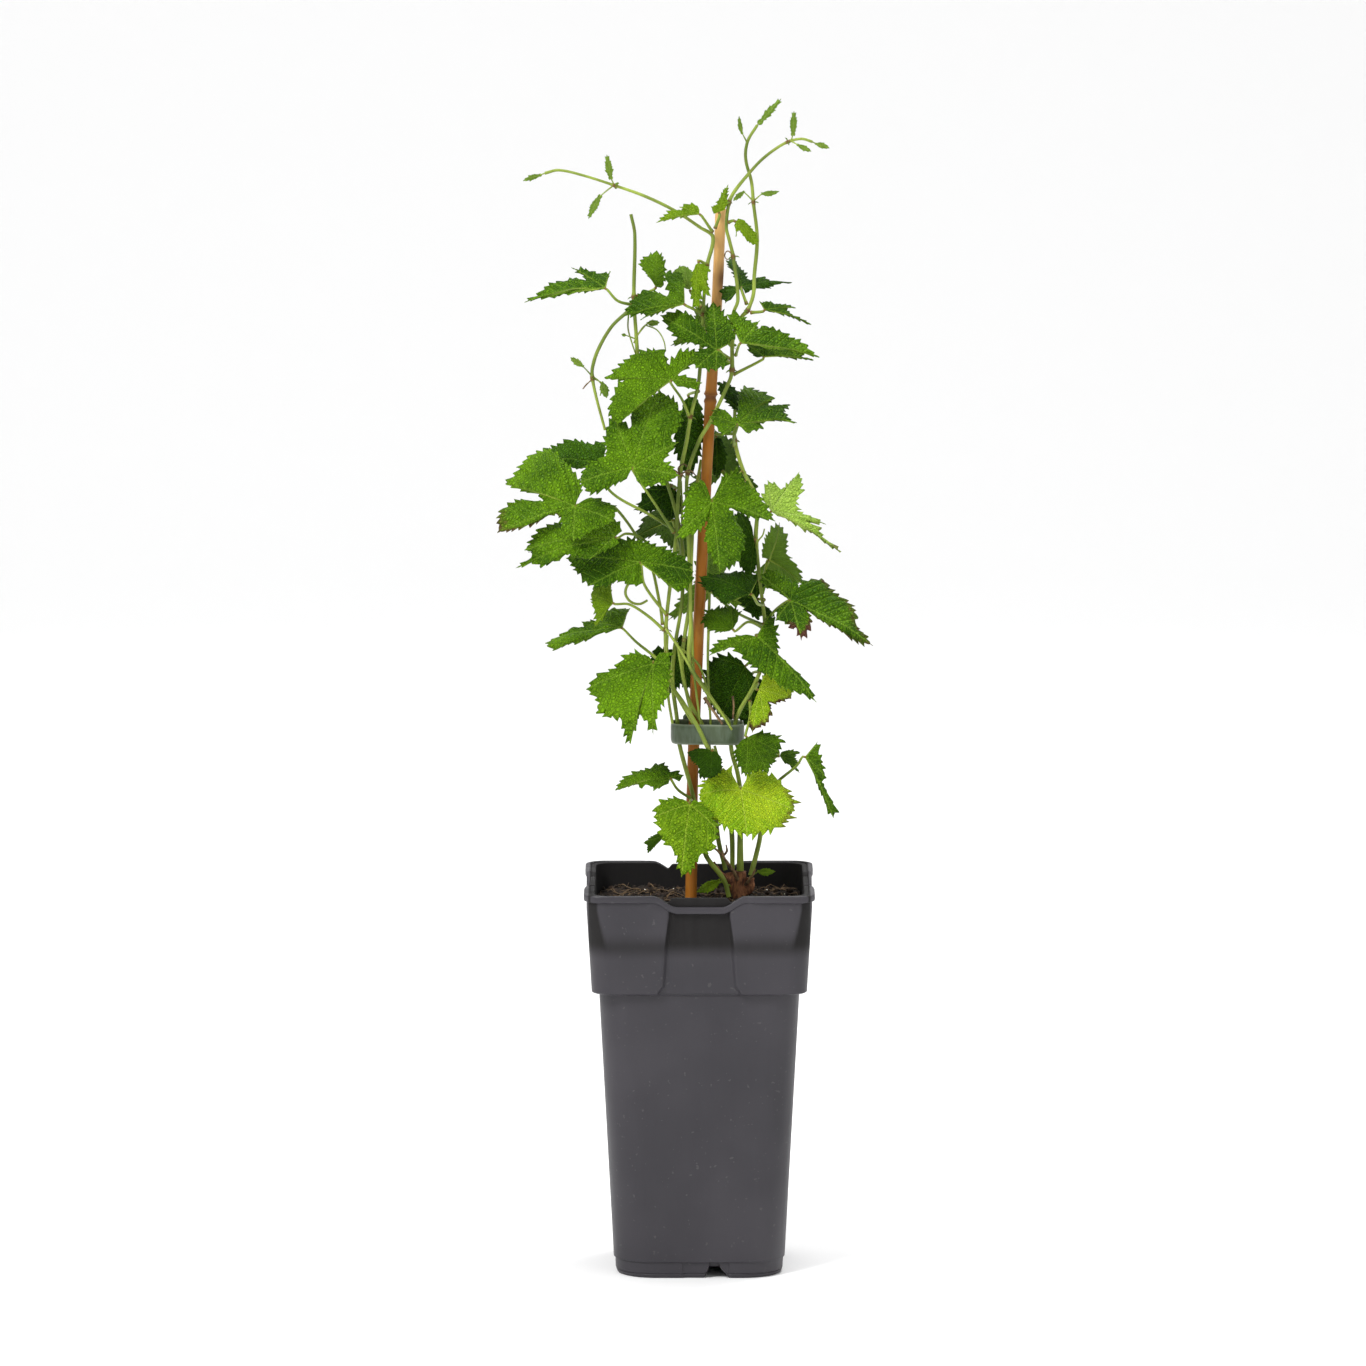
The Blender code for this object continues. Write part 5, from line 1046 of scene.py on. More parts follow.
def stalkPart(joint, up, back, stalk, seed, slot=2):
    # leaf stalk from under the joint to inside the bine that carries it
    rng = np.random.default_rng(seed + 500)
    knots = [np.array(p[:3], float) for p in stalk]
    last = knots[-1] - (knots[-2] if len(knots) > 1 else joint)
    knots[-1] = knots[-1] + 1.6 * last / np.linalg.norm(last)
    first = joint + 1.5 * back - 0.5 * up
    knots = [joint - 0.25 * up, first] + [k for k in knots if np.linalg.norm(k - first) > 2.2]
    size = np.linspace(0.8, 1.15, len(knots)) * blade["stalkRadius"]
    path = np.column_stack([np.array(knots), size])
    total = np.linalg.norm(np.diff(path[:, :3], axis=0), axis=1).sum()
    return tubePart(path, 8, 1.5, ridge=0.04, slot=slot, swell=((total, 0.25), (0, 0.12)), tone=rng.random())


# Bines, each a list of (x, y, z, radius) from its lower end to its tip
bines = {
    "bine_front": [
        (17.5, 15.0, 207.2, 1.3), (17, 11, 228, 1.3), (14, 4, 245.5, 1.2), (11.5, -6, 262.5, 1.1),
        (4.5, -15.5, 276, 1.1), (-1, -16.5, 287.5, 1.1), (-8.5, -12, 299.5, 1.1), (-15, -8, 309, 1.1),
        (-17, -6, 323.5, 1.1), (-17.5, -6, 337, 1.3), (-15.5, -5, 357.5, 1), (-12.5, -4, 381, 1),
        (-10, -3, 418, 1.4), (-6.5, -4, 436, 1), (-4.5, -4, 448.5, 1.3), (-0.5, -4, 465.5, 0.95),
        (1, -4, 486, 0.95), (2, -4, 502, 1.4), (2.5, -3, 512, 0.9), (4, -3, 527, 1.1),
        (7, -2, 542, 1), (0.5, -3, 547, 0.9), (-13, -4, 556, 0.85), (-28.5, -4, 563.5, 0.8),
        (-44, -4, 569, 1.0), (-61, -5, 574.5, 0.7), (-73, -5, 577, 0.7), (-80, -6, 575.5, 0.8)],
    "bine_twin": [
        (21.5, 8.5, 207.4, 2.0), (21.5, 8, 225.5, 1.5), (22, 4, 245.5, 1.2), (20, 1, 260.5, 1.2),
        (17, 0, 271.5, 1.1), (15.5, -3, 287, 1.1), (11, -5, 293.5, 1.1), (2, -9, 307.5, 1.2),
        (-5, -11, 319.5, 1.1), (-4.5, -10, 342.5, 1), (-5.5, -8, 381.5, 1), (-6.5, 2, 404, 1),
        (-6, 3, 418, 1.3), (0, 0, 435.5, 1), (6, -1, 446, 1), (16, 0, 467.5, 1), (17, 0, 472.5, 1.5),
        (17.5, 1, 489, 1), (22, 1, 500, 1.1), (25, 0, 503.5, 1.4), (28, 0, 511.5, 1),
        (28.5, 0, 521, 0.95), (30, 0, 541, 0.95), (28, 0, 560, 1.1), (27, 0, 570.5, 0.85),
        (24, 0, 582.5, 0.8), (25, 0, 591.5, 0.8), (30, 0, 600, 0.8)],
    "bine_crossing": [
        (19.4, -1.6, 494, 0.9), (17.5, -3, 501.5, 0.9), (20, -4, 509.5, 0.9), (17.5, -4, 532, 1.2),
        (15.5, -3, 540.5, 0.95), (14, -2, 547, 0.9), (15.5, -1, 560, 1.1), (18.5, -1, 566, 0.9),
        (26, -3, 575.5, 0.8), (32, -3, 582, 0.8), (39, -2, 587.5, 0.8), (46, -2, 591.5, 0.9),
        (53, -2, 593, 0.7), (58.5, -2, 591.5, 0.7)],
    "bine_right": [
        (27.0, 7.0, 205.0, 1.5), (30, 10, 216, 1.3), (32, 10, 225.5, 1.2), (33.5, 8, 245, 1.1),
        (29.5, 6, 258, 1.1), (19.6, 2, 275.5, 1.1), (19.4, 2, 288.8, 1.1), (28.5, 3, 306, 1.1),
        (33.5, 3, 319.5, 1), (34.5, 3, 335.5, 1.3), (31.5, 3, 362.5, 1), (29.5, 3, 383.5, 1.1),
        (30, 4, 404, 1), (23, 4, 419, 1), (18.5, 5, 435, 1.3), (18.5, 6, 451, 0.9)],
    "bine_left": [
        (15.6, 3.5, 194.2, 1.3), (13, 4, 203, 1.3), (3.5, 3, 216.5, 1.2), (-0.5, -2, 235.5, 1.1),
        (-3.5, -3, 250, 1.1), (-10.5, -2, 276.5, 1.1), (-11.6, -2, 289, 1.1), (-14, -2, 309, 1.1),
        (-13, -1, 325.5, 1), (-9, -1, 352, 1), (-9, 1, 380.5, 1), (-14, 0, 404.5, 1),
        (-23, -3, 431, 1), (-30, -4, 457, 1), (-33, -4, 494, 1), (-34, -4, 511, 1.4),
        (-33.5, -4, 543.5, 0.9), (-35.5, -4, 554, 0.9)],
    "bine_inner": [
        (13.8, 12.2, 207.2, 1.2), (10, 12, 223.5, 1.2), (8, 9, 245, 1.1), (5.5, 5, 271.5, 1),
        (1.5, -2.5, 286.5, 1), (-5, -3, 298.5, 1), (-9, -2, 316, 1), (-8, -2, 330, 1),
        (-5, -2, 351.5, 1), (-4, 0, 380, 1), (-2.5, 8, 403, 0.9), (1, 12, 424, 0.8)],
    "shoot_left": [
        (-37, -8.4, 504.0, 1), (-45.5, -9, 496, 0.9), (-52.5, -9, 484, 0.9), (-55.5, -9, 474.5, 0.9),
        (-55.5, -9, 469, 1.2), (-53.5, -9, 459, 0.8), (-49, -9, 442, 0.7)],
}

# Young leaves on the shoots: joint, way it faces, tip, half width, point inside the shoot
youngLeaves = {
    "bine_front": [
        ((-82.5, -6, 574.5), (0, -0.8, 0.5), (-91.5, -6, 571.5), 1.9, (-79.6, -6, 575.6)),
        ((-46.0, -5, 573.0), (0.1, -0.9, 0.3), (-48.0, -3, 585.0), 2.4, (-44, -4, 569)),
        ((-51.5, -6, 563.5), (-0.2, -0.8, 0.5), (-57.5, -8, 552.0), 2.6, (-45, -4, 568.6))],
    "bine_twin": [
        ((31.5, -1, 601.6), (-0.3, -0.8, 0.4), (42.5, 0, 613.8), 2.3, (29.6, 0, 599.4)),
        ((22.0, -1, 596.0), (0.2, -0.8, 0.4), (20.5, -2, 605.0), 1.6, (24.8, 0, 590.6)),
        ((23.0, -2, 565.5), (-0.1, -0.7, 0.6), (17.5, -4.5, 561.0), 2, (27.8, 0, 560.6)),
        ((32.5, -2, 564.5), (0.2, -0.7, 0.6), (41.5, -4, 566.0), 2.3, (28.2, 0, 560.6))],
    "bine_crossing": [
        ((60.5, -2, 590.4), (0, -0.8, 0.5), (67.5, -2, 588.2), 2.2, (58, -2, 591.6)),
        ((48.5, -3, 595.5), (-0.2, -0.9, 0.3), (49.0, 0, 607.4), 2.3, (47.5, -2, 591.8)),
        ((51.0, -4, 590.0), (0.1, -0.8, 0.5), (58.0, -6, 586.8), 1.9, (47.5, -2, 591.8))],
    "shoot_left": [
        ((-60.5, -10, 475.5), (0, -0.8, 0.5), (-67.0, -9, 480.0), 2.3, (-55.6, -9, 470)),
        ((-50.5, -11, 467.0), (0, -0.9, 0.3), (-48.0, -12, 459.0), 2.9, (-55.2, -9, 469))],
    "bine_left": [
        ((-27.0, -6, 497.5), (0.2, -0.8, 0.5), (-20.5, -7, 498.0), 2.4, (-33, -4, 490)),
        ((-38.0, -5, 491.0), (-0.2, -0.8, 0.4), (-40.5, -5, 491.5), 1.2, (-33, -4, 489))],
}

# Small twigs and curls on each bine: finish (0 green, 3 dead), radius, points
twigs = {
    "bine_front": [
        (0, 0.75, [(-17.5, -10, 338), (-11, -14, 329), (0, -15, 310.5), (11, -14, 295), (17, -11, 285)]),
        (3, 0.45, [(-10, -4, 418), (-14, -5, 421), (-18.5, -6, 420.5), (-20, -7, 418)]),
        (3, 0.4, [(-10, -4, 418), (-11, -5, 421.5), (-8, -6, 424), (-6.5, -6.5, 422.5)]),
        (3, 0.45, [(-10, -4, 418), (-5, -5, 420.5), (-1.5, -6, 417.5)])],
    "bine_twin": [
        (3, 0.9, [(2.5, -11, 302), (7, -12, 295.5), (12, -11.5, 288)]),
        (0, 0.7, [(8, -8, 276), (11.5, -8, 263), (13, -6, 247.5), (16.5, 2, 230.5)])],
    "bine_crossing": [
        (3, 0.4, [(17.5, -4, 533), (14.5, -5, 535), (13, -5, 532.5), (14.5, -5, 530.5), (16, -5, 531.5)])],
    "bine_right": [
        (0, 0.5, [(29.8, 3, 380), (31, 2, 383), (33, 1.5, 385.5), (34, 1.5, 389)]),
        (3, 0.6, [(17.5, 1, 301), (18, 0, 295), (17.5, 0, 289)]),
        (3, 0.5, [(30, 2.5, 383), (28, 1.5, 381), (27.5, 1, 378.5)])],
    "bine_left": [
        (0, 0.75, [(-14, -9, 288), (-16, -9, 300.5), (-16.5, -9, 310), (-17, -8, 321.5), (-16.5, -6, 334)]),
        (0, 0.7, [(-12.5, -2, 366), (-12.5, -2.5, 381), (-12, -3, 394), (-10.5, -3, 412)]),
        (0, 0.8, [(-30, -8, 366), (-37, -8, 361), (-38.5, -8, 356.5), (-36.8, -8, 352.8), (-34, -8, 351),
                  (-30.5, -8, 350.8), (-27, -7, 352.5)]),
        (0, 0.45, [(-34, -4, 487), (-31, -6, 493), (-28, -6, 496.5), (-24, -6.5, 498)]),
        (0, 0.4, [(-28, -6, 496.5), (-22, -7, 494), (-18.5, -7, 488.5), (-17.5, -7, 483)]),
        (0, 0.45, [(-36.8, -4.5, 502), (-37, -5, 494.5), (-35, -5, 487), (-33, -4.5, 481)])],
    "bine_inner": [
        (0, 0.7, [(-15, -9, 309), (-10, -10, 299.5), (-3, -9, 287), (2, -4, 279)]),
        (0, 0.75, [(-11.5, -5, 330), (-9.5, -6.5, 317.5), (-6, -7.5, 300), (-2, -8, 286)]),
        (0, 0.65, [(-10.5, -7, 328), (-0.5, -8.5, 319), (3.5, -8, 308), (5, -7.5, 296)]),
        (0, 0.8, [(-5, -4, 360), (-4, -4.5, 341.5), (-3, -4.5, 317), (0.5, -5, 287)]),
        (0, 0.8, [(5.5, 0, 362), (5, 0, 341), (4.5, -1, 316), (6, -2, 286)]),
        (0, 0.7, [(-9, 3, 360), (-9, 3, 380.5), (-9, 3, 396.5), (-9.5, 3, 414)])],
    "shoot_left": [
        (0, 0.4, [(-55.5, -9, 470), (-52.5, -9.5, 468), (-50.5, -10, 465), (-51.5, -10, 460)]),
        (3, 0.4, [(-55.5, -9, 468.5), (-58.5, -9.5, 466), (-60.5, -10, 463.5)])],
}

# Leaves: finish, joint, way it faces, margin, stalk from the joint to the bine. A margin is drawn as the
# camera sees it, to the right of the joint and above it, in stretches that end at a lobe's tip or the stalk
leaves = {
    "leaf_top_left": ("leaf_lime", (0, -13, 555), (-0.15, -0.75, 0.65),
        [[(0, 2), (-1, 4), (-4.5, 5), (-10.5, 3.5)], [(-8, 1.5), (-13, 1.5), (-18, -1), (-22.5, -4.5)],
         [(-16, -2.5), (-10, -0.5), (-3.5, -0.5)]],
        [(6.0, -4.8, 546)]),
    "leaf_top_right": ("leaf_lime", (19, -7, 550.5), (0.2, -0.8, 0.55),
        [[(-1, -2), (0, -5), (-0.5, -8.5)], [(1.5, -4.5), (4, -8), (7.5, -11), (11.5, -12.5)],
         [(10.5, -7), (7.5, -3), (4, 0.5), (1, 1.5)]],
        [(16.4, -4.4, 550)]),
    "leaf_top_cane": ("leaf_lime", (10, -3, 555), (-0.3, -0.9, 0.3),
        [[(-2.5, -1), (-4, 3)], [(-1.5, 3.5), (0.5, 7.5), (2.5, 10.5), (5, 14.5)], [(4.5, 9.5),
         (4.5, 4.5), (3, 1)]],
        [(8.4, -4.2, 548)]),
    "leaf_upper_fold": ("leaf_deep", (22, 8, 515), (0.1, -0.42, 0.9),
        [[(-4.5, -6), (-8.5, -8.5)], [(-10.5, -5), (-10.5, -2), (-5.5, -0.5), (-2, 1), (-4.5, 7.5),
         (-7.5, 13), (-5, 15)], [(-2, 11.5), (1, 7.5), (3.5, 3.5), (11, 4.5), (15.5, 2.5), (26.5, 2.5)],
         [(18.5, 1), (12, -0.5), (6, -2), (1.5, -3.5)]],
        [(24.2, 1, 508)]),
    "leaf_upper_right": ("leaf_mid", (34, -6, 504.5), (0.2, -0.6, 0.77),
        [[(-1, 1.5), (-3, 4.5)], [(0, 3.5), (1, 4.5), (6.5, 3), (12, 2), (17, 0.5)], [(11.5, 0.5),
         (15, -3.5), (18.5, -6), (22.5, -12.5)], [(17, -8), (11.5, -4), (6, -1.5), (2, -1)]],
        [(28.2, -3, 503)]),
    "leaf_upper_wide": ("leaf_mid", (21.5, -17, 488.5), (0.15, -0.75, 0.6),
        [[(-2, 3.5), (-5, 8.5), (-7.5, 14.5)], [(-4, 15), (1, 12.5), (5.5, 11), (10, 11.5)], [(8, 6),
         (13.5, 9), (20, 5.5), (26.5, 2), (32.5, 0), (37, -5), (41.5, -13)], [(35, -8), (29, -5),
         (21.5, -3.5), (14, -2.5), (9, -1.5)], [(4, -1)]],
        [(19.2, -1.6, 481)]),
    "leaf_upper_low": ("leaf_mid", (33.5, 4, 479), (0.2, -0.6, 0.77),
        [[(-2, 1), (-3.5, -0.5), (-7, 2), (-9, 6)], [(-5, 8), (-0.5, 7.5), (6, 5.5), (14, 4), (19, 2),
         (22, -2.5), (23.5, -7.5), (24.5, -15)], [(20.5, -10), (15, -5), (8.5, -1), (3.5, 0)]],
        [(19.0, 2.2, 470.5)]),
    "leaf_upper_front": ("leaf_mid", (9, -20, 485), (-0.05, -0.88, 0.47),
        [[(3, 1.5), (7, 3.5)], [(9.5, 8.5), (6.5, 14.5), (2.5, 20.5), (-2, 26)], [(-5, 20.5),
         (-5.5, 14.5), (-5.5, 8.5), (-9.5, 15), (-16, 19), (-23.5, 20), (-29.5, 18)], [(-26, 12),
         (-19.5, 5.5), (-12, 3.5), (-5.5, 1.5), (-10, -0.5), (-13, -5), (-11, -9.5)], [(-4.5, -10),
         (-0.5, -11)], [(4.5, -8), (6, -4.5)], [(2.5, -2)]],
        [(14.8, -3, 477)]),
    "leaf_upper_left": ("leaf_mid", (-49, -8, 516), (-0.1, -0.6, 0.8),
        [[(1, 3.5), (2.5, 6.5), (4.5, 9.5)], [(0, 8), (-5.5, 8), (-11.5, 9.5), (-17.5, 10.5)], [(-13, 8),
         (-10, 3.5), (-15.5, 5), (-22.5, 3), (-30, 0.5), (-35.5, -3.5), (-42, -7.5)], [(-33.5, -3.5),
         (-26, -2), (-19.5, -4)], [(-15.5, -1), (-8, -1), (-2.5, -1)]],
        [(-42.5, -9, 509.5), (-36.4, -5.6, 507.4)]),
    "leaf_upper_back": ("leaf_mid", (-22.5, 8, 515), (-0.2, -0.85, 0.45),
        [[(-1, 3), (-3, 7), (-8, 11.5), (-8.5, 14)], [(-4.5, 16), (0.5, 19)], [(3, 16), (4.5, 11.5),
         (4.5, 6), (4, 1)], [(2.5, -0.5)]],
        [(-31.8, -2.4, 511.5)]),
    "leaf_upper_mid": ("leaf_mid", (-8, -10, 508), (0.1, -0.75, 0.65),
        [[(0, 3.5), (0.5, 9.5), (0, 14)], [(-4.5, 16.5), (-10, 15.5), (-9, 10), (-8.5, 4), (-13, 5),
         (-17, 7.5), (-20.5, 9.5)], [(-24, 4), (-27.5, 0), (-31, -6.5)], [(-25, -5.5), (-18.5, -4),
         (-23, -8.5)], [(-16.5, -5.5), (-10.5, -3), (-4.5, -1.5), (-1.5, -0.5)]],
        [(-3, -8, 505), (0.2, -5.2, 502.6)]),
    "leaf_upper_pale": ("leaf_pale", (-5, 8, 513.5), (-0.3, -0.9, 0.2),
        [[(-2, 0.5), (-5, 3), (-9, 9)], [(-5.5, 12), (-3, 12.5)], [(0, 11), (2, 8.5)], [(2, 3)]],
        [(0.6, -0.4, 506)]),
    "leaf_upper_hang": ("leaf_lime", (-0.5, -8, 529), (-0.5, -0.8, 0.2),
        [[(-1.5, -1), (-2.5, -5), (-3.5, -11.5), (-3, -19), (-1, -25)], [(1, -19), (1.5, -14), (4, -16.5),
         (6.5, -17.5)], [(4.5, -11.5), (4.5, -7.5), (5.5, -3.5), (3, -0.5)]],
        [(2.8, -4.4, 528)]),
    "leaf_mid_pale": ("leaf_mid", (-14.5, -20, 469.5), (-0.1, -0.88, 0.45),
        [[(3, -3.5), (8.5, -4), (12.5, -5.5), (16, -1.5)], [(10, 1.5), (3, 2.5), (10, 5), (14, 10),
         (17, 14.5)], [(11, 15.5), (4.5, 14), (0.5, 10.5), (-2, 8), (-3.5, 13.5), (-10.5, 15.5),
         (-18, 13.5), (-25.5, 8.5), (-30, 4.5), (-34, 0)], [(-20, 2), (-27.5, -3), (-31, -10.5),
         (-32.5, -17.5), (-28, -23.5)], [(-22.5, -17.5), (-16, -9.5), (-8.5, -2.5), (-3.5, -1)]],
        [(-9, -10, 458), (-5.8, -5.6, 450)]),
    "leaf_mid_big": ("leaf_mid", (-34.5, -29, 425), (-0.1, -0.9, 0.43),
        [[(2, -7), (6, -11)], [(11.5, -9.5), (17.5, -8), (24.5, -4.5)], [(19.5, 1), (16.5, 3), (21, 9.5),
         (24, 13)], [(20, 14.5), (23.5, 20), (25, 26.5), (23.5, 32.5), (18, 37.5), (14, 40)], [(8, 36),
         (1.5, 32.5), (-0.5, 27.5), (1, 15.5), (-2, 21), (-6, 25.5), (-10.5, 28)], [(-13, 21.5),
         (-15, 13.5), (-13, 8), (-17, 4), (-22.5, 2.5), (-26.5, -2.5), (-27.5, -8)], [(-22.5, -13.5),
         (-15, -12), (-8, -9), (-3, -6)]],
        [(-24.5, -21, 407), (-14.0, -6, 389)]),
    "leaf_left_big": ("leaf_mid", (-64.5, -20, 403.5), (-0.15, -0.8, 0.6),
        [[(2.5, 4.5), (3.5, 10.5), (0, 17), (-6.5, 24.5), (-13.5, 29), (-23, 26.5), (-30, 18.5),
         (-37, 11.5)], [(-29, 11.5), (-17, 3), (-31, 2), (-38, -2), (-40.5, -14)], [(-28.5, -11.5),
         (-13.5, -5), (-8.5, -5), (-6.5, -12.5), (-1, -18)], [(6.5, -14.5), (20, -8)], [(21.5, -2),
         (14.5, 3), (6.5, 4.5)]],
        [(-58, -15, 403.5), (-50.5, -11, 402), (-43, -8, 400.5), (-26.5, -4, 374), (-20.5, -5.4, 350),
         (-19.3, -5.6, 341)]),
    "leaf_left_back": ("leaf_deep", (-53, 6, 423.5), (-0.2, -0.75, 0.6),
        [[(3.5, 3), (4, 9), (-5, 10), (-13.5, 11), (-22.5, 8.5), (-29.5, 5), (-35, 0.5)], [(-26, 0),
         (-18, -1), (-11, -4)], [(-5, -3), (-2, -2.5)]],
        [(-46.5, 4, 408.5), (-25.5, 3, 396), (-12.6, 2.4, 388)]),
    "leaf_left_low": ("leaf_mid", (-44, -22, 387.5), (-0.1, -0.75, 0.65),
        [[(4, 3), (1, 8.5), (-5.5, 10.5)], [(-12, 7.5), (-21, 7.5), (-29.5, 7.5), (-36, 5), (-41.5, 1),
         (-47, -6.5)], [(-42.5, -9), (-46, -12), (-51.5, -16)], [(-44, -14), (-37.5, -14.5), (-34.5, -10),
         (-27.5, -9.5), (-21, -10), (-13, -11.5)], [(-6.5, -8), (2.5, -3)]],
        [(-38, -15, 388.5), (-31, -9.5, 386), (-21, -1, 376), (-10.8, 2, 364)]),
    "leaf_left_hang": ("leaf_mid", (-31, -18, 374), (-0.1, -0.85, 0.5),
        [[(2, -11), (-4, -12.5), (-11.5, -10), (-18.5, -12.5), (-27, -12.5)], [(-32, -5.5), (-38.5, 2)],
         [(-31, 7.5), (-18, 11), (-5, 11.5), (8, 9), (16.5, 5.5), (24, 2), (28, -5)], [(26, -12.5),
         (21, -15.5), (15, -21.5)], [(11.5, -15.5), (10.5, -8.5), (7.5, -6)]],
        [(-28.5, -14, 361.5), (-17.8, -8.2, 346)]),
    "leaf_left_fan": ("leaf_lime", (-45, -14, 352), (-0.3, -0.75, 0.6),
        [[(-0.5, 3.5), (0.5, 9), (1.5, 13.5), (-1, 15.5)], [(-5, 14.5), (-8.5, 10.5), (-11.5, 4.5)],
         [(-10.5, -1.5), (-9, -7), (-10, -13)], [(-6, -8.5), (-4.5, -4), (-2, -1.5)]],
        [(-36.5, -12, 351), (-26.5, -10, 344.5), (-19.6, -8, 338)]),
    "leaf_left_dark": ("leaf_mid", (-40.5, -2, 337.5), (-0.1, -0.45, 0.9),
        [[(1.5, 3.5), (4.5, 7.5), (7, 10.5)], [(-1, 9.5), (-8.5, 7.5), (-13.5, 3.5), (-21, 3)],
         [(-20.5, -0.5), (-26.5, -1.5), (-32.5, -4.5), (-40, -8)], [(-36, -11), (-29.5, -10.5),
         (-19.5, -6.5), (-9, -2.5), (-2.5, -0.5)]],
        [(-33, -2, 330), (-24.5, -1, 323), (-19.0, -4, 318.5)]),
    "leaf_left_mid": ("leaf_deep", (-13, 4.5, 409), (-0.1, -0.99, -0.05),
        [[(-3, 2.5), (-7.5, 2), (-11.5, 2.5), (-15, 0.5)], [(-17, -2.5), (-18.5, -7), (-21.5, -10.5)],
         [(-15, -11.5), (-9, -10), (-6, -13.5), (-2, -16)], [(1.5, -13.5), (3.5, -8.5), (4.5, -3.5)]],
        [(-14.6, 2.2, 411)]),
    "leaf_left_front": ("leaf_mid", (-24, -20, 321), (-0.15, -0.8, 0.6),
        [[(-2, 3.5), (-8.5, 5.5), (-13.5, 4), (-19, -1), (-24.5, -5), (-29.5, -7), (-35, -13.5)],
         [(-28, -21), (-29, -24.5), (-21, -28.5), (-17, -30), (-15, -36), (-12, -42)], [(-13, -33.5),
         (-9, -26.5), (-4, -30), (0, -37)], [(2, -27.5), (4.5, -22), (7.5, -17), (8, -10.5), (9.5, 0)],
         [(8.5, 5), (3.5, 5.5)]],
        [(-20.5, -13, 315.5), (-17.0, -9.8, 309.5)]),
    "leaf_centre_high": ("leaf_mid", (19.5, -16, 446), (0.15, -0.5, 0.85),
        [[(-2, -3.5), (-4.5, -5.5), (-8, -6.5)], [(-10.5, -2), (-14.5, 3.5)], [(-9, 7.5), (-4.5, 4.5),
         (-1.5, 2), (1.5, 6.5), (1, 14), (5, 19), (12, 16.5), (19, 13), (22, 10), (32.5, 3)], [(18.5, 9),
         (15, 11), (17.5, 8.5), (27, 10.5), (24.5, 5.5), (29.5, 0.5), (35, -6)], [(29, -1.5), (23, -3.5),
         (18, -0.5), (13, 1), (12.5, -2), (7, -4.5)], [(2.5, -7.5), (3.5, -3)]],
        [(18, -8, 438), (18.2, 3.2, 433)]),
    "leaf_centre_dark": ("leaf_deep", (22.5, 17, 448.5), (0.1, -0.8, 0.5),
        [[(-2.5, -0.5), (-7.5, 4.5), (-12, 9.5)], [(-12, 15), (-8, 14.5), (-2, 10.5)], [(1.5, 5),
         (2.5, 0.5)]],
        [(18.5, 8.2, 443)]),
    "leaf_centre_drop": ("leaf_deep", (9, 14, 435.5), (0.2, -0.9, 0.2),
        [[(2.5, -0.5), (4, -5), (5, -11.5), (4, -16), (0, -21.5)], [(-2.5, -16), (-3, -8), (-2, -2.5)]],
        [(17.4, 7.4, 438)]),
    "leaf_centre_shade": ("leaf_deep", (-5.5, 15, 456.5), (-0.2, -0.9, 0.3),
        [[(2.5, 0), (5.5, -2.5), (8, -12), (7, -25), (4, -35.5), (-1.5, -41.5)], [(-5.5, -33),
         (-7.5, -22.5), (-5, -11), (-2.5, -2)]],
        [(-1.0, 0.0, 461)]),
    "leaf_centre_front": ("leaf_mid", (6.5, -26, 406.5), (0.05, -0.8, 0.6),
        [[(-1, 6), (-3, 10.5), (-8.5, 10), (-13, 4.5), (-14.5, -3), (-15.5, -11.5), (-19, -19.5)],
         [(-11.5, -17.5), (-5, -13.5), (-1, -5.5), (-3, -14), (-3.5, -20), (-1, -26.5), (4, -36.5)],
         [(12.5, -31.5), (16.5, -24), (16, -16), (12.5, -9), (9.5, -4), (17, -6.5), (24, -8.5),
         (33, -10)], [(29, -3), (23.5, 4.5), (16, 12.5), (13.5, 19)], [(11, 14.5), (4, 14), (1.5, 7.5)]],
        [(12.5, -14, 411), (21.4, 1.6, 418)]),
    "leaf_right_pale": ("leaf_pale", (37.5, -8, 399.5), (0.1, -0.75, 0.65),
        [[(-2.5, 2.5), (-4.5, 7.5), (-2, 16)], [(2, 14), (8, 10.5), (10, 5.5), (8.5, 9.5), (11.5, 17),
         (14.5, 20.5)], [(16, 13), (13.5, 5), (13, 2.5), (14, 0), (21.5, -3.5), (28.5, -7)], [(18, -6.5),
         (24, -9.5), (28.5, -16), (30, -22.5)], [(25, -23.5), (21.5, -33), (14.5, -36.5)], [(16.5, -27.5),
         (14, -18.5), (9.5, -10), (7.5, -4), (3, -2.5)]],
        [(30.2, 2.0, 398)]),
    "leaf_right_big": ("leaf_mid", (47.5, -12, 353), (0.2, -0.72, 0.65),
        [[(-2.5, 2), (-8, 5.5), (-15, 10), (-16, 14)], [(-10.5, 15.5), (-5, 14), (-0.5, 11), (5, 5.5),
         (6, 2.5), (6.5, 9.5), (11, 10.5), (17, 9.5), (21, 5), (28.5, 0.5), (34, -8), (34.5, -14),
         (43, -23.5)], [(32.5, -20), (22.5, -14), (14.5, -9), (9, -5.5), (11, -11), (8.5, -17),
         (5.5, -21)], [(2.5, -14), (-3, -11.5), (-8, -10.5)], [(-7.5, -5.5), (-4, -2.5)]],
        [(40, -6, 347.5), (34.6, 1.0, 340)]),
    "leaf_centre_low": ("leaf_deep", (26.5, -22, 358), (0, -0.6, 0.8),
        [[(1.5, 3), (4, 7.5)], [(-2.5, 10), (-10.5, 11), (-18.5, 9.5), (-27, 9)], [(-24, 3), (-19, -1),
         (-13.5, -6)], [(-9.5, -3), (-5, -2), (-2, -1.5)]],
        [(30.5, -10, 351), (33.0, 1.0, 349)]),
    "leaf_centre_small": ("leaf_mid", (17.5, -12, 338), (-0.1, -0.8, 0.5),
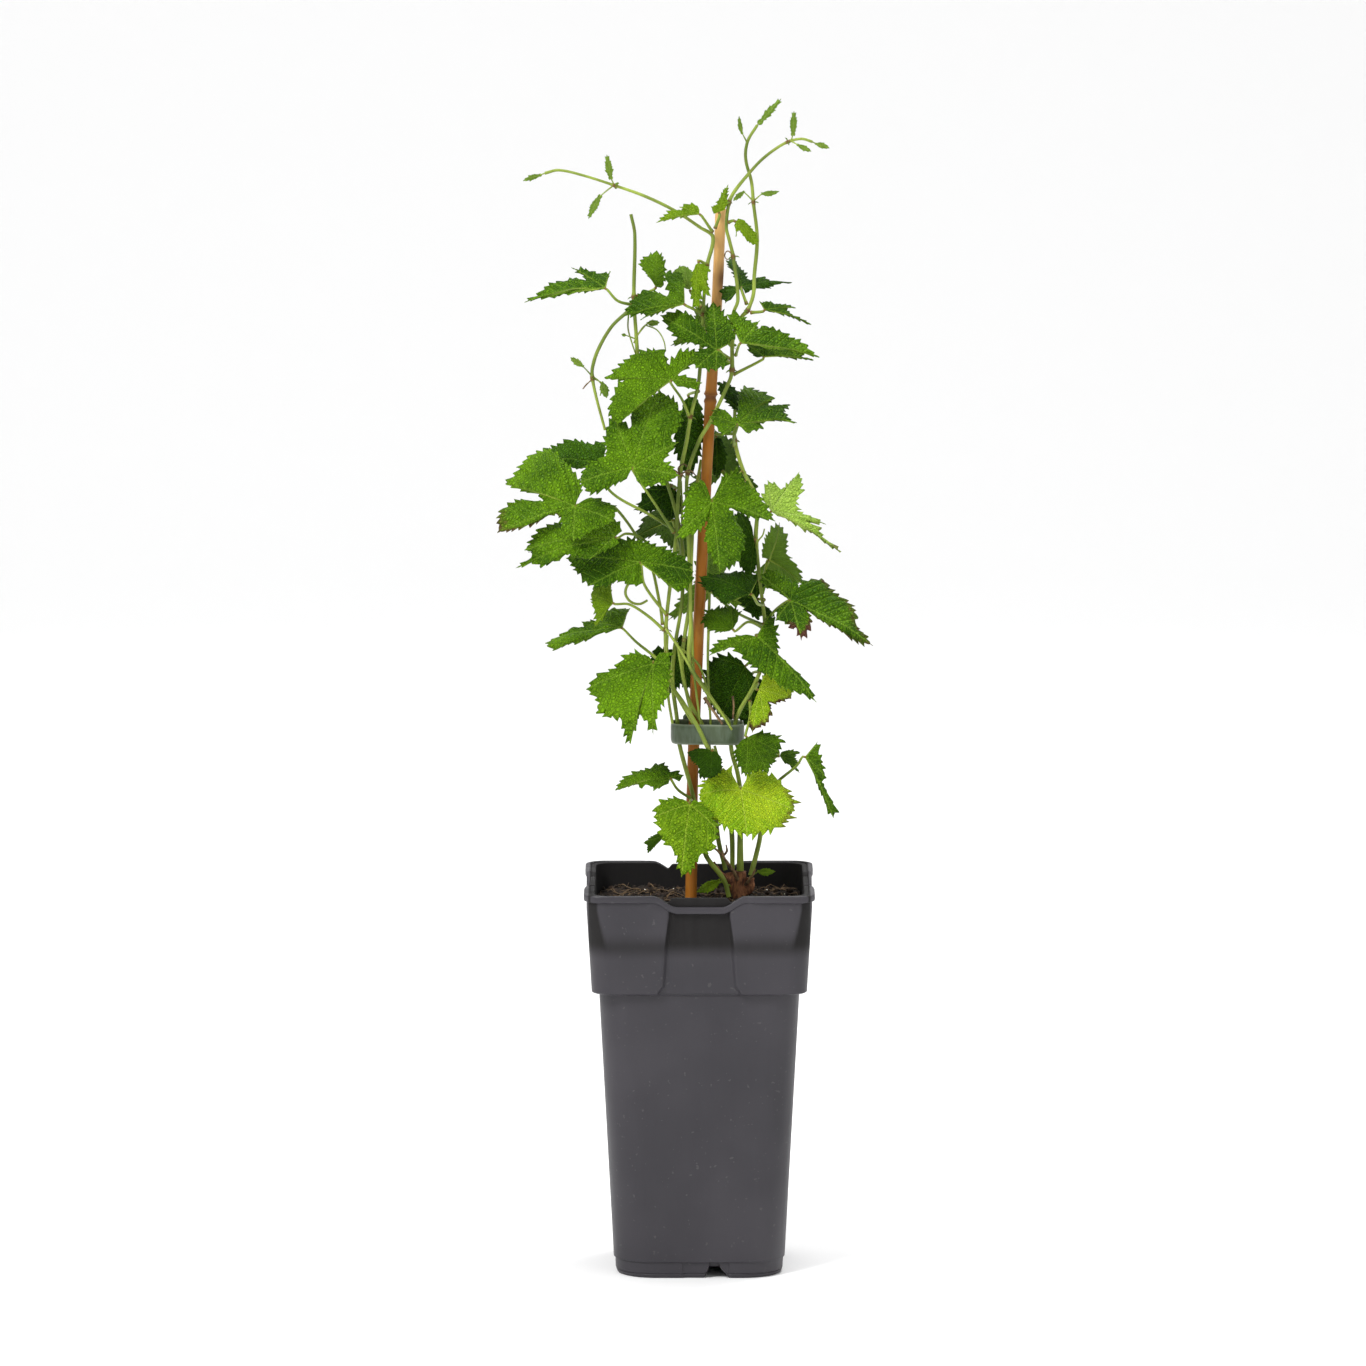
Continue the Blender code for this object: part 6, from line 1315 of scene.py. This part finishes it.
        [[(-2, -1), (-7.5, -1.5), (-13.5, 0)], [(-16, 4.5), (-13.5, 9), (-7.5, 11), (-1, 12.5)],
         [(3, 9.5), (2.5, 4)]],
        [(25.5, -6, 341), (32.6, 1.4, 337)]),
    "leaf_right_under": ("leaf_mid", (30, -16, 334.5), (0.1, -0.8, 0.6),
        [[(4, 4), (7.5, 13)], [(10, 4.5), (10.5, 0), (11.5, -10)], [(5, -6), (11, -11.5), (17, -17.5),
         (24, -23), (28, -27), (31, -34)], [(25, -31), (18.5, -28.5), (11, -24), (2.5, -18.5),
         (-3.5, -14), (-11, -7.5), (-17, -4.5), (-25, -9.5)], [(-21.5, -4), (-14, -0.5), (-6, 1)]],
        [(33.4, 1.0, 333)]),
    "leaf_right_dark": ("leaf_deep", (24, 10, 315.5), (-0.1, -0.99, 0.1),
        [[(-2, 3), (-9, 6), (-17, 5)], [(-20.5, -1), (-21, -11.5), (-18, -21), (-13, -27)], [(-6, -28.5),
         (-0.5, -25), (4, -19.5)], [(5.5, -12.5), (4, -4)]],
        [(27.5, 8, 319), (31.6, 4.6, 321)]),
    "leaf_right_yellow": ("leaf_yellow", (31, -8, 305.5), (0.1, -0.8, 0.5),
        [[(1.5, 3.5), (3.5, 9), (9, 7.5), (14, 3.5)], [(17.5, -1), (17, -4.5)], [(13, -5.5), (9, -7),
         (5, -7.5), (6.5, -12), (3.5, -19)], [(0.5, -19), (-3.5, -22.5)], [(-5, -16.5), (-3.5, -9.5),
         (-1.5, -3.5)]],
        [(30.5, 1.2, 307)]),
    "leaf_tie_right": ("leaf_mid", (25, -15, 281.5), (0.2, -0.75, 0.6),
        [[(2.5, 1), (8, 2.5), (14, 1), (17.5, -2), (17, -8)], [(13, -12.5), (11, -19)], [(5.5, -17),
         (-1, -20.5)], [(-5, -14.5), (-6.5, -8), (-3.5, -2)]],
        [(26.5, -7, 291), (26.5, 1.4, 297)]),
    "leaf_tie_left": ("leaf_deep", (6.5, -18.5, 274.5), (-0.1, -0.8, 0.6),
        [[(-2.5, 1.5), (-8, 1.5), (-13, -0.5)], [(-10, -5.5), (-7, -7.5), (-6.5, -12.5), (-0.5, -14)],
         [(4, -11), (5.5, -4)], [(2.5, 0)]],
        [(10.5, -10, 265.5)]),
    "leaf_low_small": ("leaf_mid", (42, -3, 270), (0.1, -0.7, 0.7),
        [[(1, 2), (5.5, 3), (11, 2)], [(8, -0.5), (9, -2.5), (11, -4)], [(9, -4.5), (10.5, -9)],
         [(7.5, -7), (5.5, -5), (2, -3.5), (1, -1.5)]],
        [(41.5, 0, 270.5), (31.2, 5.6, 260)]),
    "leaf_low_narrow": ("leaf_mid", (55.5, -14, 271), (0.3, -0.9, 0.3),
        [[(2.5, 3), (6.5, 8.5)], [(7.5, 0), (11, -11)], [(8.5, -14), (11.5, -21), (16, -28.5),
         (14.5, -32)], [(8.5, -25.5), (5, -22), (4, -17), (5, -13.5), (3, -6.5)]],
        [(51, -10, 266), (42, -4, 257.5), (34.2, 6.0, 249)]),
    "leaf_low_left": ("leaf_mid", (-15, -14, 260), (-0.1, -0.62, 0.78),
        [[(4.5, -2), (7, 1.5)], [(3, 3), (-0.5, 3.5), (-2, 6.5), (-7, 7), (-11, 4.5), (-18.5, 2.5),
         (-24.5, -0.5), (-29, -6.5)], [(-22.5, -2), (-16, -4.5), (-10.5, -4.5), (-9, -7)], [(-4.5, -4.5),
         (-1, -3)]],
        [(-11, -10, 253), (-4.8, -4.6, 248)]),
    "leaf_low_front": ("leaf_lime", (-5, -24, 247.5), (-0.05, -0.85, 0.5),
        [[(-2, 2), (-7, 3.5), (-13, 2), (-17, -0.5), (-19, -6.5)], [(-16, -12.5), (-13, -20), (-8, -25.5),
         (-6.5, -30), (-4.5, -38)], [(1.5, -34), (5.5, -27.5), (10.5, -24.5), (12.5, -19.5), (15.5, -14)],
         [(12.5, -7.5), (8, -1), (2.5, 2.5)]],
        [(-4, -12, 248), (-3.4, -5.0, 244)]),
    "leaf_low_yellow": ("leaf_yellow", (21.5, -16, 254), (0.05, -0.8, 0.6),
        [[(-2, 3.5), (-3.5, 10), (-9, 11.5)], [(-15.5, 7.5), (-19.5, 4), (-22, -2.5)], [(-20, -9.5),
         (-13, -16.5), (-5, -21.5), (3.5, -24.5)], [(11, -23), (19.5, -20.5), (23.5, -17.5), (28.5, -11)],
         [(28.5, -7), (24.5, 0), (21, 5), (15.5, 7.5), (10, 11.5)], [(5, 8), (2, 3)]],
        [(21.4, -7, 254), (21.4, 1.2, 251)]),
    "leaf_base_left": ("leaf_mid", (-18.5, -4, 227.5), (-0.3, -0.8, 0.5),
        [[(-2.5, 2), (-7, -0.5), (-11, -3.5)], [(-9, -4.5), (-8.5, -9)], [(-6, -6.5), (-2, -2.5)]],
        [(-12, -4, 228), (-4, -3.4, 226.5), (0.2, -1.3, 225.5)]),
    "leaf_back_high": ("leaf_mid", (3, 34, 489.5), (-0.2, 0.8, 0.5),
        [[(3, -4), (9, -6), (16.5, -10)], [(13, -3), (10, 2), (5, 4), (4, 10), (-2.5, 16)],
         [(-5, 9), (-5, 3), (-10, 0), (-18, -8)], [(-11, -7), (-5, -6), (-2, -4)]],
        [(9, 14, 482), (16.0, 2.6, 478)]),
    "leaf_back_mid": ("leaf_deep", (12, 40, 415.5), (0.2, 0.8, 0.5),
        [[(3, -5), (11, -11), (20, -17)], [(18, -9), (12, -1), (8, 4), (6, 13), (-4, 21.5)],
         [(-7, 12), (-7, 4), (-12, -2), (-18, -11)], [(-10, -9), (-4, -7), (-1, -4)]],
        [(18, 20, 411), (24.0, 6.0, 414)]),
    "leaf_back_low": ("leaf_mid", (6.5, 38, 352), (-0.1, 0.8, 0.5),
        [[(4, -5), (12, -8), (22, -11)], [(18, -3), (12, 3), (8, 6), (5, 14), (-3.5, 22)],
         [(-8, 14), (-8, 5), (-15, -3), (-23, -16)], [(-14, -12), (-6, -9), (-1, -4)]],
        [(20, 22, 342), (33.4, 5.4, 338)]),
    "leaf_back_left": ("leaf_deep", (-14.5, 30, 390), (-0.5, 0.7, 0.5),
        [[(5, 3), (6, 9), (3, 15), (-3.5, 21)], [(-7, 14), (-8, 6), (-14, 0), (-21, -10.5)],
         [(-13, -9), (-7, -8), (-3, -12), (3, -17), (9.5, -21)], [(9, -13), (6, -6), (4, -1)]],
        [(-12, 16, 382), (-9.6, 2.6, 372)]),
    "leaf_back_right": ("leaf_mid", (37, 26, 369.5), (0.5, 0.7, 0.5),
        [[(-4, -3), (-8, -8), (-9, -14), (-10, -21.5)], [(-3, -16), (3, -10), (9, -11), (19, -13.5)],
         [(15, -5), (9, 2), (9, 9), (5, 19.5)], [(-1, 14), (-4, 7), (-4, 1)]],
        [(34, 14, 364), (31.6, 5.0, 362)]),
}


# Shaded leaves that grow on a bine itself, each given as a leaf is; all take the darker finish, painted
# shade
shadedLeaves = {
    "bine_front": [
        ("leaf_deep", (-18.5, 14, 323.5), (-0.05, -0.99, 0.05),
         [[(-3, 2.5), (-6.5, -2.5), (-7.5, -10.5), (-4.5, -19), (-1, -25)], [(4.5, -22.5), (9.5, -17),
          (11, -9.5), (8, -3)], [(4, 0.5)]],
         [(-17.2, -6, 325)])],
    "bine_right": [
        ("leaf_deep", (28.5, 0, 383.5), (0.1, -0.97, 0.2),
         [[(-1, 6.5), (-3.5, 12), (-8.5, 15)], [(-11, 10.5), (-12, 2.5), (-10.5, -6.5), (-7.5, -13.5),
          (-2, -20)], [(1, -14.5), (1.5, -8.5)]],
         [(29.8, 3, 378)]),
        ("leaf_deep", (30, 9, 351), (0.0, -1.0, 0.05),
         [[(2, -4), (9, -7), (8, -12)], [(4, -9), (0, -10.5), (-4.5, -7), (-9, -1.5), (-11.5, 2.5)],
          [(-15, 4), (-22, 4.5), (-27, 8)], [(-23.5, 11.5), (-14, 14), (-6.5, 14.5), (0, 13)], [(5.5, 9),
          (8, 6), (2.5, 4.5)]],
         [(33, 3, 351.5)]),
        ("leaf_deep", (27.5, 18, 309.5), (0.1, -0.99, 0.05),
         [[(-4, 2), (-7.5, -2), (-10, -8.5), (-11.5, -15)], [(-8, -20.5), (-4.5, -25), (0, -29)],
          [(4, -25), (8, -20), (10, -12.5)], [(8.5, -6.5), (5, -2)]],
         [(31.2, 3, 313.5)])],
    "bine_inner": [
        ("leaf_deep", (-7, 9, 329.5), (0.0, -1.0, 0.05),
         [[(-2.5, 3), (-4.5, 0), (-6, -8), (-4, -16.5), (0, -27)], [(4, -23), (7, -14.5), (7, -5),
          (3.5, 0)]],
         [(-8, -2, 331)])],
}


# What only some leaves have: how dry a lobe is by its place round the margin, tone from 0 dark to 1 light,
# and teeth larger than the rest
leafTouches = {
    "leaf_left_big": {"dry": {1: 0.5, 0: 0.25}, "tone": 0.75},
    "leaf_left_low": {"tone": 0.6},
    "leaf_left_hang": {"tone": 0.2},
    "leaf_left_fan": {"dry": {2: 0.35}, "tone": 1.0},
    "leaf_centre_small": {"tone": 0.4, "teeth": 1.6},
    "leaf_right_dark": {"tone": 0.5, "teeth": 1.7},
    "leaf_tie_right": {"teeth": 1.6},
    "leaf_tie_left": {"tone": 0.6, "teeth": 1.7},
    "leaf_low_small": {"teeth": 1.4},
    "leaf_left_front": {"teeth": 1.2},
    "leaf_left_dark": {"dry": {2: 0.35}, "tone": 0.4},
    "leaf_mid_big": {"tone": 0.6},
    "leaf_mid_pale": {"tone": 1.0},
    "leaf_centre_high": {"tone": 0.3},
    "leaf_upper_low": {"tone": 0.2},
    "leaf_upper_left": {"dry": {2: 0.3}, "tone": 0.2},
    "leaf_upper_wide": {"dry": {2: 0.25}, "tone": 0.6},
    "leaf_right_pale": {"dry": {2: 0.3, 3: 0.4, 4: 0.55}},
    "leaf_right_big": {"dry": {1: 0.45, 2: 0.7}, "tone": 0.1},
    "leaf_right_under": {"dry": {2: 0.4}, "tone": 0.3},
    "leaf_right_yellow": {"dry": {1: 0.6, 2: 0.6, 3: 0.5}},
    "leaf_low_yellow": {"dry": {3: 0.45}, "tone": 0.6, "teeth": 1.8},
    "leaf_low_front": {"tone": 0.15, "teeth": 1.3},
    "leaf_low_left": {"tone": 0.4},
    "leaf_low_narrow": {"dry": {1: 0.4}},
}


def makeLeaves():
    # one piece for each leaf: its blade, ribs and stalk
    for number, (name, (look, joint, facing, margin, stalk)) in enumerate(leaves.items()):
        outline = drawnOutline(joint, facing, margin)
        parts, hub = bladeParts(joint, outline, 100 + number, **leafTouches.get(name, {}))
        parts.append(stalkPart(hub, outline["up"], outline["x"], stalk, number))
        finishes = [leafTops[look], leafUnders[look], stalkFinish]
        addPiece("hop_" + name, parts, finishes, [name], leafValues, sharp=55, uvName="leafMap")


def youngParts(rows, seed, stalkSlot=0, tone=0.5, bow=0.2, radii=(0.28, 0.36, 0.45)):
    # small pointed leaves, each with a short bowed stalk
    parts = []
    for i, (joint, facing, tip, halfWidth, root) in enumerate(rows):
        outline = pointedOutline(joint, facing, tip, halfWidth)
        made, hub = bladeParts(joint, outline, seed + i, (1, 2, stalkSlot), tone=tone)
        middle = 0.5 * (hub + root) + bow * outline["up"]
        line = np.column_stack([np.array([hub, middle, root]), radii])
        parts += made + [tubePart(line, 7, 0.8, slot=stalkSlot)]
    return parts


def stipuleParts(centre, along, radius, seed):
    # a pair of papery scales that hang from a node, one on each side
    rng = np.random.default_rng(seed)
    parts = []
    turn = rng.uniform(0, 2 * np.pi)
    for side in (0, np.pi + rng.uniform(-0.4, 0.4)):
        out = np.array([math.cos(turn + side), math.sin(turn + side), 0.0])
        out = out - along * (out @ along)
        out /= np.linalg.norm(out)
        joint = centre + 0.85 * radius * out
        tip = joint + rng.uniform(2.2, 3.2) * out - along * rng.uniform(0.4, 2.0)
        facing = np.cross(np.cross(tip - joint, along), tip - joint) + 0.001
        outline = pointedOutline(joint, facing, tip, 1.3)
        made, _ = bladeParts(joint, outline, seed + 7, (1, 2, 0), dry={0: 0.2}, tone=0.3, droop=0.2)
        parts += made[:1]
    return parts


def makeBine(name, points, seed):
    # a twining stem: six soft ridges that turn with it, a short swelling and a red blush at each node
    knots = np.array(points, float)
    run = np.append(0.0, np.cumsum(np.linalg.norm(np.diff(knots[:, :3], axis=0), axis=1)))
    even = 0.5 * (knots[:-2, 3] + knots[2:, 3])
    nodes = np.flatnonzero(knots[1:-1, 3] - even > 0.14) + 1
    swell = [(run[i], min(knots[i, 3] - even[i - 1], 0.5) + 0.1) for i in nodes]
    knots[nodes, 3] = even[nodes - 1]
    parts = [tubePart(knots, 12, 1.2, ridge=0.05, swell=swell, tone=0.5)]
    for i in nodes:
        along = unitRows(knots[i + 1, :3] - knots[i - 1, :3])
        parts += stipuleParts(knots[i, :3], along, knots[i, 3], seed + 11 * int(i))
    parts += youngParts(youngLeaves.get(name, []), seed + 300)
    for i, (_, joint, facing, margin, stalk) in enumerate(shadedLeaves.get(name, [])):
        outline = drawnOutline(joint, facing, margin)
        # the shaded leaves take the darker finish in slots 4 and 5: painted shade
        made, hub = bladeParts(joint, outline, seed + 500 + i, (4, 5, 0), tone=0.4)
        parts += made + [stalkPart(hub, outline["up"], outline["x"], stalk, seed + i, slot=0)]
    for slot, radius, path in twigs.get(name, []):
        line = np.column_stack([np.array(path, float), np.linspace(radius, 0.75 * radius, len(path))])
        rough = 0.12 if slot == 3 else 0.0
        parts.append(tubePart(line, 8, 1.2, ridge=0.04, rough=rough, roughSize=1.2, slot=slot))
    finishes = [bineFinish, leafTops["leaf_pale"], leafUnders["leaf_pale"], deadFinish,
                leafTops["leaf_deep"], leafUnders["leaf_deep"]]
    addPiece("hop_" + name, parts, finishes, [name], leafValues, sharp=55, uvName="leafMap")


# Crown

crown = {
    "stump": [(21.5, 8.5, 186.5, 4.0), (21.4, 8.5, 194, 4.2), (21.5, 8.5, 200, 3.5), (21.5, 8.5, 207, 3.2)],
    "knobs": [[(20.0, 9.4, 195.5, 2.6), (16.6, 12.0, 200, 3.0), (15.6, 13.5, 205.4, 2.6)],
              [(22.0, 8.2, 194.5, 2.2), (26.2, 7.2, 198.5, 2.5), (27.0, 7.0, 203.8, 2.1)],
              [(18.0, 11.0, 199.0, 1.2), (11.5, 8.0, 206.0, 1.1), (7.5, 7.0, 212.0, 0.8)]],
    "deadBits": [[(20.5, 6, 203, 1.0), (17, 4.5, 209, 0.9), (13, 3, 215, 0.8), (12, 3, 219, 0.5)],
                 [(13.5, 3.2, 214.5, 0.7), (10.0, 3.0, 218.5, 0.7), (6.0, 4.0, 221.5, 0.4)],
                 [(12.5, 3.0, 216, 0.7), (14.5, 1.0, 219, 0.6), (14.0, 0.0, 222.5, 0.3)],
                 [(24, 6.0, 200, 0.9), (27.5, 3.0, 205, 0.7), (29.5, 1.5, 209.5, 0.4)]],
    "leaves": [((10.5, 10.0, 201.5), (-0.2, -0.8, 0.5), (-1.5, 5.0, 196.5), 4.0, (19.0, 9.0, 198.0)),
               ((31.0, 11.0, 206.5), (0.2, -0.7, 0.7), (40.0, 8.0, 207.0), 3.2, (22.5, 9.0, 200.5))],
}


def makeCrown():
    # flaking stump with knobs, dead stubs and two basal leaves
    parts = [tubePart(crown["stump"], 18, 0.7, rough=0.7, roughSize=2.6, seed=61, slot=0)]
    for i, knob in enumerate(crown["knobs"]):
        parts.append(tubePart(knob, 14, 0.7, rough=0.45, roughSize=2.0, seed=62 + i))
    for i, bit in enumerate(crown["deadBits"]):
        parts.append(tubePart(bit, 8, 0.8, rough=0.25, roughSize=1.2, seed=70 + i, slot=3))
    parts += youngParts(crown["leaves"], 80, 4, 0.7, 0.6, (0.4, 0.5, 0.7))
    finishes = [barkFinish, leafTops["leaf_lime"], leafUnders["leaf_lime"], deadFinish, stalkFinish]
    addPiece("woody_crown", parts, finishes, ["crown"], leafValues, sharp=60, uvName="leafMap")


makeLeaves()
print("leaves made")
for number, (name, points) in enumerate(bines.items()):
    makeBine(name, points, 1000 + 100 * number)
makeCrown()
print("bines and crown made")


# Floor, backdrop and light

studio = {
    "backdrop": (0.90, 0.90, 0.90), "worldLight": 0.70,
    # half width, front, start and radius of the bend, and top, in metres
    "half": 6.0, "front": -9.0, "bendStart": 2.5, "bendRadius": 1.5, "top": 7.0,
    # place in metres, size in metres, watts
    "lamps": {"key": ((-1.5, -1.7, 2.5), 0.9, 86), "fill": ((2.2, -2.6, 1.4), 2.2, 12),
              "top": ((0.5, 0.5, 2.6), 1.0, 40)},
    "lampTarget": (0, 0, 0.3),
}


def addStudio():
    # the floor rises behind the plant into the backdrop along a quarter circle
    start, radius = studio["bendStart"], studio["bendRadius"]
    x = np.linspace(-studio["half"], studio["half"], 3)
    bend = np.radians(np.linspace(0, 90, 13))
    y = np.concatenate([[studio["front"], 0.0], start + radius * np.sin(bend), [start + radius]])
    z = np.concatenate([[0.0, 0.0], radius - radius * np.cos(bend), [studio["top"]]])
    points = np.stack([np.tile(x, len(y)), np.repeat(y, 3), np.repeat(z, 3)], 1)
    mesh = bpy.data.meshes.new("backdrop")
    mesh.from_pydata(points.tolist(), [], gridFaces(len(y), 3).tolist())
    mesh.shade_smooth()
    backdrop = bpy.data.objects.new("backdrop", mesh)
    scene.collection.objects.link(backdrop)
    material, _, shader, _ = newMaterial("backdrop_paper", 0.9, 0.1)
    shader.inputs["Base Color"].default_value = (*studio["backdrop"], 1.0)
    mesh.materials.append(material)
    world = bpy.data.worlds.new("studio")
    world.use_nodes = True
    sky = world.node_tree.nodes["Background"]
    sky.inputs["Color"].default_value = (1.0, 1.0, 1.0, 1.0)
    sky.inputs["Strength"].default_value = studio["worldLight"]
    scene.world = world
    scene.view_settings.view_transform = "Standard"  # plain colours, so that the pale floor stays near white
    for name, (place, size, power) in studio["lamps"].items():
        data = bpy.data.lights.new(name, "AREA")
        data.size = size
        data.energy = power
        lamp = bpy.data.objects.new(name, data)
        scene.collection.objects.link(lamp)
        lamp.location = place
        aim = Vector(studio["lampTarget"]) - Vector(place)
        lamp.rotation_euler = aim.to_track_quat("-Z", "Y").to_euler()


addStudio()
print("floor and light made")
